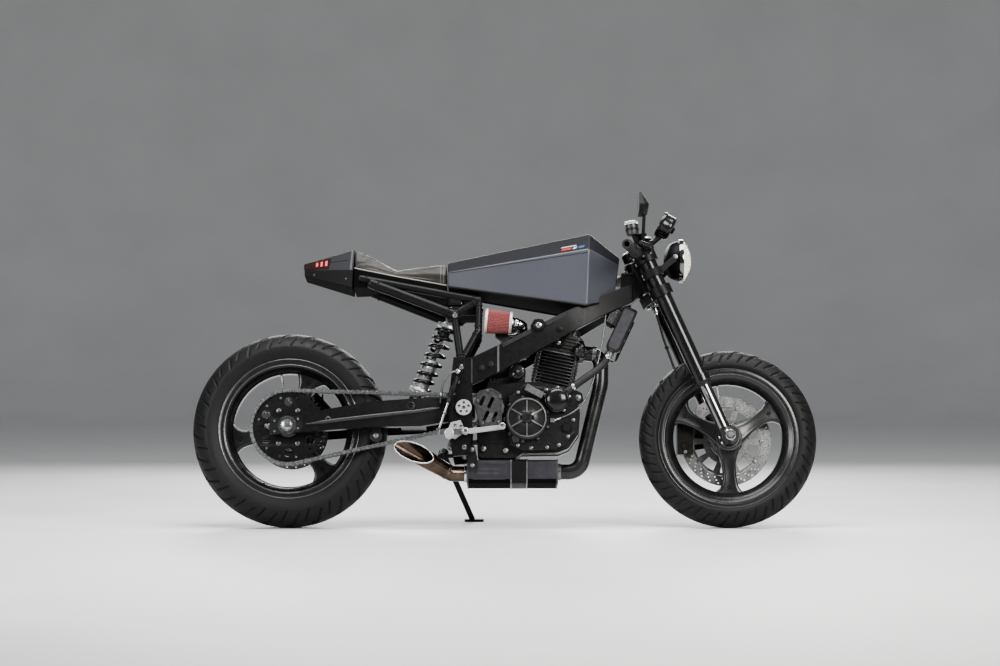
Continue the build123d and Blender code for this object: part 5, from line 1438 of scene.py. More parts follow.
# front engine mount
for sgn in (-1, 1):
    ck.prism(rounded([(222, 420), (252, 396), (276, 412), (270, 440), (236, 456)], 8, 4), sgn * 44, sgn * 58, 0)
    ck.bolt((256, sgn * 58, 424), (0, sgn, 0), 8, 8, "hex", 1)
# oil level window and filler on the right, drain plug
ck.lathe([(0, 1.2), (9, 1.0), (9.6, 2.6), (13, 2.6), (14, 0.8), (14, -3)], (52, -112, 284), (0, -1, 0), 32, 1)
ck.lathe([(17, -2), (17, 5), (15.5, 7), (13, 7), (12, 9.5), (0, 10)], (218, -112, 318), (0, -1, 0), 28, 2, wave=lambda r, h, t: r + (0.9 * math.cos(9 * t) if r > 12.5 else 0))
ck.bolt((10, -20, 222.5), (0, 0, -1), 9, 4, "hex", 1)
# ribbed breather block on top, behind the barrel
ck.prism(rounded([(-48, 446), (-40, 478), (34, 496), (62, 492), (66, 468)], 7, 4), -46, 46, 0)
for k in range(7):
    x = -30 + 13 * k
    ck.box((x, 0, 486 + 1.2 * k), (5, 86, 9), Matrix.Rotation(-0.24, 3, "Y"), 0)
make("crankcase_fittings", ck, [MAT["casting"], MAT["zinc"], MAT["plastic"]], "chassis", angle=35, bevel=1.0, segs=2, bevel_angle=45)

# ------------------------------------------------------------------ covers
cv = Build()
CC = V((87.7, 0, 346))
RY = (0, -1, 0)
# clutch cover: stepped dish, bright rim, six ribs, boss
cv.lathe([(70, 110), (70, 141), (69, 145.5), (66, 149), (64, 150)], CC, RY, 96, 0)
cv.lathe([(64, 150), (63.2, 156.2), (62.4, 157.8), (61.2, 158), (60.0, 157), (58.8, 153)], CC, RY, 96, 1)
cv.lathe([(58.8, 153), (57, 150.8), (40, 151.2), (24, 152.4), (21, 154.4), (18.8, 158.6), (17.6, 162), (15.6, 164), (10, 164), (9.2, 162.6), (0, 162)], CC, RY, 96, 0)
for k in range(6):
    t = math.radians(90 + 60 * k)
    d, s_ = V((math.cos(t), 0, math.sin(t))), V((-math.sin(t), 0, math.cos(t)))
    q = []
    for r_, w_, h_ in ((17, 4.6, 160.5), (34, 3.6, 157.2), (58.5, 3.0, 156.0)):
        for sg in (-1, 1):
            q.append(CC + d * r_ + s_ * (w_ * sg) + V((0, -150.0, 0)))
        for sg in (-1, 1):
            q.append(CC + d * r_ + s_ * (w_ * 0.55 * sg) + V((0, -h_, 0)))
    fs = []
    for a in (0, 4):
        fs += [(a + 0, a + 2, a + 6, a + 4), (a + 2, a + 3, a + 7, a + 6), (a + 3, a + 1, a + 5, a + 7)]
    fs += [(0, 1, 3, 2), (8, 10, 11, 9)]
    cv.add(q, fs, 3, False)
for k in range(9):
    t = math.radians(20 + 40 * k)
    p = CC + V((math.cos(t) * 72.5, -112, math.sin(t) * 72.5))
    cv.rod(p + V((0, 4, 0)), p + V((0, -9, 0)), 8.0, 6.6, n=24, mat=0, edge=1.5)
    cv.bolt(p + V((0, -8.8, 0)), RY, 4.2, 4, "cap", 2, 18)
make("clutch_cover", cv, [MAT["casting"], MAT["trim"], MAT["zinc"], MAT["trim"]], "chassis", angle=38, stands_for=("engine_covers",))

pc = Build()
PC = V((186, 0, 408))
prof = [(42, 110), (42, 132), (41, 137), (38, 140)]
for k in range(0, 9):
    t = math.pi / 2 * k / 8
    prof.append((37 * math.cos(t), 140 + 13.6 * math.sin(t)))
pc.lathe(prof, PC, RY, 72, 0)
for k in range(5):
    t = math.radians(15 + 72 * k)
    p = PC + V((math.cos(t) * 41, -112, math.sin(t) * 41))
    if math.hypot(p.x - 87.7, p.z - 346) < 80:
        continue
    pc.rod(p + V((0, 3, 0)), p + V((0, -20, 0)), 7.5, 6.5, n=22, mat=0, edge=1.5)
    pc.bolt(p + V((0, -19.8, 0)), RY, 4.0, 4, "hex", 1)
pc.lathe([(13.5, -6), (13.5, 10), (15, 12), (15, 17), (13.5, 18)], V((204, -128, 424.5)), V((58, 4, 44)), 28, 0)
make("pump_cover", pc, [MAT["gloss_black"], MAT["zinc"]], "chassis", angle=50)

# bright ribbed cap on the upper edge of the right case
rc = Build()
rot = Matrix.Rotation(math.radians(28), 3, "Y")
at = V((112, -131, 434))
rc.box(at, (62, 38, 21), rot, 0)
for k in range(6):
    rc.box(at + rot @ V((-24 + 9.6 * k, -19.2, 0)), (4.0, 2.6, 17), rot, 0)
for sx in (-1, 1):
    rc.bolt(at + rot @ V((sx * 25.5, 0, 10.3)), rot @ V((0, 0, 1)), 4, 4, "cap", 1, 18)
make("case_cap", rc, [MAT["trim"], MAT["zinc"]], "chassis", bevel=1.4, segs=2)

# sprocket cover with slanted windows
so = Build()
SPR = [(-66, 322), (-86, 400), (-66, 438), (-28, 446), (6, 426), (6, 330), (-20, 312)]
wins = []
for x, z, l_ in ((-58, 404, 34), (-30, 398, 40), (-46, 352, 40), (-18, 350, 36)):
    rr = math.radians(66)
    d, s_ = V((math.cos(rr), math.sin(rr))), V((-math.sin(rr), math.cos(rr)))
    c = V((x, z))
    wins.append(rounded([tuple(c + d * (l_ / 2) + s_ * 5.5), tuple(c - d * (l_ / 2) + s_ * 5.5), tuple(c - d * (l_ / 2) - s_ * 5.5), tuple(c + d * (l_ / 2) - s_ * 5.5)], 5, 5))
so.prism(rounded(SPR, 14, 6), -140, -133, 0, wins)
inner = [(-30 + (x + 30) * 0.9, 380 + (z - 380) * 0.9) for x, z in rounded(SPR, 14, 6)]
so.prism(rounded(SPR, 14, 6), -133, -108.5, 0, [inner])
outer2 = [(-30 + (x + 30) * 0.965, 380 + (z - 380) * 0.965) for x, z in rounded(SPR, 14, 6)]
inner2 = [(-30 + (x + 30) * 0.90, 380 + (z - 380) * 0.90) for x, z in rounded(SPR, 14, 6)]
so.prism(outer2, -141.8, -139, 0, [inner2])
for x, z in ((-72, 402), (-40, 436), (0, 416), (-4, 332), (-56, 330)):
    so.rod((x, -132, z), (x, -142.6, z), 7.5, 6.8, n=22, mat=0, edge=1.2)
    so.bolt((x, -142.2, z), RY, 4.2, 3.6, "cap", 1, 18)
make("sprocket_cover", so, [MAT["casting_grey"], MAT["zinc"]], "chassis", angle=38, bevel=1.0, segs=2)

lc = Build()
LC = V((96, 0, 346))
LY = (0, 1, 0)
lc.lathe([(88, 110), (88, 134), (86.5, 140), (82, 144.5), (76, 146), (62, 146), (60, 147.5), (59.4, 152), (58, 153.8), (54, 154), (50, 152), (22, 150.6), (19, 152.2), (17.5, 153.8), (0, 154)], LC, LY, 96, 0)
for k in range(10):
    t = math.radians(10 + 36 * k)
    p = LC + V((math.cos(t) * 90.5, 112, math.sin(t) * 90.5))
    lc.rod(p - V((0, 4, 0)), p + V((0, 12, 0)), 8.2, 6.8, n=22, mat=0, edge=1.5)
    lc.bolt(p + V((0, 11.8, 0)), LY, 4.2, 4, "hex", 1)
for k in range(8):
    t = math.radians(22.5 + 45 * k)
    d = V((math.cos(t), 0, math.sin(t)))
    lc.box(LC + d * 38 + V((0, 151.2, 0)), (26, 3.6, 4.6), Matrix.Rotation(-t, 3, "Y"), 0)
make("generator_cover", lc, [MAT["casting"], MAT["zinc"]], "chassis", angle=38)

# ------------------------------------------------------------------ starter, thermostat housing, head steadies, coil box
an = Build()
# starter motor across the case, with end caps, through bolts and a terminal
an.lathe([(0, -101), (16, -101), (22, -99.5), (25, -96), (26, -92), (26, -88), (25.2, -87), (25.2, 60), (26.4, 61), (26.4, 74), (24, 78), (0, 79)], (58, 0, 506), (0, 1, 0), 48, 0)
an.ring((58, 0, 506), (0, 1, 0), 27.2, 25, -64, -58, 48, 1)
an.ring((58, 0, 506), (0, 1, 0), 27.2, 25, 20, 26, 48, 1)
for t in (0.5, 3.64):
    an.bolt((58 + 17 * math.cos(t), -99.6, 506 + 17 * math.sin(t)), (0, -1, 0), 3.6, 4, "hex", 2)
an.lathe([(0, -106), (5, -106), (6.5, -104), (6.5, -99)], (58, 0, 506), (0, 1, 0), 24, 2)
an.rod((44, -60, 526), (40, -60, 542), 6, n=20, mat=3)
an.bolt((39.4, -60, 543), (-0.25, 0, 1), 4.6, 6, "hex", 2)
an.prism(rounded([(30, 470), (84, 470), (80, 492), (36, 492)], 6, 4), -58, -30, 0)
an.prism(rounded([(30, 470), (84, 470), (80, 492), (36, 492)], 6, 4), 30, 58, 0)
# thermostat housing on the front corner of the head
th0 = cyl(66, -84, 140)
an.lathe([(0, -10), (19, -10), (20.5, -8), (20.5, 8), (22.5, 9), (22.5, 15), (19, 17), (15, 22), (13, 30), (0, 30)], th0, (0.30, -0.18, 0.93), 40, 0)
an.lathe([(0, 0), (12.5, 0), (12.5, 16), (14, 17), (14, 22), (12.5, 23), (0, 23)], th0, (0.93, -0.1, -0.30), 32, 0)
an.ring(th0 + V((0.93, -0.1, -0.30)) * 13, (0.93, -0.1, -0.30), 14.6, 12, -3.4, 3.4, 36, 1)
for t in (0.4, 2.5, 4.6):
    e1, e2, e3 = basis((0.30, -0.18, 0.93))
    an.bolt(th0 + e1 * (18.5 * math.cos(t)) + e2 * (18.5 * math.sin(t)) + e3 * 15, e3, 3.0, 3.4, "hex", 2)
# head steadies between the beams and the head, with a bush
for sgn in (-1, 1):
    an.prism(rounded([(176, 596), (208, 590), (228, 640), (212, 656), (186, 644)], 8, 4), sgn * 84, sgn * 91, 4, [circle(206, 622, 8, 24)])
    an.rod((208, sgn * 88, 642), (208, sgn * 113, 642), 8, n=24, mat=2)
    an.rod((192, sgn * 66, 604), (192, sgn * 86, 604), 9, n=24, mat=0)
    an.bolt((192, sgn * 91, 604), (0, sgn, 0), 6, 6, "hex", 2)
    an.bolt((208, sgn * 91, 642), (0, sgn, 0), 6, 6, "hex", 2)
# finned coil box on a stud under the right beam
an.rod((-32, -100, 505), (-32, -113.5, 505), 6, n=20, mat=2)
an.prism(rounded([(-52, 486), (-6, 508), (-12, 524), (-58, 502)], 4, 3), -108, -74, 3)
for k in range(5):
    x = -46 + 9 * k
    an.prism([(x, 489 + 0.48 * (x + 46)), (x + 3.5, 490.5 + 0.48 * (x + 46)), (x + 0.5, 505 + 0.48 * (x + 46)), (x - 3, 503.5 + 0.48 * (x + 46))], -111, -107, 3)
make("engine_ancillaries", an, [MAT["casting"], MAT["trim"], MAT["zinc"], MAT["plastic"], MAT["black"]], "chassis", angle=38, bevel=0.8, segs=2, bevel_angle=50)

# ------------------------------------------------------------------ carburettor and air filter
dress("carburettor", MAT["casting_grey"], 2.5, 30, 2)
cb = Build()
ca, cc_ = V((104, 0, 616)), V((16, 0, 636))
cd = (cc_ - ca).normalized()
for s, r in ((10, 36), (24, 36.5), (70, 36)):
    cb.ring(ca + cd * s, cd, r + 1.2, r - 3, -4.5, 4.5, 48, 1)
    cb.bolt(ca + cd * s + V((0, -r - 2, 0)), (0, -1, 0), 4.5, 7, "cap", 1, 18)
cb.lathe([(0, -6), (27, -6), (28, 0), (28, 20), (25, 26), (12, 30), (0, 30)], (60, 0, 650), (0, 0, 1), 40, 0)
for k in range(4):
    t = math.radians(45 + 90 * k)
    cb.bolt((60 + 24 * math.cos(t), 24 * math.sin(t), 673), (0, 0, 1), 3, 3, "cap", 1, 18)
cb.prism(rounded([(34, 562), (84, 562), (88, 586), (30, 586)], 6, 4), -24, 24, 0)
cb.bolt((58, 0, 562), (0, 0, -1), 7, 6, "hex", 1)
for sgn in (-1, 1):
    for x in (34, 82):
        cb.bolt((x, sgn * 26, 590), (0, 0, -1), 3.2, 4, "cap", 1, 18)
cb.prism(rounded([(44, 606), (78, 606), (82, 628), (56, 640), (42, 626)], 6, 4), -40, -30, 1)
cb.rod((62, -30, 622), (62, -43, 622), 5, n=18, mat=1)
make("carburettor_fittings", cb, [MAT["casting_grey"], MAT["steel"]], "chassis", angle=38, bevel=0.8, segs=2)

af = Build()
fa, fb = V((-50, -88, 676)), V((40, -88, 668))
fd = fb - fa
fl = fd.length
fd.normalize()
NP = 44


def pleat(r, h, t):
    return r - 2.6 * (0.5 - 0.5 * math.cos(NP * t)) ** 0.8


af.lathe([(40.6, 7.5)] + [(40.6 - 4.4 * k / 8, 8 + (fl - 16) * k / 8) for k in range(9)] + [(36, fl - 7.5)], fa, fd, NP * 6, 0, wave=pleat)
af.lathe([(0, 0), (39.8, 0), (41.4, 0.8), (42, 2.4), (42, 8), (41.6, 9), (40, 9.4), (37.6, 9.2)], fa, fd, 72, 1)
af.lathe([(0, -0.0), (30, -0.02), (32, 1.2), (0, 1.2)], fa, -fd, 48, 1)
af.lathe([(34, fl - 9.2), (36.6, fl - 9.4), (37.6, fl - 8.6), (38, fl - 7), (38, fl - 2), (37, fl - 0.4), (35, fl), (0, fl)], fa, fd, 72, 1)
nk = V((62, -84, 664)) - fb
nl = nk.length
nk.normalize()
af.lathe([(19.5, -6), (19.5, 2), (18.6, 3), (18.6, nl - 2), (17, nl)], fb, nk, 48, 2)
af.lathe([(18.7, nl * 0.35), (19.9, nl * 0.35), (20.2, nl * 0.35 + 1), (20.2, nl * 0.35 + 8), (19.9, nl * 0.35 + 9), (18.7, nl * 0.35 + 9)], fb, nk, 48, 2)
pb_ = fb + nk * (nl * 0.35 + 4.5)
af.box(pb_ + V((0, -19.8, 3)), (9, 6, 8), None, 2)
af.rod(pb_ + V((0, -21.5, -8)), pb_ + V((0, -21.5, 10)), 2.6, n=16, mat=2)
MAT["filter_end"] = material("filter_ends", (srgb(176, 168, 160), srgb(206, 198, 190)), (0.35, 0.5), 0.25, 120, 0.25, 900)
# chrome elbow on to the carburettor
af.tube(nurbs_line([(60, -84.3, 664.4), (72, -82, 662), (76, -64, 654), (64, -44, 644), (40, -36, 640), (20, -34, 640)]), 17.5, 28, 2)
make("pleated_filter", af, [MAT["filter"], MAT["filter_end"], MAT["chrome"]], "chassis", angle=50, stands_for=("air_filter",))

# ------------------------------------------------------------------ radiator
RT = math.radians(25.0)
RU, RA = V((math.sin(RT), 0, math.cos(RT))), V((math.cos(RT), 0, -math.sin(RT)))
RO = V((399, 0, 642))


def rad(a, y, u):
    return RO + RA * a + V((0, y, 0)) + RU * u


RM = Matrix((RA, V((0, 1, 0)), RU)).transposed()
rd = Build()
for sgn in (-1, 1):
    # end tanks: pressed shell with rolled edge
    out_ = rounded([(-24, -79), (24, -79), (24, 79), (-24, 79)], [16, 16, 8, 8], 6)
    rd.plate(out_, [], rad(0, sgn * 108 + 9.2, 0), RA, RU, 18.4, 1)
    in_ = [(a * 0.86, u * 0.945) for a, u in out_]
    rd.plate(out_, [in_], rad(0, sgn * 118 if sgn > 0 else -117.2, 0), RA, RU, 0.8, 1)
    rd.plate([(a * 0.74 - 1.5, u * 0.88) for a, u in out_], [], rad(0, sgn * 118 if sgn > 0 else -117.0, 0), RA, RU, 0.9, 0)
for u in (-74, 56):
    rd.box(rad(0, 0, u), (36, 198, 4), RM, 1)
for k in range(13):
    rd.box(rad(0, 0, -70 + 10.2 * k), (32, 198, 2.0), RM, 1)
# folded fins between the flat tubes
for k in range(13):
    u0 = -69 + 10.2 * k
    pts = []
    n = 66
    for i in range(n + 1):
        pts.append((-97 + 194 * i / n, u0 + (0 if i % 2 else 8.2)))
    verts, faces = [], []
    for y, u in pts:
        verts.append(rad(-14, y, u))
        verts.append(rad(14, y, u))
    for i in range(n):
        faces.append((2 * i, 2 * i + 1, 2 * i + 3, 2 * i + 2))
    rd.add(verts, faces, 2, False)
# brackets up to the frame, guard bars, pressure cap, stubs
for y in (-66, 66):
    rd.rod((420, y, 680), (397, y, 724.5), 7, n=20, mat=1)
    rd.box((402, y, 716), (26, 22, 4), Matrix.Rotation(0.53, 3, "Y"), 1)
    rd.bolt((398, y, 719.5), (0.48, 0, -0.88), 5, 5, "hex", 3)
for u in (-40, 0, 40):
    rd.tube([rad(19.5, y, u) for y in np.linspace(-98, 98, 14)], 1.6, 8, 1)
rd.lathe([(0, 0), (12, 0), (12, 7), (16, 8), (16.8, 9.5), (16.8, 14), (15.4, 15.6), (0, 16.4)], rad(-23.5, 108, 48), -RA, 36, 3, wave=lambda r, h, t: r + (0.6 * math.cos(12 * t) if r > 15.8 else 0))
rd.lathe([(13.4, -6), (13.4, 4), (15.2, 5), (15.2, 12), (14, 13)], V((367, -108, 576)) - V((17.5, 0, 36)).normalized() * 24, V((18, 0, 36)), 30, 3)
make("radiator_core", rd, [MAT["rad_tank"], MAT["black"], MAT["fin"], MAT["zinc"]], "chassis", angle=38, bevel=0.9, segs=2, bevel_angle=50, stands_for=("radiator",))

# finned regulator behind the radiator, hung on a bracket
rg = Build()
go = V((377, -58, 694))
rg.box(go, (34, 24, 52), RM, 0)
for k in range(7):
    rg.box(go + RM @ V((-15 + 5.0 * k, -15.5, 0)), (1.9, 9, 50), RM, 0)
rg.box(go + RM @ V((0, 9, 0)), (40, 4, 66), RM, 1)
rg.box(go + RM @ V((0, 20, 24)), (22, 26, 4), RM, 1)
for u in (-29, 29):
    rg.bolt(go + RM @ V((0, 6.5, u)), RM @ V((0, -1, 0)), 4, 4, "hex", 2)
rg.box(go + RM @ V((0, -2, -33)), (20, 14, 14), RM, 1)
make("regulator_fins", rg, [MAT["trim"], MAT["black"], MAT["zinc"]], "chassis", bevel=0.7, segs=1)

# ------------------------------------------------------------------ hoses and lines
ho = Build()
l1 = nurbs_line([(206, -128, 426), (264, -124, 470), (322, -112, 511), (349, -108, 540), (367, -108, 576)])
ho.tube(l1, 12, 24, 0)
for i in (4, len(l1) - 6):
    d = (l1[i + 1] - l1[i]).normalized()
    ho.ring(l1[i], d, 13.6, 11, -4, 4, 36, 1)
    ho.box(l1[i] + V((0, -14.5, 0)), (9, 6, 8), None, 1)
    ho.rod(l1[i] + V((-3, -16, -7)), l1[i] + V((3, -16, 8)), 2.2, n=14, mat=1)
l2 = nurbs_line([(164, -110, 340), (196, -124, 348), (250, -124, 372), (286, -118, 418), (308, -111, 480), (328, -102, 560), (343, -94, 640), (350, -90, 712)])
ho.tube(l2, 3.0, 14, 2)
for i in (2, 5):
    d = (l2[i + 1] - l2[i]).normalized()
    ho.rod(l2[i] - d * 8, l2[i] + d * 8, 5, n=18, mat=1)
ho.box((172, -115, 342), (16, 10, 14), None, 1)
l3 = nurbs_line([(-134, -140, 496), (-140, -170, 499), (-168, -174, 488), (-187, -164, 456), (-192, -140, 426), (-196, -110, 396)])
ho.tube(l3, 3.5, 16, 2)
ho.rod((-138, -148, 497.5), (-138.5, -158, 498), 8, n=24, mat=1)
ho.bolt((-138.6, -158, 498), (0, -1, 0), 6, 6, "hex", 1)
d = (l3[-8] - l3[-2]).normalized()
ho.rod(l3[-6], l3[-6] + d * 18, 5.2, n=20, mat=1)
MAT["braid"] = material("braided_line", (grey(0.10), grey(0.20)), (0.30, 0.45), 0.85, 900, 0.5, 3200)
make("hoses_and_lines", ho, [MAT["rubber"], MAT["steel"], MAT["braid"]], "chassis", angle=45, stands_for=("engine_hoses",))

# ------------------------------------------------------------------ exhaust
dress("exhaust_header", MAT["header"], 0)
dress("silencer", MAT["silencer"], 1.5, 40, 2)
xh = Build()
for p, d, r in ((V((311, -42, 570.5)), V((1, 0, -0.1)), 25), (V((193, -48, 180)), V((1, 0, 0)), 25)):
    xh.ring(p, d, r + 2.4, r - 1, -7, 7, 48, 1)
    xh.bolt(p + V((0, -r - 2, 0)), (0, -1, 0), 4, 9, "cap", 1, 18)
# silencer: pressed panel, ribbed strap, seams, end plates
for sgn in (-1, 1):
    ysd = sgn * 98
    o_ = rounded([(-92, 150), (20, 150), (20, 205), (-92, 205)], 6, 5)
    i_ = rounded([(-88, 154), (16, 154), (16, 201), (-88, 201)], 4, 5)
    xh.prism(o_, ysd, ysd + sgn * 1.6, 0, [i_])
    xh.prism(rounded([(-78, 168), (-4, 168), (-4, 173), (-78, 173)], 2.2, 4), ysd - sgn * 0.2, ysd + sgn * 1.4, 0)
    xh.prism(rounded([(-78, 182), (-4, 182), (-4, 187), (-78, 187)], 2.2, 4), ysd - sgn * 0.2, ysd + sgn * 1.4, 0)


def belt(x0, x1, lift, mat):
    """Band right round the silencer between two stations."""
    h_, w_ = 38 + lift, 98 + lift
    loop = rounded([(-w_, -h_), (w_, -h_), (w_, h_), (-w_, h_)], 12 + lift, 6)
    hole = rounded([(-w_ + 2.5, -h_ + 2.5), (w_ - 2.5, -h_ + 2.5), (w_ - 2.5, h_ - 2.5), (-w_ + 2.5, h_ - 2.5)], 10 + lift, 6)
    xh.plate(loop, [hole], (x0, 0, 178), (0, 1, 0), (0, 0, 1), x1 - x0, mat)


belt(36, 88, 1.2, 4)
for k in range(8):
    belt(41.5 + 5.4 * k, 44.2 + 5.4 * k, 2.4, 4)
belt(34, 38, 3.0, 1)
belt(86, 90, 3.0, 1)
belt(-108.5, -103.5, 1.6, 0)
belt(184.5, 189.8, 1.6, 0)
# near-black sill folded round the lower edges: painted shade on the underside
sill_o = [(-98.9, -26)] + [(-86 + 12.9 * math.cos(math.radians(a)), -26 + 12.9 * math.sin(math.radians(a))) for a in range(190, 271, 10)]
sill_o += [(86 + 12.9 * math.cos(math.radians(a)), -26 + 12.9 * math.sin(math.radians(a))) for a in range(270, 351, 10)] + [(98.9, -26)]
sill_i = [(97.6, -26)] + [(86 + 11.6 * math.cos(math.radians(a)), -26 + 11.6 * math.sin(math.radians(a))) for a in range(350, 269, -10)]
sill_i += [(-86 + 11.6 * math.cos(math.radians(a)), -26 + 11.6 * math.sin(math.radians(a))) for a in range(270, 189, -10)] + [(-97.6, -26)]
for x0, x1 in ((-103.4, 33.8), (90.2, 184.4)):
    xh.plate(sill_o + sill_i, [], (x0, 0, 178), (0, 1, 0), (0, 0, 1), x1 - x0, 3)
# hanger at the rear, up to the engine
for sgn in (-1, 1):
    xh.prism(rounded([(-106, 178), (-74, 178), (-74, 222), (-84, 262), (-100, 262), (-106, 230)], 6, 5), sgn * 98.2, sgn * 101.6, 2)
    xh.bolt((-90, sgn * 101.6, 196), (0, sgn, 0), 5, 5, "hex", 1)
    xh.rod((-92, sgn * 101, 248), (-92, sgn * 84, 248), 9, n=22, mat=2)
    xh.bolt((-92, sgn * 101.6, 248), (0, sgn, 0), 6, 6, "hex", 1)
make("silencer_trim", xh, [MAT["silencer"], MAT["trim"], MAT["header"], MAT["under"], MAT["plastic"]], "chassis", angle=38, bevel=0.6, segs=1)

# outlet cone keeps its cut shell; rolled bright rim round the slanted mouth
dress("exhaust_tip", MAT["tip"], 0)
TB, TC = V((-160, -70, 172)), V((-345, -158, 272))
td = (TC - TB).normalized()
TLn = (TC - TB).length
t1, t2, _ = basis(td)
so_, sn_ = V((-275, -124.7, 234.2)), V((0.03, -0.965, 0.26)).normalized()
lip = []
for k in range(72):
    ph = 2 * math.pi * k / 72
    e = t1 * math.cos(ph) + t2 * math.sin(ph)
    r0, sl = 24.0, 11.0 / TLn
    q_ = e.dot(sn_)
    s = -((TB - so_).dot(sn_) + r0 * q_) / (td.dot(sn_) + q_ * sl)
    lip.append(TB + td * s + e * (r0 + sl * s))
rim_ = Build()
rim_.tube(lip, 2.5, 12, 0, closed=True)
for s in (14, 20):
    r_ = 25 + 11 / TLn * s
    rim_.ring(TB + td * s, td, r_ + 1.3, r_ - 1, -1.4, 1.4, 48, 1)
rim_.ring(V((-112, -62.6, 172)), V((-52, -8, 0)), 27.6, 24, -8, 8, 48, 0)
rim_.bolt(V((-112, -62.6, 172)) + V((0, -27, 0)), (0, -1, 0), 4, 8, "cap", 0, 18)
make("outlet_rim", rim_, [MAT["steel"], MAT["tip"]], "chassis", angle=45)

# ------------------------------------------------------------------ frame
dress("frame_beams", MAT["black"], 3.0, 20, 3)
dress("pivot_plates", MAT["black"], 3.0, 30, 3)
for n_ in ("cross_tubes", "subframe"):
    dress(n_, MAT["black"], 0.8, 50, 1)
dress("steering_head", MAT["black"], 2.0, 40, 2)
dress("swingarm", MAT["black"], 3.5, 22, 3)
dress("swingarm_bridge", MAT["black"], 3.0, 35, 3)


def weld_ring(b, at, axis, r, mat=0):
    """Rippled bead round a tube's end."""
    n = max(18, int(r * 2.2))
    b.lathe([(r - 2.5, -3.0), (r + 0.4, -2.8), (r + 1.9, -1.4), (r + 2.2, 0.2), (r + 1.4, 1.8), (r + 0.2, 2.8), (r - 2.5, 3.0)], at, axis, n * 3, mat,
            wave=lambda rr, h, t: rr + (0.55 * math.cos(n * t + h) if rr > r else 0))


def weld_run(b, p, q, r, mat=0):
    """Rippled bead along a straight joint."""
    p, q = V(p), V(q)
    n = max(6, int((q - p).length / 2.2))
    pts = [p.lerp(q, k / n) for k in range(n + 1)]
    b.tube(pts, r, 8, mat, radii=[r * (0.86 + 0.2 * (k % 2)) for k in range(n + 1)])


fr = Build()
BEAM = [(-92, 456, 546, 112, 148), (0, 499, 590, 112, 148), (222, 624, 702, 112, 148), (330, 686, 757, 78, 112), (440, 744, 806, 30, 58)]
for sgn in (-1, 1):
    # lighter edge strip along the top, in two lengths; its light tone is a painted highlight
    for x0, x1 in ((8, 102), (150, 216)):
        zt = lambda x: 590 + x * (702 - 590) / 222
        o_ = rounded([(x0, zt(x0) - 2.5), (x0, zt(x0) - 16), (x1, zt(x1) - 16), (x1, zt(x1) - 2.5)], 3, 3)
        fr.prism(o_, sgn * 147.5, sgn * 150.4, 1)
    # bright joint band across the beam
    fr.prism([(-9, 496.5), (-2.5, 499.5), (-2.5, 587.5), (-9, 584.5)], sgn * 147, sgn * 150.6, 2)
    fr.box((-6, sgn * 130, 588.2), (6.5, 38, 3.0), Matrix.Rotation(-0.44, 3, "Y"), 2)
    # mount collar on the upper edge, held by an ear
    fr.prism(rounded([(100, 630), (126, 628), (152, 650), (140, 672), (112, 672), (100, 650)], 8, 4), sgn * 138, sgn * 149.5, 0)
    fr.lathe([(0, 139), (12, 139), (20, 141), (20.5, 144), (20.5, 153), (19, 155.6), (13, 156), (12, 153.4), (9.4, 153)], (126, 0, 652), (0, sgn, 0), 48, 0)
    fr.bolt((126, sgn * 153, 652), (0, sgn, 0), 7.5, 6.5, "hex", 3)
    # beam to plate welds
    weld_run(fr, (-92, sgn * 146.5, 460), (-92, sgn * 146.5, 542), 3.4, 0)
    weld_run(fr, (-92, sgn * 118, 546), (-92, sgn * 144, 546), 3.2, 0)
    # bolts through the beam at the engine mounts
    for x, z in ((-30, 520), (196, 640), (-60, 508)):
        fr.rod((x, sgn * 147, z), (x, sgn * 150.5, z), 12, n=28, mat=0, edge=1)
        fr.bolt((x, sgn * 150.4, z), (0, sgn, 0), 7, 6.5, "hex", 0)
    # plate: bosses, lightening ribs
    for x, z in ((-126, 512), (-116, 250)):
        fr.rod((x, sgn * 147, z), (x, sgn * 151.5, z), 14, n=28, mat=0, edge=1)
        fr.bolt((x, sgn * 151.4, z), (0, sgn, 0), 7.5, 6, "cap", 3, 20)
    fr.prism(rounded([(-104, 440), (-100, 330), (-106, 330), (-110, 440)], 2.5, 3), sgn * 147, sgn * 150, 0)
    fr.prism(rounded([(-158, 416), (-160, 312), (-153, 312), (-151, 416)], 2.5, 3), sgn * 147, sgn * 150, 0)
# seat tubes: beads at the joints, bright bolts
SUBT = [((-70, 100, 742), (-460, 88, 818), 13), ((-150, 104, 694), (-424, 92, 800), 17), ((-128, 128, 540), (-150, 104, 694), 12), ((-70, 100, 742), (-150, 104, 694), 14),
        ((-124, 128, 540), (-72, 106, 640), 11), ((-72, 106, 640), (-70, 100, 742), 11)]
for sgn in (-1, 1):
    for a, c, r in SUBT:
        a, c = V((a[0], sgn * a[1], a[2])), V((c[0], sgn * c[1], c[2]))
        d = (c - a).normalized()
        for p, k in ((a, 1), (c, -1)):
            weld_ring(fr, p + d * (k * (r + 5.5)), d, r, 0)
    for x, y, z, r in ((-148, 120.5, 690, 9), (-72, 111, 640, 7)):
        fr.rod((x, sgn * (y - 8), z), (x, sgn * y, z), r + 3.5, n=28, mat=0, edge=1)
        fr.lathe([(r, 0), (r, 4.4), (r - 1.2, 5.6), (r * 0.5, 5.6), (r * 0.42, 3.6), (0, 3.4)], (x, sgn * y, z), (0, sgn, 0), 32, 3)
# steering head: bead round the tube, bearing cups
for s in (549, 664):
    fr.ring(leg(s, 0, -32), UP, 32.4, 29, -3, 3, 48, 2)
weld_run(fr, (446, -31, 844), (404, -31, 842), 3, 0)
weld_run(fr, (446, 31, 844), (404, 31, 842), 3, 0)
make("frame_fittings", fr, [MAT["black"], MAT["ridge"], MAT["trim"], MAT["steel"]], "chassis", angle=38, bevel=0.7, segs=1, bevel_angle=50)

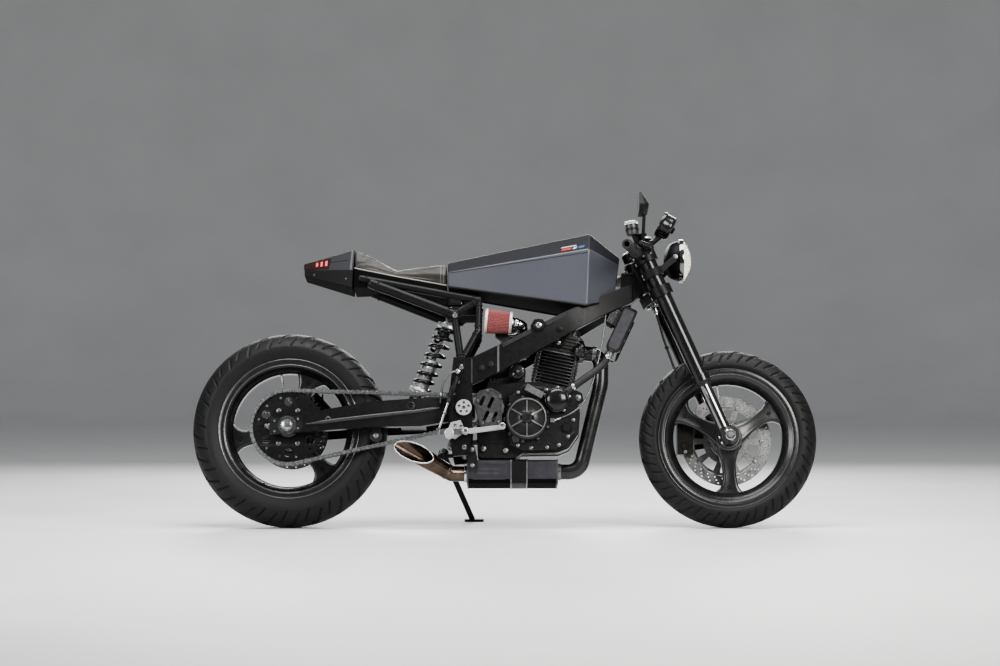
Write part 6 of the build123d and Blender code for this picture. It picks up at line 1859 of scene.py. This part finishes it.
# ------------------------------------------------------------------ rear axle, swingarm pivot
ax = Build()
PX, PZ = -118.0, 379.0
for sgn in (-1, 1):
    holes = [circle(PX + 16 * math.cos(t), PZ + 16 * math.sin(t), 4.2, 20) for t in [math.pi / 2 + 2 * math.pi * k / 5 for k in range(5)]]
    ro = 26 if sgn < 0 else 22
    if sgn > 0:
        holes = [circle(PX + 13 * math.cos(t), PZ + 13 * math.sin(t), 3.4, 20) for t in (math.pi / 2, math.pi / 2 + 2.0944, math.pi / 2 + 4.18879)]
    y1 = 166 if sgn < 0 else 160
    ax.prism(circle(PX, PZ, ro, 56), sgn * (y1 - 6), sgn * y1, 2, holes + [circle(PX, PZ, 6, 24)])
    ax.lathe([(ro - 1, 148.2), (ro, 150), (ro, y1 - 6), (0, y1 - 6)], (PX, 0, PZ), (0, sgn, 0), 56, 1)
    ax.lathe([(6, y1 - 6), (8.5, y1 - 5.5), (8.5, y1 - 0.6), (7.4, y1), (6, y1 - 0.4), (5.4, y1 - 4), (0, y1 - 4)], (PX, 0, PZ), (0, sgn, 0), 32, 0)
ax.rod((PX, -149, PZ), (PX, 149, PZ), 11.8, n=32, mat=0)
# rear axle with nut, washers and knurled adjuster discs
ax.rod((RX, -160, RZ), (RX, 160, RZ), 9.8, n=32, mat=0)
for y0, y1 in ((-111.8, -104.3), (100.3, 111.8)):
    ax.rod((RX, y0, RZ), (RX, y1, RZ), 16, n=32, mat=0)
for sgn in (-1, 1):
    ax.bolt((RX, sgn * 154, RZ), (0, sgn, 0), 14.5, 9.5, "hex", 0, 32)
    ax.lathe([(17, 149), (17, 154), (16, 155.2), (8, 155.4)], (RX, 0, RZ), (0, sgn, 0), 40, 0)
    ax.lathe([(30, 148), (30, 151.4), (28.5, 152.6), (19, 152.6), (18, 151.6), (17, 151.6)], (RX, 0, RZ), (0, sgn, 0), 144, 1, wave=lambda r, h, t: r + (0.9 * math.cos(36 * t) if r > 25 else 0))
    ax.rod((RX, sgn * 160, RZ), (RX, sgn * 163.6, RZ), 7.5, n=24, mat=0)
make("axle_and_pivot", ax, [MAT["steel"], MAT["dark_steel"], MAT["alloy"]], "chassis", angle=38, bevel=0.8, segs=2, stands_for=("rear_axle",))

# ------------------------------------------------------------------ swingarm fittings
sw = Build()
for sgn in (-1, 1):
    # half-round rib along the arm, in a lighter satin grey that paints its highlight
    rib = [(-632, 148.2, 326), (-520, 148.2, 340), (-420, 148.2, 352), (-342, 136.4, 362), (-262, 124.6, 372), (-196, 118.6, 383)]
    pts = []
    for p, q in zip(rib[:-1], rib[1:]):
        for k in range(6):
            t = k / 6
            pts.append(V((p[0] + (q[0] - p[0]) * t, sgn * (p[1] + (q[1] - p[1]) * t), p[2] + (q[2] - p[2]) * t)))
    pts.append(V((rib[-1][0], sgn * rib[-1][1], rib[-1][2])))
    nn = len(pts)
    sw.tube(pts, 6.6, 14, 4, radii=[6.6 * min(1.0, 0.25 + 0.25 * min(k, nn - 1 - k)) for k in range(nn)])
    # axle block plate with screws
    o_ = rounded([(-746, 290), (-652, 300), (-640, 320), (-652, 352), (-746, 345)], 9, 5)
    sw.prism(o_, sgn * 147, sgn * 149.8, 1)
    for x, z in ((-734, 302), (-734, 336), (-658, 312), (-658, 342)):
        sw.bolt((x, sgn * 149.6, z), (0, sgn, 0), 3.8, 3.4, "cap", 2, 18)
    # chain adjuster: bolt, locknut, end cap
    sw.prism(rounded([(-750, 294), (-741, 294), (-741, 350), (-750, 350)], 3, 3), sgn * 110, sgn * 150, 1)
    sw.rod((-748, sgn * 130, 322), (-768, sgn * 130, 322), 4, n=16, mat=2)
    sw.bolt((-750, sgn * 130, 322), (-1, 0, 0), 7.5, 6, "hex", 2)
    sw.bolt((-762, sgn * 130, 322), (-1, 0, 0), 6, 6, "hex", 2)
    # socket in the arm's side, with a turned rim
    sw.lathe([(13, -6), (13, 1.6), (11.6, 2.8), (9.8, 2.2), (9.2, 0.6), (8.6, -3.0), (0, -3.4)], (-290, sgn * 130.2, 388), (-0.16, sgn * 0.985, 0), 36, 1)
    # threaded bush round the stand hole
    sw.ring((-560, sgn * 148, 342), (0, sgn, 0), 9, 4.3, -1, 2.2, 32, 2)
    # edge beads where the arm meets the bridge
    weld_run(sw, (-246, sgn * 84.5, 393.5), (-326, sgn * 96.5, 393.5), 3.2, 0)
    weld_run(sw, (-246, sgn * 84.5, 330.5), (-326, sgn * 96.5, 330.5), 3.2, 0)
# lower chain roller on its bracket
sw.lathe([(0, -104), (12, -104), (20, -102), (17, -98.5), (17, -91.5), (20, -88), (12, -86), (0, -86)], (-405, 0, 292), (0, 1, 0), 40, 3)
sw.prism(rounded([(-414, 284), (-396, 284), (-388, 330), (-422, 330)], 6, 4), -112, -106, 1)
sw.bolt((-405, -112, 292), (0, -1, 0), 6.5, 5.5, "hex", 2)
sw.rod((-405, -110, 292), (-405, -84, 292), 5, n=20, mat=2)
# rubbing strip on the arm's top by the pivot
sw.prism(rounded([(-250, 414.5), (-150, 412), (-150, 418), (-250, 420.5)], 2.4, 3), -112, -84, 3)
make("swingarm_fittings", sw, [MAT["black"], MAT["casting"], MAT["zinc"], MAT["rubber"], MAT["ridge"]], "chassis", angle=38, bevel=0.8, segs=2, bevel_angle=50)

# ------------------------------------------------------------------ rear shock: body, rod, rings and wound spring
SL, SH = V((-280, 0, 418)), V((-164, 0, 694))
sd = (SH - SL).normalized()
LN = (SH - SL).length
sk = Build()
for p, w in ((SL, 13), (SH, 20)):
    sk.ring(p, (0, 1, 0), 16, 8.4, -w, w, 40, 0)
    sk.ring(p, (0, 1, 0), 9.5, 4, -w - 1, w + 1, 28, 3)
    for sgn in (-1, 1):
        sk.rod(p + V((0, sgn * (w - 2), 0)), p + V((0, sgn * (w + 6.5), 0)), 7.6, n=24, mat=1)
sk.rod(SL - V((0, 30, 0)), SL + V((0, 30, 0)), 7.6, n=24, mat=1)
for sgn in (-1, 1):
    sk.bolt(SL + V((0, sgn * 26, 0)), (0, sgn, 0), 9, 6, "hex", 1)
sk.lathe([(12, 8), (12, 24), (18, 27), (21, 30), (21, 33.5), (36, 34), (38, 35.5), (38, 42), (36.5, 44), (24, 44.5), (21.4, 46)], SL, sd, 56, 0)
# threaded lower body with two lock rings
prof = [(21.4, 46)]
for k in range(24):
    h = 48 + k * 3.0
    prof += [(21.6, h), (20.4, h + 1.5)]
prof += [(21.4, 122), (21.4, 146), (19, 149), (12, 150)]
sk.lathe(prof, SL, sd, 48, 0)
for h in (66, 86):
    sk.lathe([(21, h), (23.2, h + 0.4), (23.8, h + 1.6), (23.8, h + 5.2), (23.2, h + 6.4), (21, h + 6.8)], SL, sd, 48, 1)
sk.lathe([(9, 149), (9, LN - 60), (9, LN - 40)], SL, sd, 36, 2)
sk.lathe([(9.2, LN - 66), (15, LN - 64), (17.5, LN - 58), (16, LN - 52), (18, LN - 46), (18, LN - 36), (9.2, LN - 34)], SL, sd, 36, 3)
sk.lathe([(9.2, LN - 35), (34, LN - 34.5), (36, LN - 33), (36, LN - 24), (34.5, LN - 22), (26, LN - 21), (17, LN - 16), (13, LN - 10)], SL, sd, 56, 0)
make("shock_body", sk, [MAT["alloy"], MAT["zinc"], MAT["chrome"], MAT["rubber"]], "chassis", angle=38, stands_for=("shock_absorber",))
sg = Build()
k1, k2, _ = basis(sd)
turns, h0, h1 = 6.9, 49.0, LN - 39.5
path = []
N = 260
for k in range(N + 1):
    t = k / N
    ang = 2 * math.pi * turns * t
    ease = t - 0.016 * math.sin(2 * math.pi * t)
    path.append(SL + sd * (h0 + (h1 - h0) * ease) + k1 * (30.0 * math.cos(ang)) + k2 * (30.0 * math.sin(ang)))
sg.tube(path, 6.3, 16, 0)
make("wound_spring", sg, [MAT["gloss_black"]], "chassis", angle=60, stands_for=("shock_spring",))

# ------------------------------------------------------------------ brake calipers
for n_ in ("front_caliper", "rear_caliper"):
    dress(n_, MAT["bronze"], 3.5, 30, 3)


def caliper_fittings(name, c, rot, size, body, out):
    """Pistons, bridge bolts, pads and bleed screw on a box-shaped caliper."""
    b = Build()
    sx, sy, sz = size
    for sgn in (-1, 1):
        for k in (-1, 1):
            b.lathe([(14.5, -2), (14.5, 1.4), (13, 2.8), (9, 2.8), (8, 1.6), (0, 1.4)], c + rot @ V((k * sx * 0.24 if sx > sz else 0, sgn * sy / 2, k * sz * 0.24 if sz >= sx else 4)), (0, sgn, 0), 40, 0)
    for k in (-1, 1):
        e_ = V((k * (sx / 2 - 9), 0, 0)) if sx > sz else V((0, 0, k * (sz / 2 - 9)))
        for sgn in (-1, 1):
            b.bolt(c + rot @ (e_ + V((0, sgn * (sy / 2 - 0.4), 0))), (0, sgn, 0), 6.0, 5, "cap", 1, 24)
    # pads seen in the slot
    for sgn in (-1, 1):
        b.box(c + rot @ V((0, sgn * 7.6, -3 if sx > sz else 0)), (sx * 0.74 if sx > sz else sx * 0.8, 3.0, sz * 0.7), rot, 2)
    p = c + rot @ out
    d = (rot @ out).normalized()
    b.rod(p - d * 2, p + d * 9, 4, n=18, mat=1)
    b.rod(p + d * 9, p + d * 15, 3, n=16, mat=3)
    make(name, b, [MAT["bronze"], MAT["zinc"], MAT["dark_steel"], MAT["rubber"]], body, angle=38, bevel=0.6, segs=1)


caliper_fittings("front_caliper_fittings", V((614.3, 60.5, 301.7)), Matrix.Identity(3), (52, 62, 112), "steering", V((-20, 12, 56)))
caliper_fittings("rear_caliper_fittings", V((RX + 96, 83.5, RZ + 88)), Matrix.Rotation(math.radians(47.5), 3, "Y"), (92, 50, 44), "chassis", V((-20, 0, 22)))

# ------------------------------------------------------------------ foot controls
dress("footrests", MAT["alloy"], 1.2, 35, 2)
dress("foot_levers", MAT["alloy"], 1.6, 35, 2)
ft = Build()
for sgn in (-1, 1):
    # grooved peg sleeve
    prof = [(12.2, 166)]
    for k in range(9):
        y = 170 + 7 * k
        prof += [(12.4, y), (14.4, y + 0.8), (14.4, y + 4.2), (12.4, y + 5.0)]
    prof += [(12.6, 235), (11, 237.6), (0, 238)]
    ft.lathe(prof, (-164, 0, 288), (0, sgn, 0), 40, 0)
    ft.bolt((-164, sgn * 159, 288), (0, -sgn, 0), 8, 5, "hex", 1)
    for x, z in ((-146, 322), (-126, 318)):
        ft.bolt((x, sgn * 160.0, z), (0, sgn, 0), 5, 5, "cap", 1, 20)
    # lever pivot and ribbed toe rubber
    ft.bolt((-112, sgn * 182, 300), (0, sgn, 0), 8, 6, "cap", 1, 24)
    zt = 313 if sgn < 0 else 323
    prof = [(8.2, 184)]
    for k in range(5):
        y = 186 + 5.4 * k
        prof += [(8.4, y), (9.8, y + 0.8), (9.8, y + 3.2), (8.4, y + 4.0)]
    prof += [(8.6, 213), (7.4, 214), (0, 214.0)]
    ft.lathe(prof, (8, 0, zt), (0, sgn, 0), 28, 2 if sgn > 0 else 0)
# rear brake: upright cylinder, push rod and clevis on the right
ma, mb = V((-140, -160, 476)), V((-164, -160, 410))
md_ = (mb - ma).normalized()
ft.lathe([(0, -4), (8, -4), (9.5, -2), (9.5, 30), (11.5, 32), (11.5, 44), (9.5, 46), (9.5, (mb - ma).length - 3), (7.5, (mb - ma).length)], ma, md_, 32, 3)
ft.lathe([(7.5, 0), (8.6, 2), (7.2, 5), (8.2, 8), (6.6, 11), (7.2, 14), (4.4, 17)], mb, md_, 28, 2)
rb_ = V((-199, -160, 306))
ft.rod(mb + md_ * 10, rb_, 4.2, n=20, mat=1)
ft.bolt(mb + (rb_ - mb).normalized() * 50, (rb_ - mb), 6.5, 6, "hex", 1)
for z in (462, 424):
    p = ma.lerp(mb, (476 - z) / 66)
    ft.box(p + V((2, 8, 0)), (15, 12, 9), None, 3)
    ft.bolt(p + V((9, 0.4, 0)), (0, -1, 0), 4.5, 5, "cap", 1, 20)
ft.box(rb_ + V((0, 0, -4)), (13, 14, 20), Matrix.Rotation(-0.36, 3, "Y"), 1)
ft.rod(rb_ + V((0, 11, -8)), rb_ + V((0, -11, -8)), 4.5, n=18, mat=1)
ft.prism(rounded([(-114, 291), (-196, 290), (-206, 297), (-198, 306), (-114, 309)], 5, 4), -168, -163, 1)
# rod from the gear lever to the gearbox on the left
ft.rod((-60, 164, 306), (-20, 164, 352), 4, n=18, mat=1)
for x, z in ((-60, 306), (-20, 352)):
    ft.lathe([(0, -6), (8, -6), (9, -3), (9, 3), (8, 6), (0, 6)], (x, 164, z), (0, 1, 0), 24, 1)
ft.rod((-60, 158, 306), (-60, 176, 306), 4, n=16, mat=1)
ft.rod((-20, 108, 352), (-20, 168, 352), 6, n=20, mat=1)
make("foot_control_fittings", ft, [MAT["alloy"], MAT["steel"], MAT["rubber"], MAT["black"]], "chassis", angle=38, bevel=0.6, segs=1, bevel_angle=50)
dress("side_stand", MAT["black"], 1.6, 35, 2)
ss = Build()
ss.bolt((-190, 160.5, 262), (0, 1, 0), 8, 6.5, "hex", 0)
make("stand_pivot_bolt", ss, [MAT["steel"]], "chassis")

# ------------------------------------------------------------------ under-seat electrics, held on the battery tray
el = Build()
for x, z, w, h, y in ((-146, 742, 46, 30, -84), (-146, 711, 40, 22, -82), (-104, 738, 30, 34, -82)):
    el.box((x, y - 6, z), (w, 22, h), None, 0)
    el.box((x, y - 18.5, z), (w * 0.8, 4, h * 0.7), None, 0)
    for k in range(4):
        el.box((x - w * 0.3 + w * 0.2 * k, y - 20.5, z), (2.4, 2, h * 0.56), None, 0)
    el.rod((x - w / 2 + 5, y - 16, z + h / 2 - 5), (x - w / 2 + 5, y - 19.2, z + h / 2 - 5), 3, n=16, mat=1)
    el.rod((x + w / 2 - 5, y - 16, z - h / 2 + 5), (x + w / 2 - 5, y - 19.2, z - h / 2 + 5), 3, n=16, mat=1)
el.box((-128, -80, 728), (98, 4, 66), None, 2)
for y in (-50, 0, 50):
    el.box((-104, y, 757.5), (80, 12, 3.2), None, 2)
for sgn in (-1, 1):
    el.bolt((-84, sgn * 40, 756), (0, 0, 1), 5, 4.5, "hex", 1)
make("electrics_tray", el, [MAT["plastic"], MAT["steel"], MAT["black"]], "chassis", angle=38, bevel=1.2, segs=2)

# ------------------------------------------------------------------ fork, yokes, front axle
for n_ in ("lower_yoke", "upper_yoke"):
    dress(n_, MAT["black"], 2.5, 35, 3)
dress("fork_outer_tubes", MAT["gloss_black"], 0.8, 40, 2)
# sliders in the darkened chrome: painted shade in the reflection
dress("fork_sliders", MAT["chrome_painted_shade"], 0)
dress("fork_feet", MAT["casting"], 3.0, 35, 3)
dress("front_axle", MAT["steel"], 1.0, 35, 2)
dress("front_brake_hose", MAT["rubber"], 0)
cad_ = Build()
for sgn in (-1, 1):
    y = sgn * 105
    # dust seal, scraper lip and collar rings
    p = lambda s: leg(s, y)
    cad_.lathe([(20.7, -6), (24, -5), (25.5, -3), (25.5, 2), (28, 3), (29.4, 5), (29.4, 9), (27.5, 10.5)], p(190), UP, 56, 1)
    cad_.ring(p(221), UP, 29.8, 27, -2.2, 2.2, 56, 0)
    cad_.ring(p(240), UP, 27.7, 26, -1.2, 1.2, 56, 0)
    for s in (505, 546, 670, 700):
        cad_.ring(p(s), UP, 27.8, 26, -1.0, 1.0, 56, 0)
    # fork cap: hex, adjuster, preload rings
    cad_.lathe([(26.6, 698), (26.6, 702.6), (25, 704), (20.4, 704.4), (20.4, 708.6), (19, 710), (11, 710.4)], leg(0, y), UP, 48, 2)
    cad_.bolt(p(704), UP, 13.5, 6.4, "hex", 2, 32)
    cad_.lathe([(6, 0), (6, 1.6), (4.6, 2.6), (0, 2.6)], p(709.6), UP, 24, 3)
    # pinch bolts on both yokes
    for s in (525, 685):
        for k in ((-9, 9) if s == 525 else (0,)):
            q = leg(s + k, sgn * 105, -35 if s == 525 else -33.5)
            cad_.bolt(q + V((0, 0, 0)), -AHEAD, 5, 5, "cap", 3, 20)
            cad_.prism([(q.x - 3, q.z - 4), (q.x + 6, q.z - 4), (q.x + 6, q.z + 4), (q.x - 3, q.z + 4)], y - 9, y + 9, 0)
    # fork foot: pinch bolts, drain screw, guard boss
    for s in (-12, 8):
        q = leg(s, sgn * 105, -24)
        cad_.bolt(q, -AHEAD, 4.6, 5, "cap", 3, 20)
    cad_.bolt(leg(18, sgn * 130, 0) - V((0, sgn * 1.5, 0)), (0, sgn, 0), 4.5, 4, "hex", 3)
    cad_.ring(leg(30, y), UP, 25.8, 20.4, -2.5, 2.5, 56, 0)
    # axle end: flange, bore and hex
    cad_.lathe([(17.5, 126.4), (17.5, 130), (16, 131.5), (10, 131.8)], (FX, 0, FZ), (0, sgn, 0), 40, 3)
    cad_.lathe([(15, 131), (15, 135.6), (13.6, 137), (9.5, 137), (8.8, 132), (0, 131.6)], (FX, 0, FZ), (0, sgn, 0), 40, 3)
# steering stem nuts, lock and key barrel
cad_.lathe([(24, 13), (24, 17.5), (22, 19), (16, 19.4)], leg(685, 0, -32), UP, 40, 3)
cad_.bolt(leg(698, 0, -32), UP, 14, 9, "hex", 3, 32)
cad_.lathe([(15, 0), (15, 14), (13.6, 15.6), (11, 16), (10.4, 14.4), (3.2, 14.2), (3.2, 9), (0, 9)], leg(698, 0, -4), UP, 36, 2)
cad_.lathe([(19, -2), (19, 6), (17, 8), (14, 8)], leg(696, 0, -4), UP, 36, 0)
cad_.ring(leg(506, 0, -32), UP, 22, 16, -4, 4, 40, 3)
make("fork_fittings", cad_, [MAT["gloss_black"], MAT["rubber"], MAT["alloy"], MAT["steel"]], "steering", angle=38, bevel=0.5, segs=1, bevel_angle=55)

# brake hose: unions, clips and grommet
bh = Build()
HOSE = [V((520, 62, 742)), V((548, 66, 640)), V((590, 70, 520)), V((604, 74, 420)), V((608, 78, 354))]
d0, d1 = (HOSE[1] - HOSE[0]).normalized(), (HOSE[-1] - HOSE[-2]).normalized()
bh.rod(HOSE[0] - d0 * 2, HOSE[0] + d0 * 22, 6, n=24, mat=0)
bh.bolt(HOSE[0] + d0 * 10, d0, 7.5, 7, "hex", 0)
bh.rod(HOSE[-1] - d1 * 24, HOSE[-1] + d1 * 2, 5.6, n=24, mat=0)
bh.bolt(HOSE[-1] - d1 * 16, d1, 7, 7, "hex", 0)
for k, t in ((1, 0.25), (2, 0.5), (2, 0.95)):
    p = HOSE[k].lerp(HOSE[k + 1], t)
    d = (HOSE[k + 1] - HOSE[k]).normalized()
    bh.ring(p, d, 6.2, 3.8, -4.5, 4.5, 28, 1)
    bh.box(p + V((3, 12, 1)), (7, 20, 6), Matrix.Rotation(0.42, 3, "Y"), 1)
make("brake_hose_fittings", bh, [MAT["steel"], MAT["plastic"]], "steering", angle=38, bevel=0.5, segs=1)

# ------------------------------------------------------------------ bars, grips, levers
dress("clip_on_bars", MAT["black"], 1.2, 35, 2)
dress("hand_levers", MAT["black"], 1.4, 35, 2)
BU = V((-0.26185, 0.964979, 0.015822))
BE = V((408, 352, 884))
hb_ = Build()
gr = Build()
for sgn in (-1, 1):
    fl_ = lambda p: V((p.x, sgn * p.y, p.z))
    u, e = fl_(BU), fl_(BE)
    # ribbed grip with end flanges; the bar's bore stays open
    prof = [(11.2, -124), (19, -124), (20, -122.6), (20, -119.8), (18.6, -118.6), (16.2, -118)]
    for k in range(19):
        h = -115 + 5.7 * k
        prof += [(15.1, h), (16.4, h + 0.9), (16.4, h + 4.0), (15.1, h + 4.9)]
    prof += [(16.4, -5.0), (17.2, -4.4), (17.2, -2.6), (16.2, -2.0), (11.2, -2.0)]
    gr.lathe(prof, e, u, 48, 0, wave=lambda r, h, t: r + (0.22 * math.cos(24 * t) if 15.5 < r < 17 else 0))
    gr.ring(e, u, 11.4, 8.2, -3.0, -1.2, 40, 1)
    # clip-on clamp bolts and split
    for s in (638, 658):
        q = leg(s, sgn * 105, -36)
        hb_.bolt(q, -AHEAD, 5, 5.4, "cap", 1, 20)
    q = leg(648, sgn * 105, -36)
    hb_.box(q + AHEAD * 2, (7, 16, 30), Matrix.Rotation(-RAKE, 3, "Y"), 0)
    # perch clamp, pivot screw and switch housing
    pc_ = e - u * 158
    hb_.ring(pc_, u, 18.4, 15, -9, 9, 44, 0)
    hb_.bolt(pc_ + V((18, 0, 6)), (1, 0, 0.3), 4.4, 4.4, "cap", 1, 20)
    hb_.bolt(pc_ + V((18, 0, -8)), (1, 0, -0.3), 4.4, 4.4, "cap", 1, 20)
    hinge = fl_(V((491.37, 203.53, 893.5)))
    hb_.rod(hinge - V((0, 0, 12)), hinge + V((0, 0, 12)), 9, n=28, mat=0)
    hb_.bolt(hinge + V((0, 0, 12)), (0, 0, 1), 6.4, 3.4, "dome", 1, 24)
    hb_.bolt(hinge - V((0, 0, 12)), (0, 0, -1), 5.6, 5, "hex", 1)
    sc = e - u * 134
    hb_.lathe([(11.4, -7.5), (20, -7.5), (22, -6), (22, 6), (20, 7.5), (11.4, 7.5)], sc, u, 36, 2)
    hb_.box(sc + V((-4, 0, 22)), (24, 14, 12), None, 2)
    hb_.box(sc + V((-15, 0, 24)), (5, 9, 7), None, 3)
    hb_.rod(sc + V((-10, 0, -18)), sc + V((-17, 0, -26)), 5, n=20, mat=2)
# brake master cylinder and reservoir on the right, bright lid with screws
R0 = V((475.37, -189.53, 905.5))
hb_.lathe([(21.2, 12), (22.4, 13), (22.4, 17), (21.2, 18.4), (17, 19.6), (0, 20)], R0 + V((0, 0, 12)), (0, 0, 1), 48, 4)
for k in range(3):
    t = math.radians(30 + 120 * k)
    hb_.bolt(R0 + V((17.5 * math.cos(t), 17.5 * math.sin(t), 31.0)), (0, 0, 1), 2.6, 1.4, "cap", 1, 16)
hb_.ring(R0 + V((0, 0, 2)), (0, 0, 1), 22.2, 20, -2, 2, 48, 0)
hb_.ring(R0 + V((0, 0, 10)), (0, 0, 1), 22.2, 20, -2, 2, 48, 0)
hb_.lathe([(0, -2), (8, -2), (8.6, 0), (8.6, 3), (0, 3)], R0 + V((-6, 21, 0)), (0, 1, 0), 28, 1)
hb_.bolt(R0 + V((-4, 22, -20)), (0, 1, 0), 6.5, 7, "hex", 1)
# brake fluid cup on a stem above the master cylinder, bright knurled lid
RC, RCU = V((433, -235, 934)), V((-0.12, 0, 1)).normalized()
hb_.lathe([(0, 0), (14, 0), (18, 1.5), (20, 6), (20.8, 34), (20.8, 36)], RC, RCU, 44, 5)
hb_.lathe([(20.8, 35), (22.6, 36), (22.6, 45), (21.4, 46.6), (17, 47.4), (15.6, 46.4), (0, 46.4)], RC, RCU, 88, 4, wave=lambda r, h, t: r + (0.6 * math.cos(44 * t) if r > 22 else 0))
hb_.rod((452, -201, 902), RC + RCU * 6, 6, n=24, mat=0)
hb_.ring(RC + RCU * 20, RCU, 22.0, 20.2, -4, 4, 44, 0)
# cable adjuster on the clutch side
ca0 = V((491.37, 203.53, 893.5)) - BU * 18 + V((-8, 0, 0))
hb_.lathe([(0, 0), (5, 0), (5, 6), (8, 7), (8, 13), (5, 14), (4, 24), (0, 24)], ca0, -BU, 28, 1, wave=lambda r, h, t: r + (0.5 * math.cos(14 * t) if r > 7 else 0))
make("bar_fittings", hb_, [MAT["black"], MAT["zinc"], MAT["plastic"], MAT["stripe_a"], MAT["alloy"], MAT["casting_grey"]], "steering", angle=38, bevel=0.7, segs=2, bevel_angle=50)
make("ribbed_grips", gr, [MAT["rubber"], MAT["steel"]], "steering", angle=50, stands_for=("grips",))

# ------------------------------------------------------------------ mirror
dress("mirror_glass", MAT["mirror"], 0)
MO = [(-62, -14), (-50, -30), (50, -34), (66, -8), (30, 40), (-34, 34)]
mr = Build()
MC = V((467, -300, 1026))
loop0 = rounded(MO, 9, 6)
rings_ = [(-16.0, 0.985), (-12, 1.0), (-4, 0.995), (4, 0.93), (10, 0.78), (13.2, 0.52), (14, 0.2)]
n_ = len(loop0)
verts, faces = [], []
for x, k in rings_:
    for dy, dz in loop0:
        deep = min(1.0, max(0.14, (44 - dz * k) / 46))
        verts.append(MC + V((-16 + (x + 16) * deep, dy * k, dz * k)))
for i in range(len(rings_) - 1):
    for k in range(n_):
        j = (k + 1) % n_
        faces.append((i * n_ + k, (i + 1) * n_ + k, (i + 1) * n_ + j, i * n_ + j))
faces.append(tuple((len(rings_) - 1) * n_ + k for k in reversed(range(n_))))
faces.append(tuple(range(n_)))
mr.add(verts, faces, 0)
lip_o = [(a, c) for a, c in loop0]
lip_i = [(a * 0.955, c * 0.93) for a, c in loop0]
mr.plate(lip_o, [lip_i], MC + V((-18.6, 0, 0)), (0, 1, 0), (0, 0, 1), 3.4, 0)
# stalk with its foot nut and ball joint
m0, m1 = V((465.37, -199.53, 895.5)), MC + V((2, 34, -22))
md1 = (m1 - m0).normalized()
mr.rod(m0, m1, 6, 5.2, 28, 0)
mr.bolt(m0 + md1 * 10, md1, 9, 8, "hex", 0)
mr.lathe([(0, -11), (5, -10), (9, -6), (10.5, 0), (9, 6), (5, 10), (0, 11)], m1, md1, 28, 0)
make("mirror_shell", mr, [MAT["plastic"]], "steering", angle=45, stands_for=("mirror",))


# ------------------------------------------------------------------ floor, light and camera
floor_me = bpy.data.meshes.new("floor")
# round studio floor that curves up all the way about
sweep = [(4.0, 0.0), (8.0, 0.0), (11.0, 0.0)]
sweep += [(11.0 + 5.0 * math.sin(math.radians(a)), 5.0 - 5.0 * math.cos(math.radians(a))) for a in range(5, 91, 5)]
sweep += [(16.0, 9.0)]
SEG = 96
rows_ = [(r * math.cos(2 * math.pi * k / SEG), r * math.sin(2 * math.pi * k / SEG), z) for r, z in sweep for k in range(SEG)]
quads_ = [(i * SEG + k, (i + 1) * SEG + k, (i + 1) * SEG + (k + 1) % SEG, i * SEG + (k + 1) % SEG) for i in range(len(sweep) - 1) for k in range(SEG)]
floor_me.from_pydata(rows_, [], [tuple(range(SEG))] + quads_)
floor_me.polygons.foreach_set("use_smooth", [True] * (len(quads_) + 1))
floor = bpy.data.objects.new("floor", floor_me)
scene.collection.objects.link(floor)
floor_me.materials.append(material("studio_floor", ((0.60, 0.60, 0.595, 1), (0.64, 0.64, 0.635, 1)), (0.5, 0.6), 0.0, 1.2, 0.05, 40, spec=0.3))

world = bpy.data.worlds.new("studio")
scene.world = world
world.use_nodes = True
bg = world.node_tree.nodes["Background"]
bg.inputs["Color"].default_value = (0.80, 0.82, 0.85, 1)
bg.inputs["Strength"].default_value = 0.38


def area(name, at, target, size, power, colour=(1, 1, 1)):
    d = bpy.data.lights.new(name, "AREA")
    d.shape = "RECTANGLE"
    d.size, d.size_y = size
    d.energy = power
    d.color = colour
    o = bpy.data.objects.new(name, d)
    o.location = at
    o.rotation_euler = (V(target) - V(at)).to_track_quat("-Z", "Y").to_euler()
    scene.collection.objects.link(o)


area("top_softbox", (0.2, -0.6, 3.4), (0, 0, 0.4), (3.6, 1.6), 190)
area("key_softbox", (2.6, -3.6, 2.4), (0.1, 0, 0.6), (2.0, 1.6), 190, (1, 0.98, 0.95))
area("fill_softbox", (-3.2, -3.0, 1.6), (-0.2, 0, 0.5), (1.8, 1.6), 110, (0.96, 0.98, 1))
area("back_softbox", (0.0, 3.4, 2.2), (0, 0, 0.6), (3.6, 1.2), 150)

cam_d = bpy.data.cameras.new("camera")
cam_d.lens = 36.0 * 9.0 / 3.29
cam_d.sensor_width = 36.0
cam = bpy.data.objects.new("camera", cam_d)
cam.location = (-0.0156, -9.0 - 0.1382, 0.6415)
cam.rotation_euler = (math.radians(90), 0, 0)
scene.collection.objects.link(cam)
scene.camera = cam
scene.view_settings.view_transform = "AgX"
scene.view_settings.look = "AgX - Medium High Contrast"
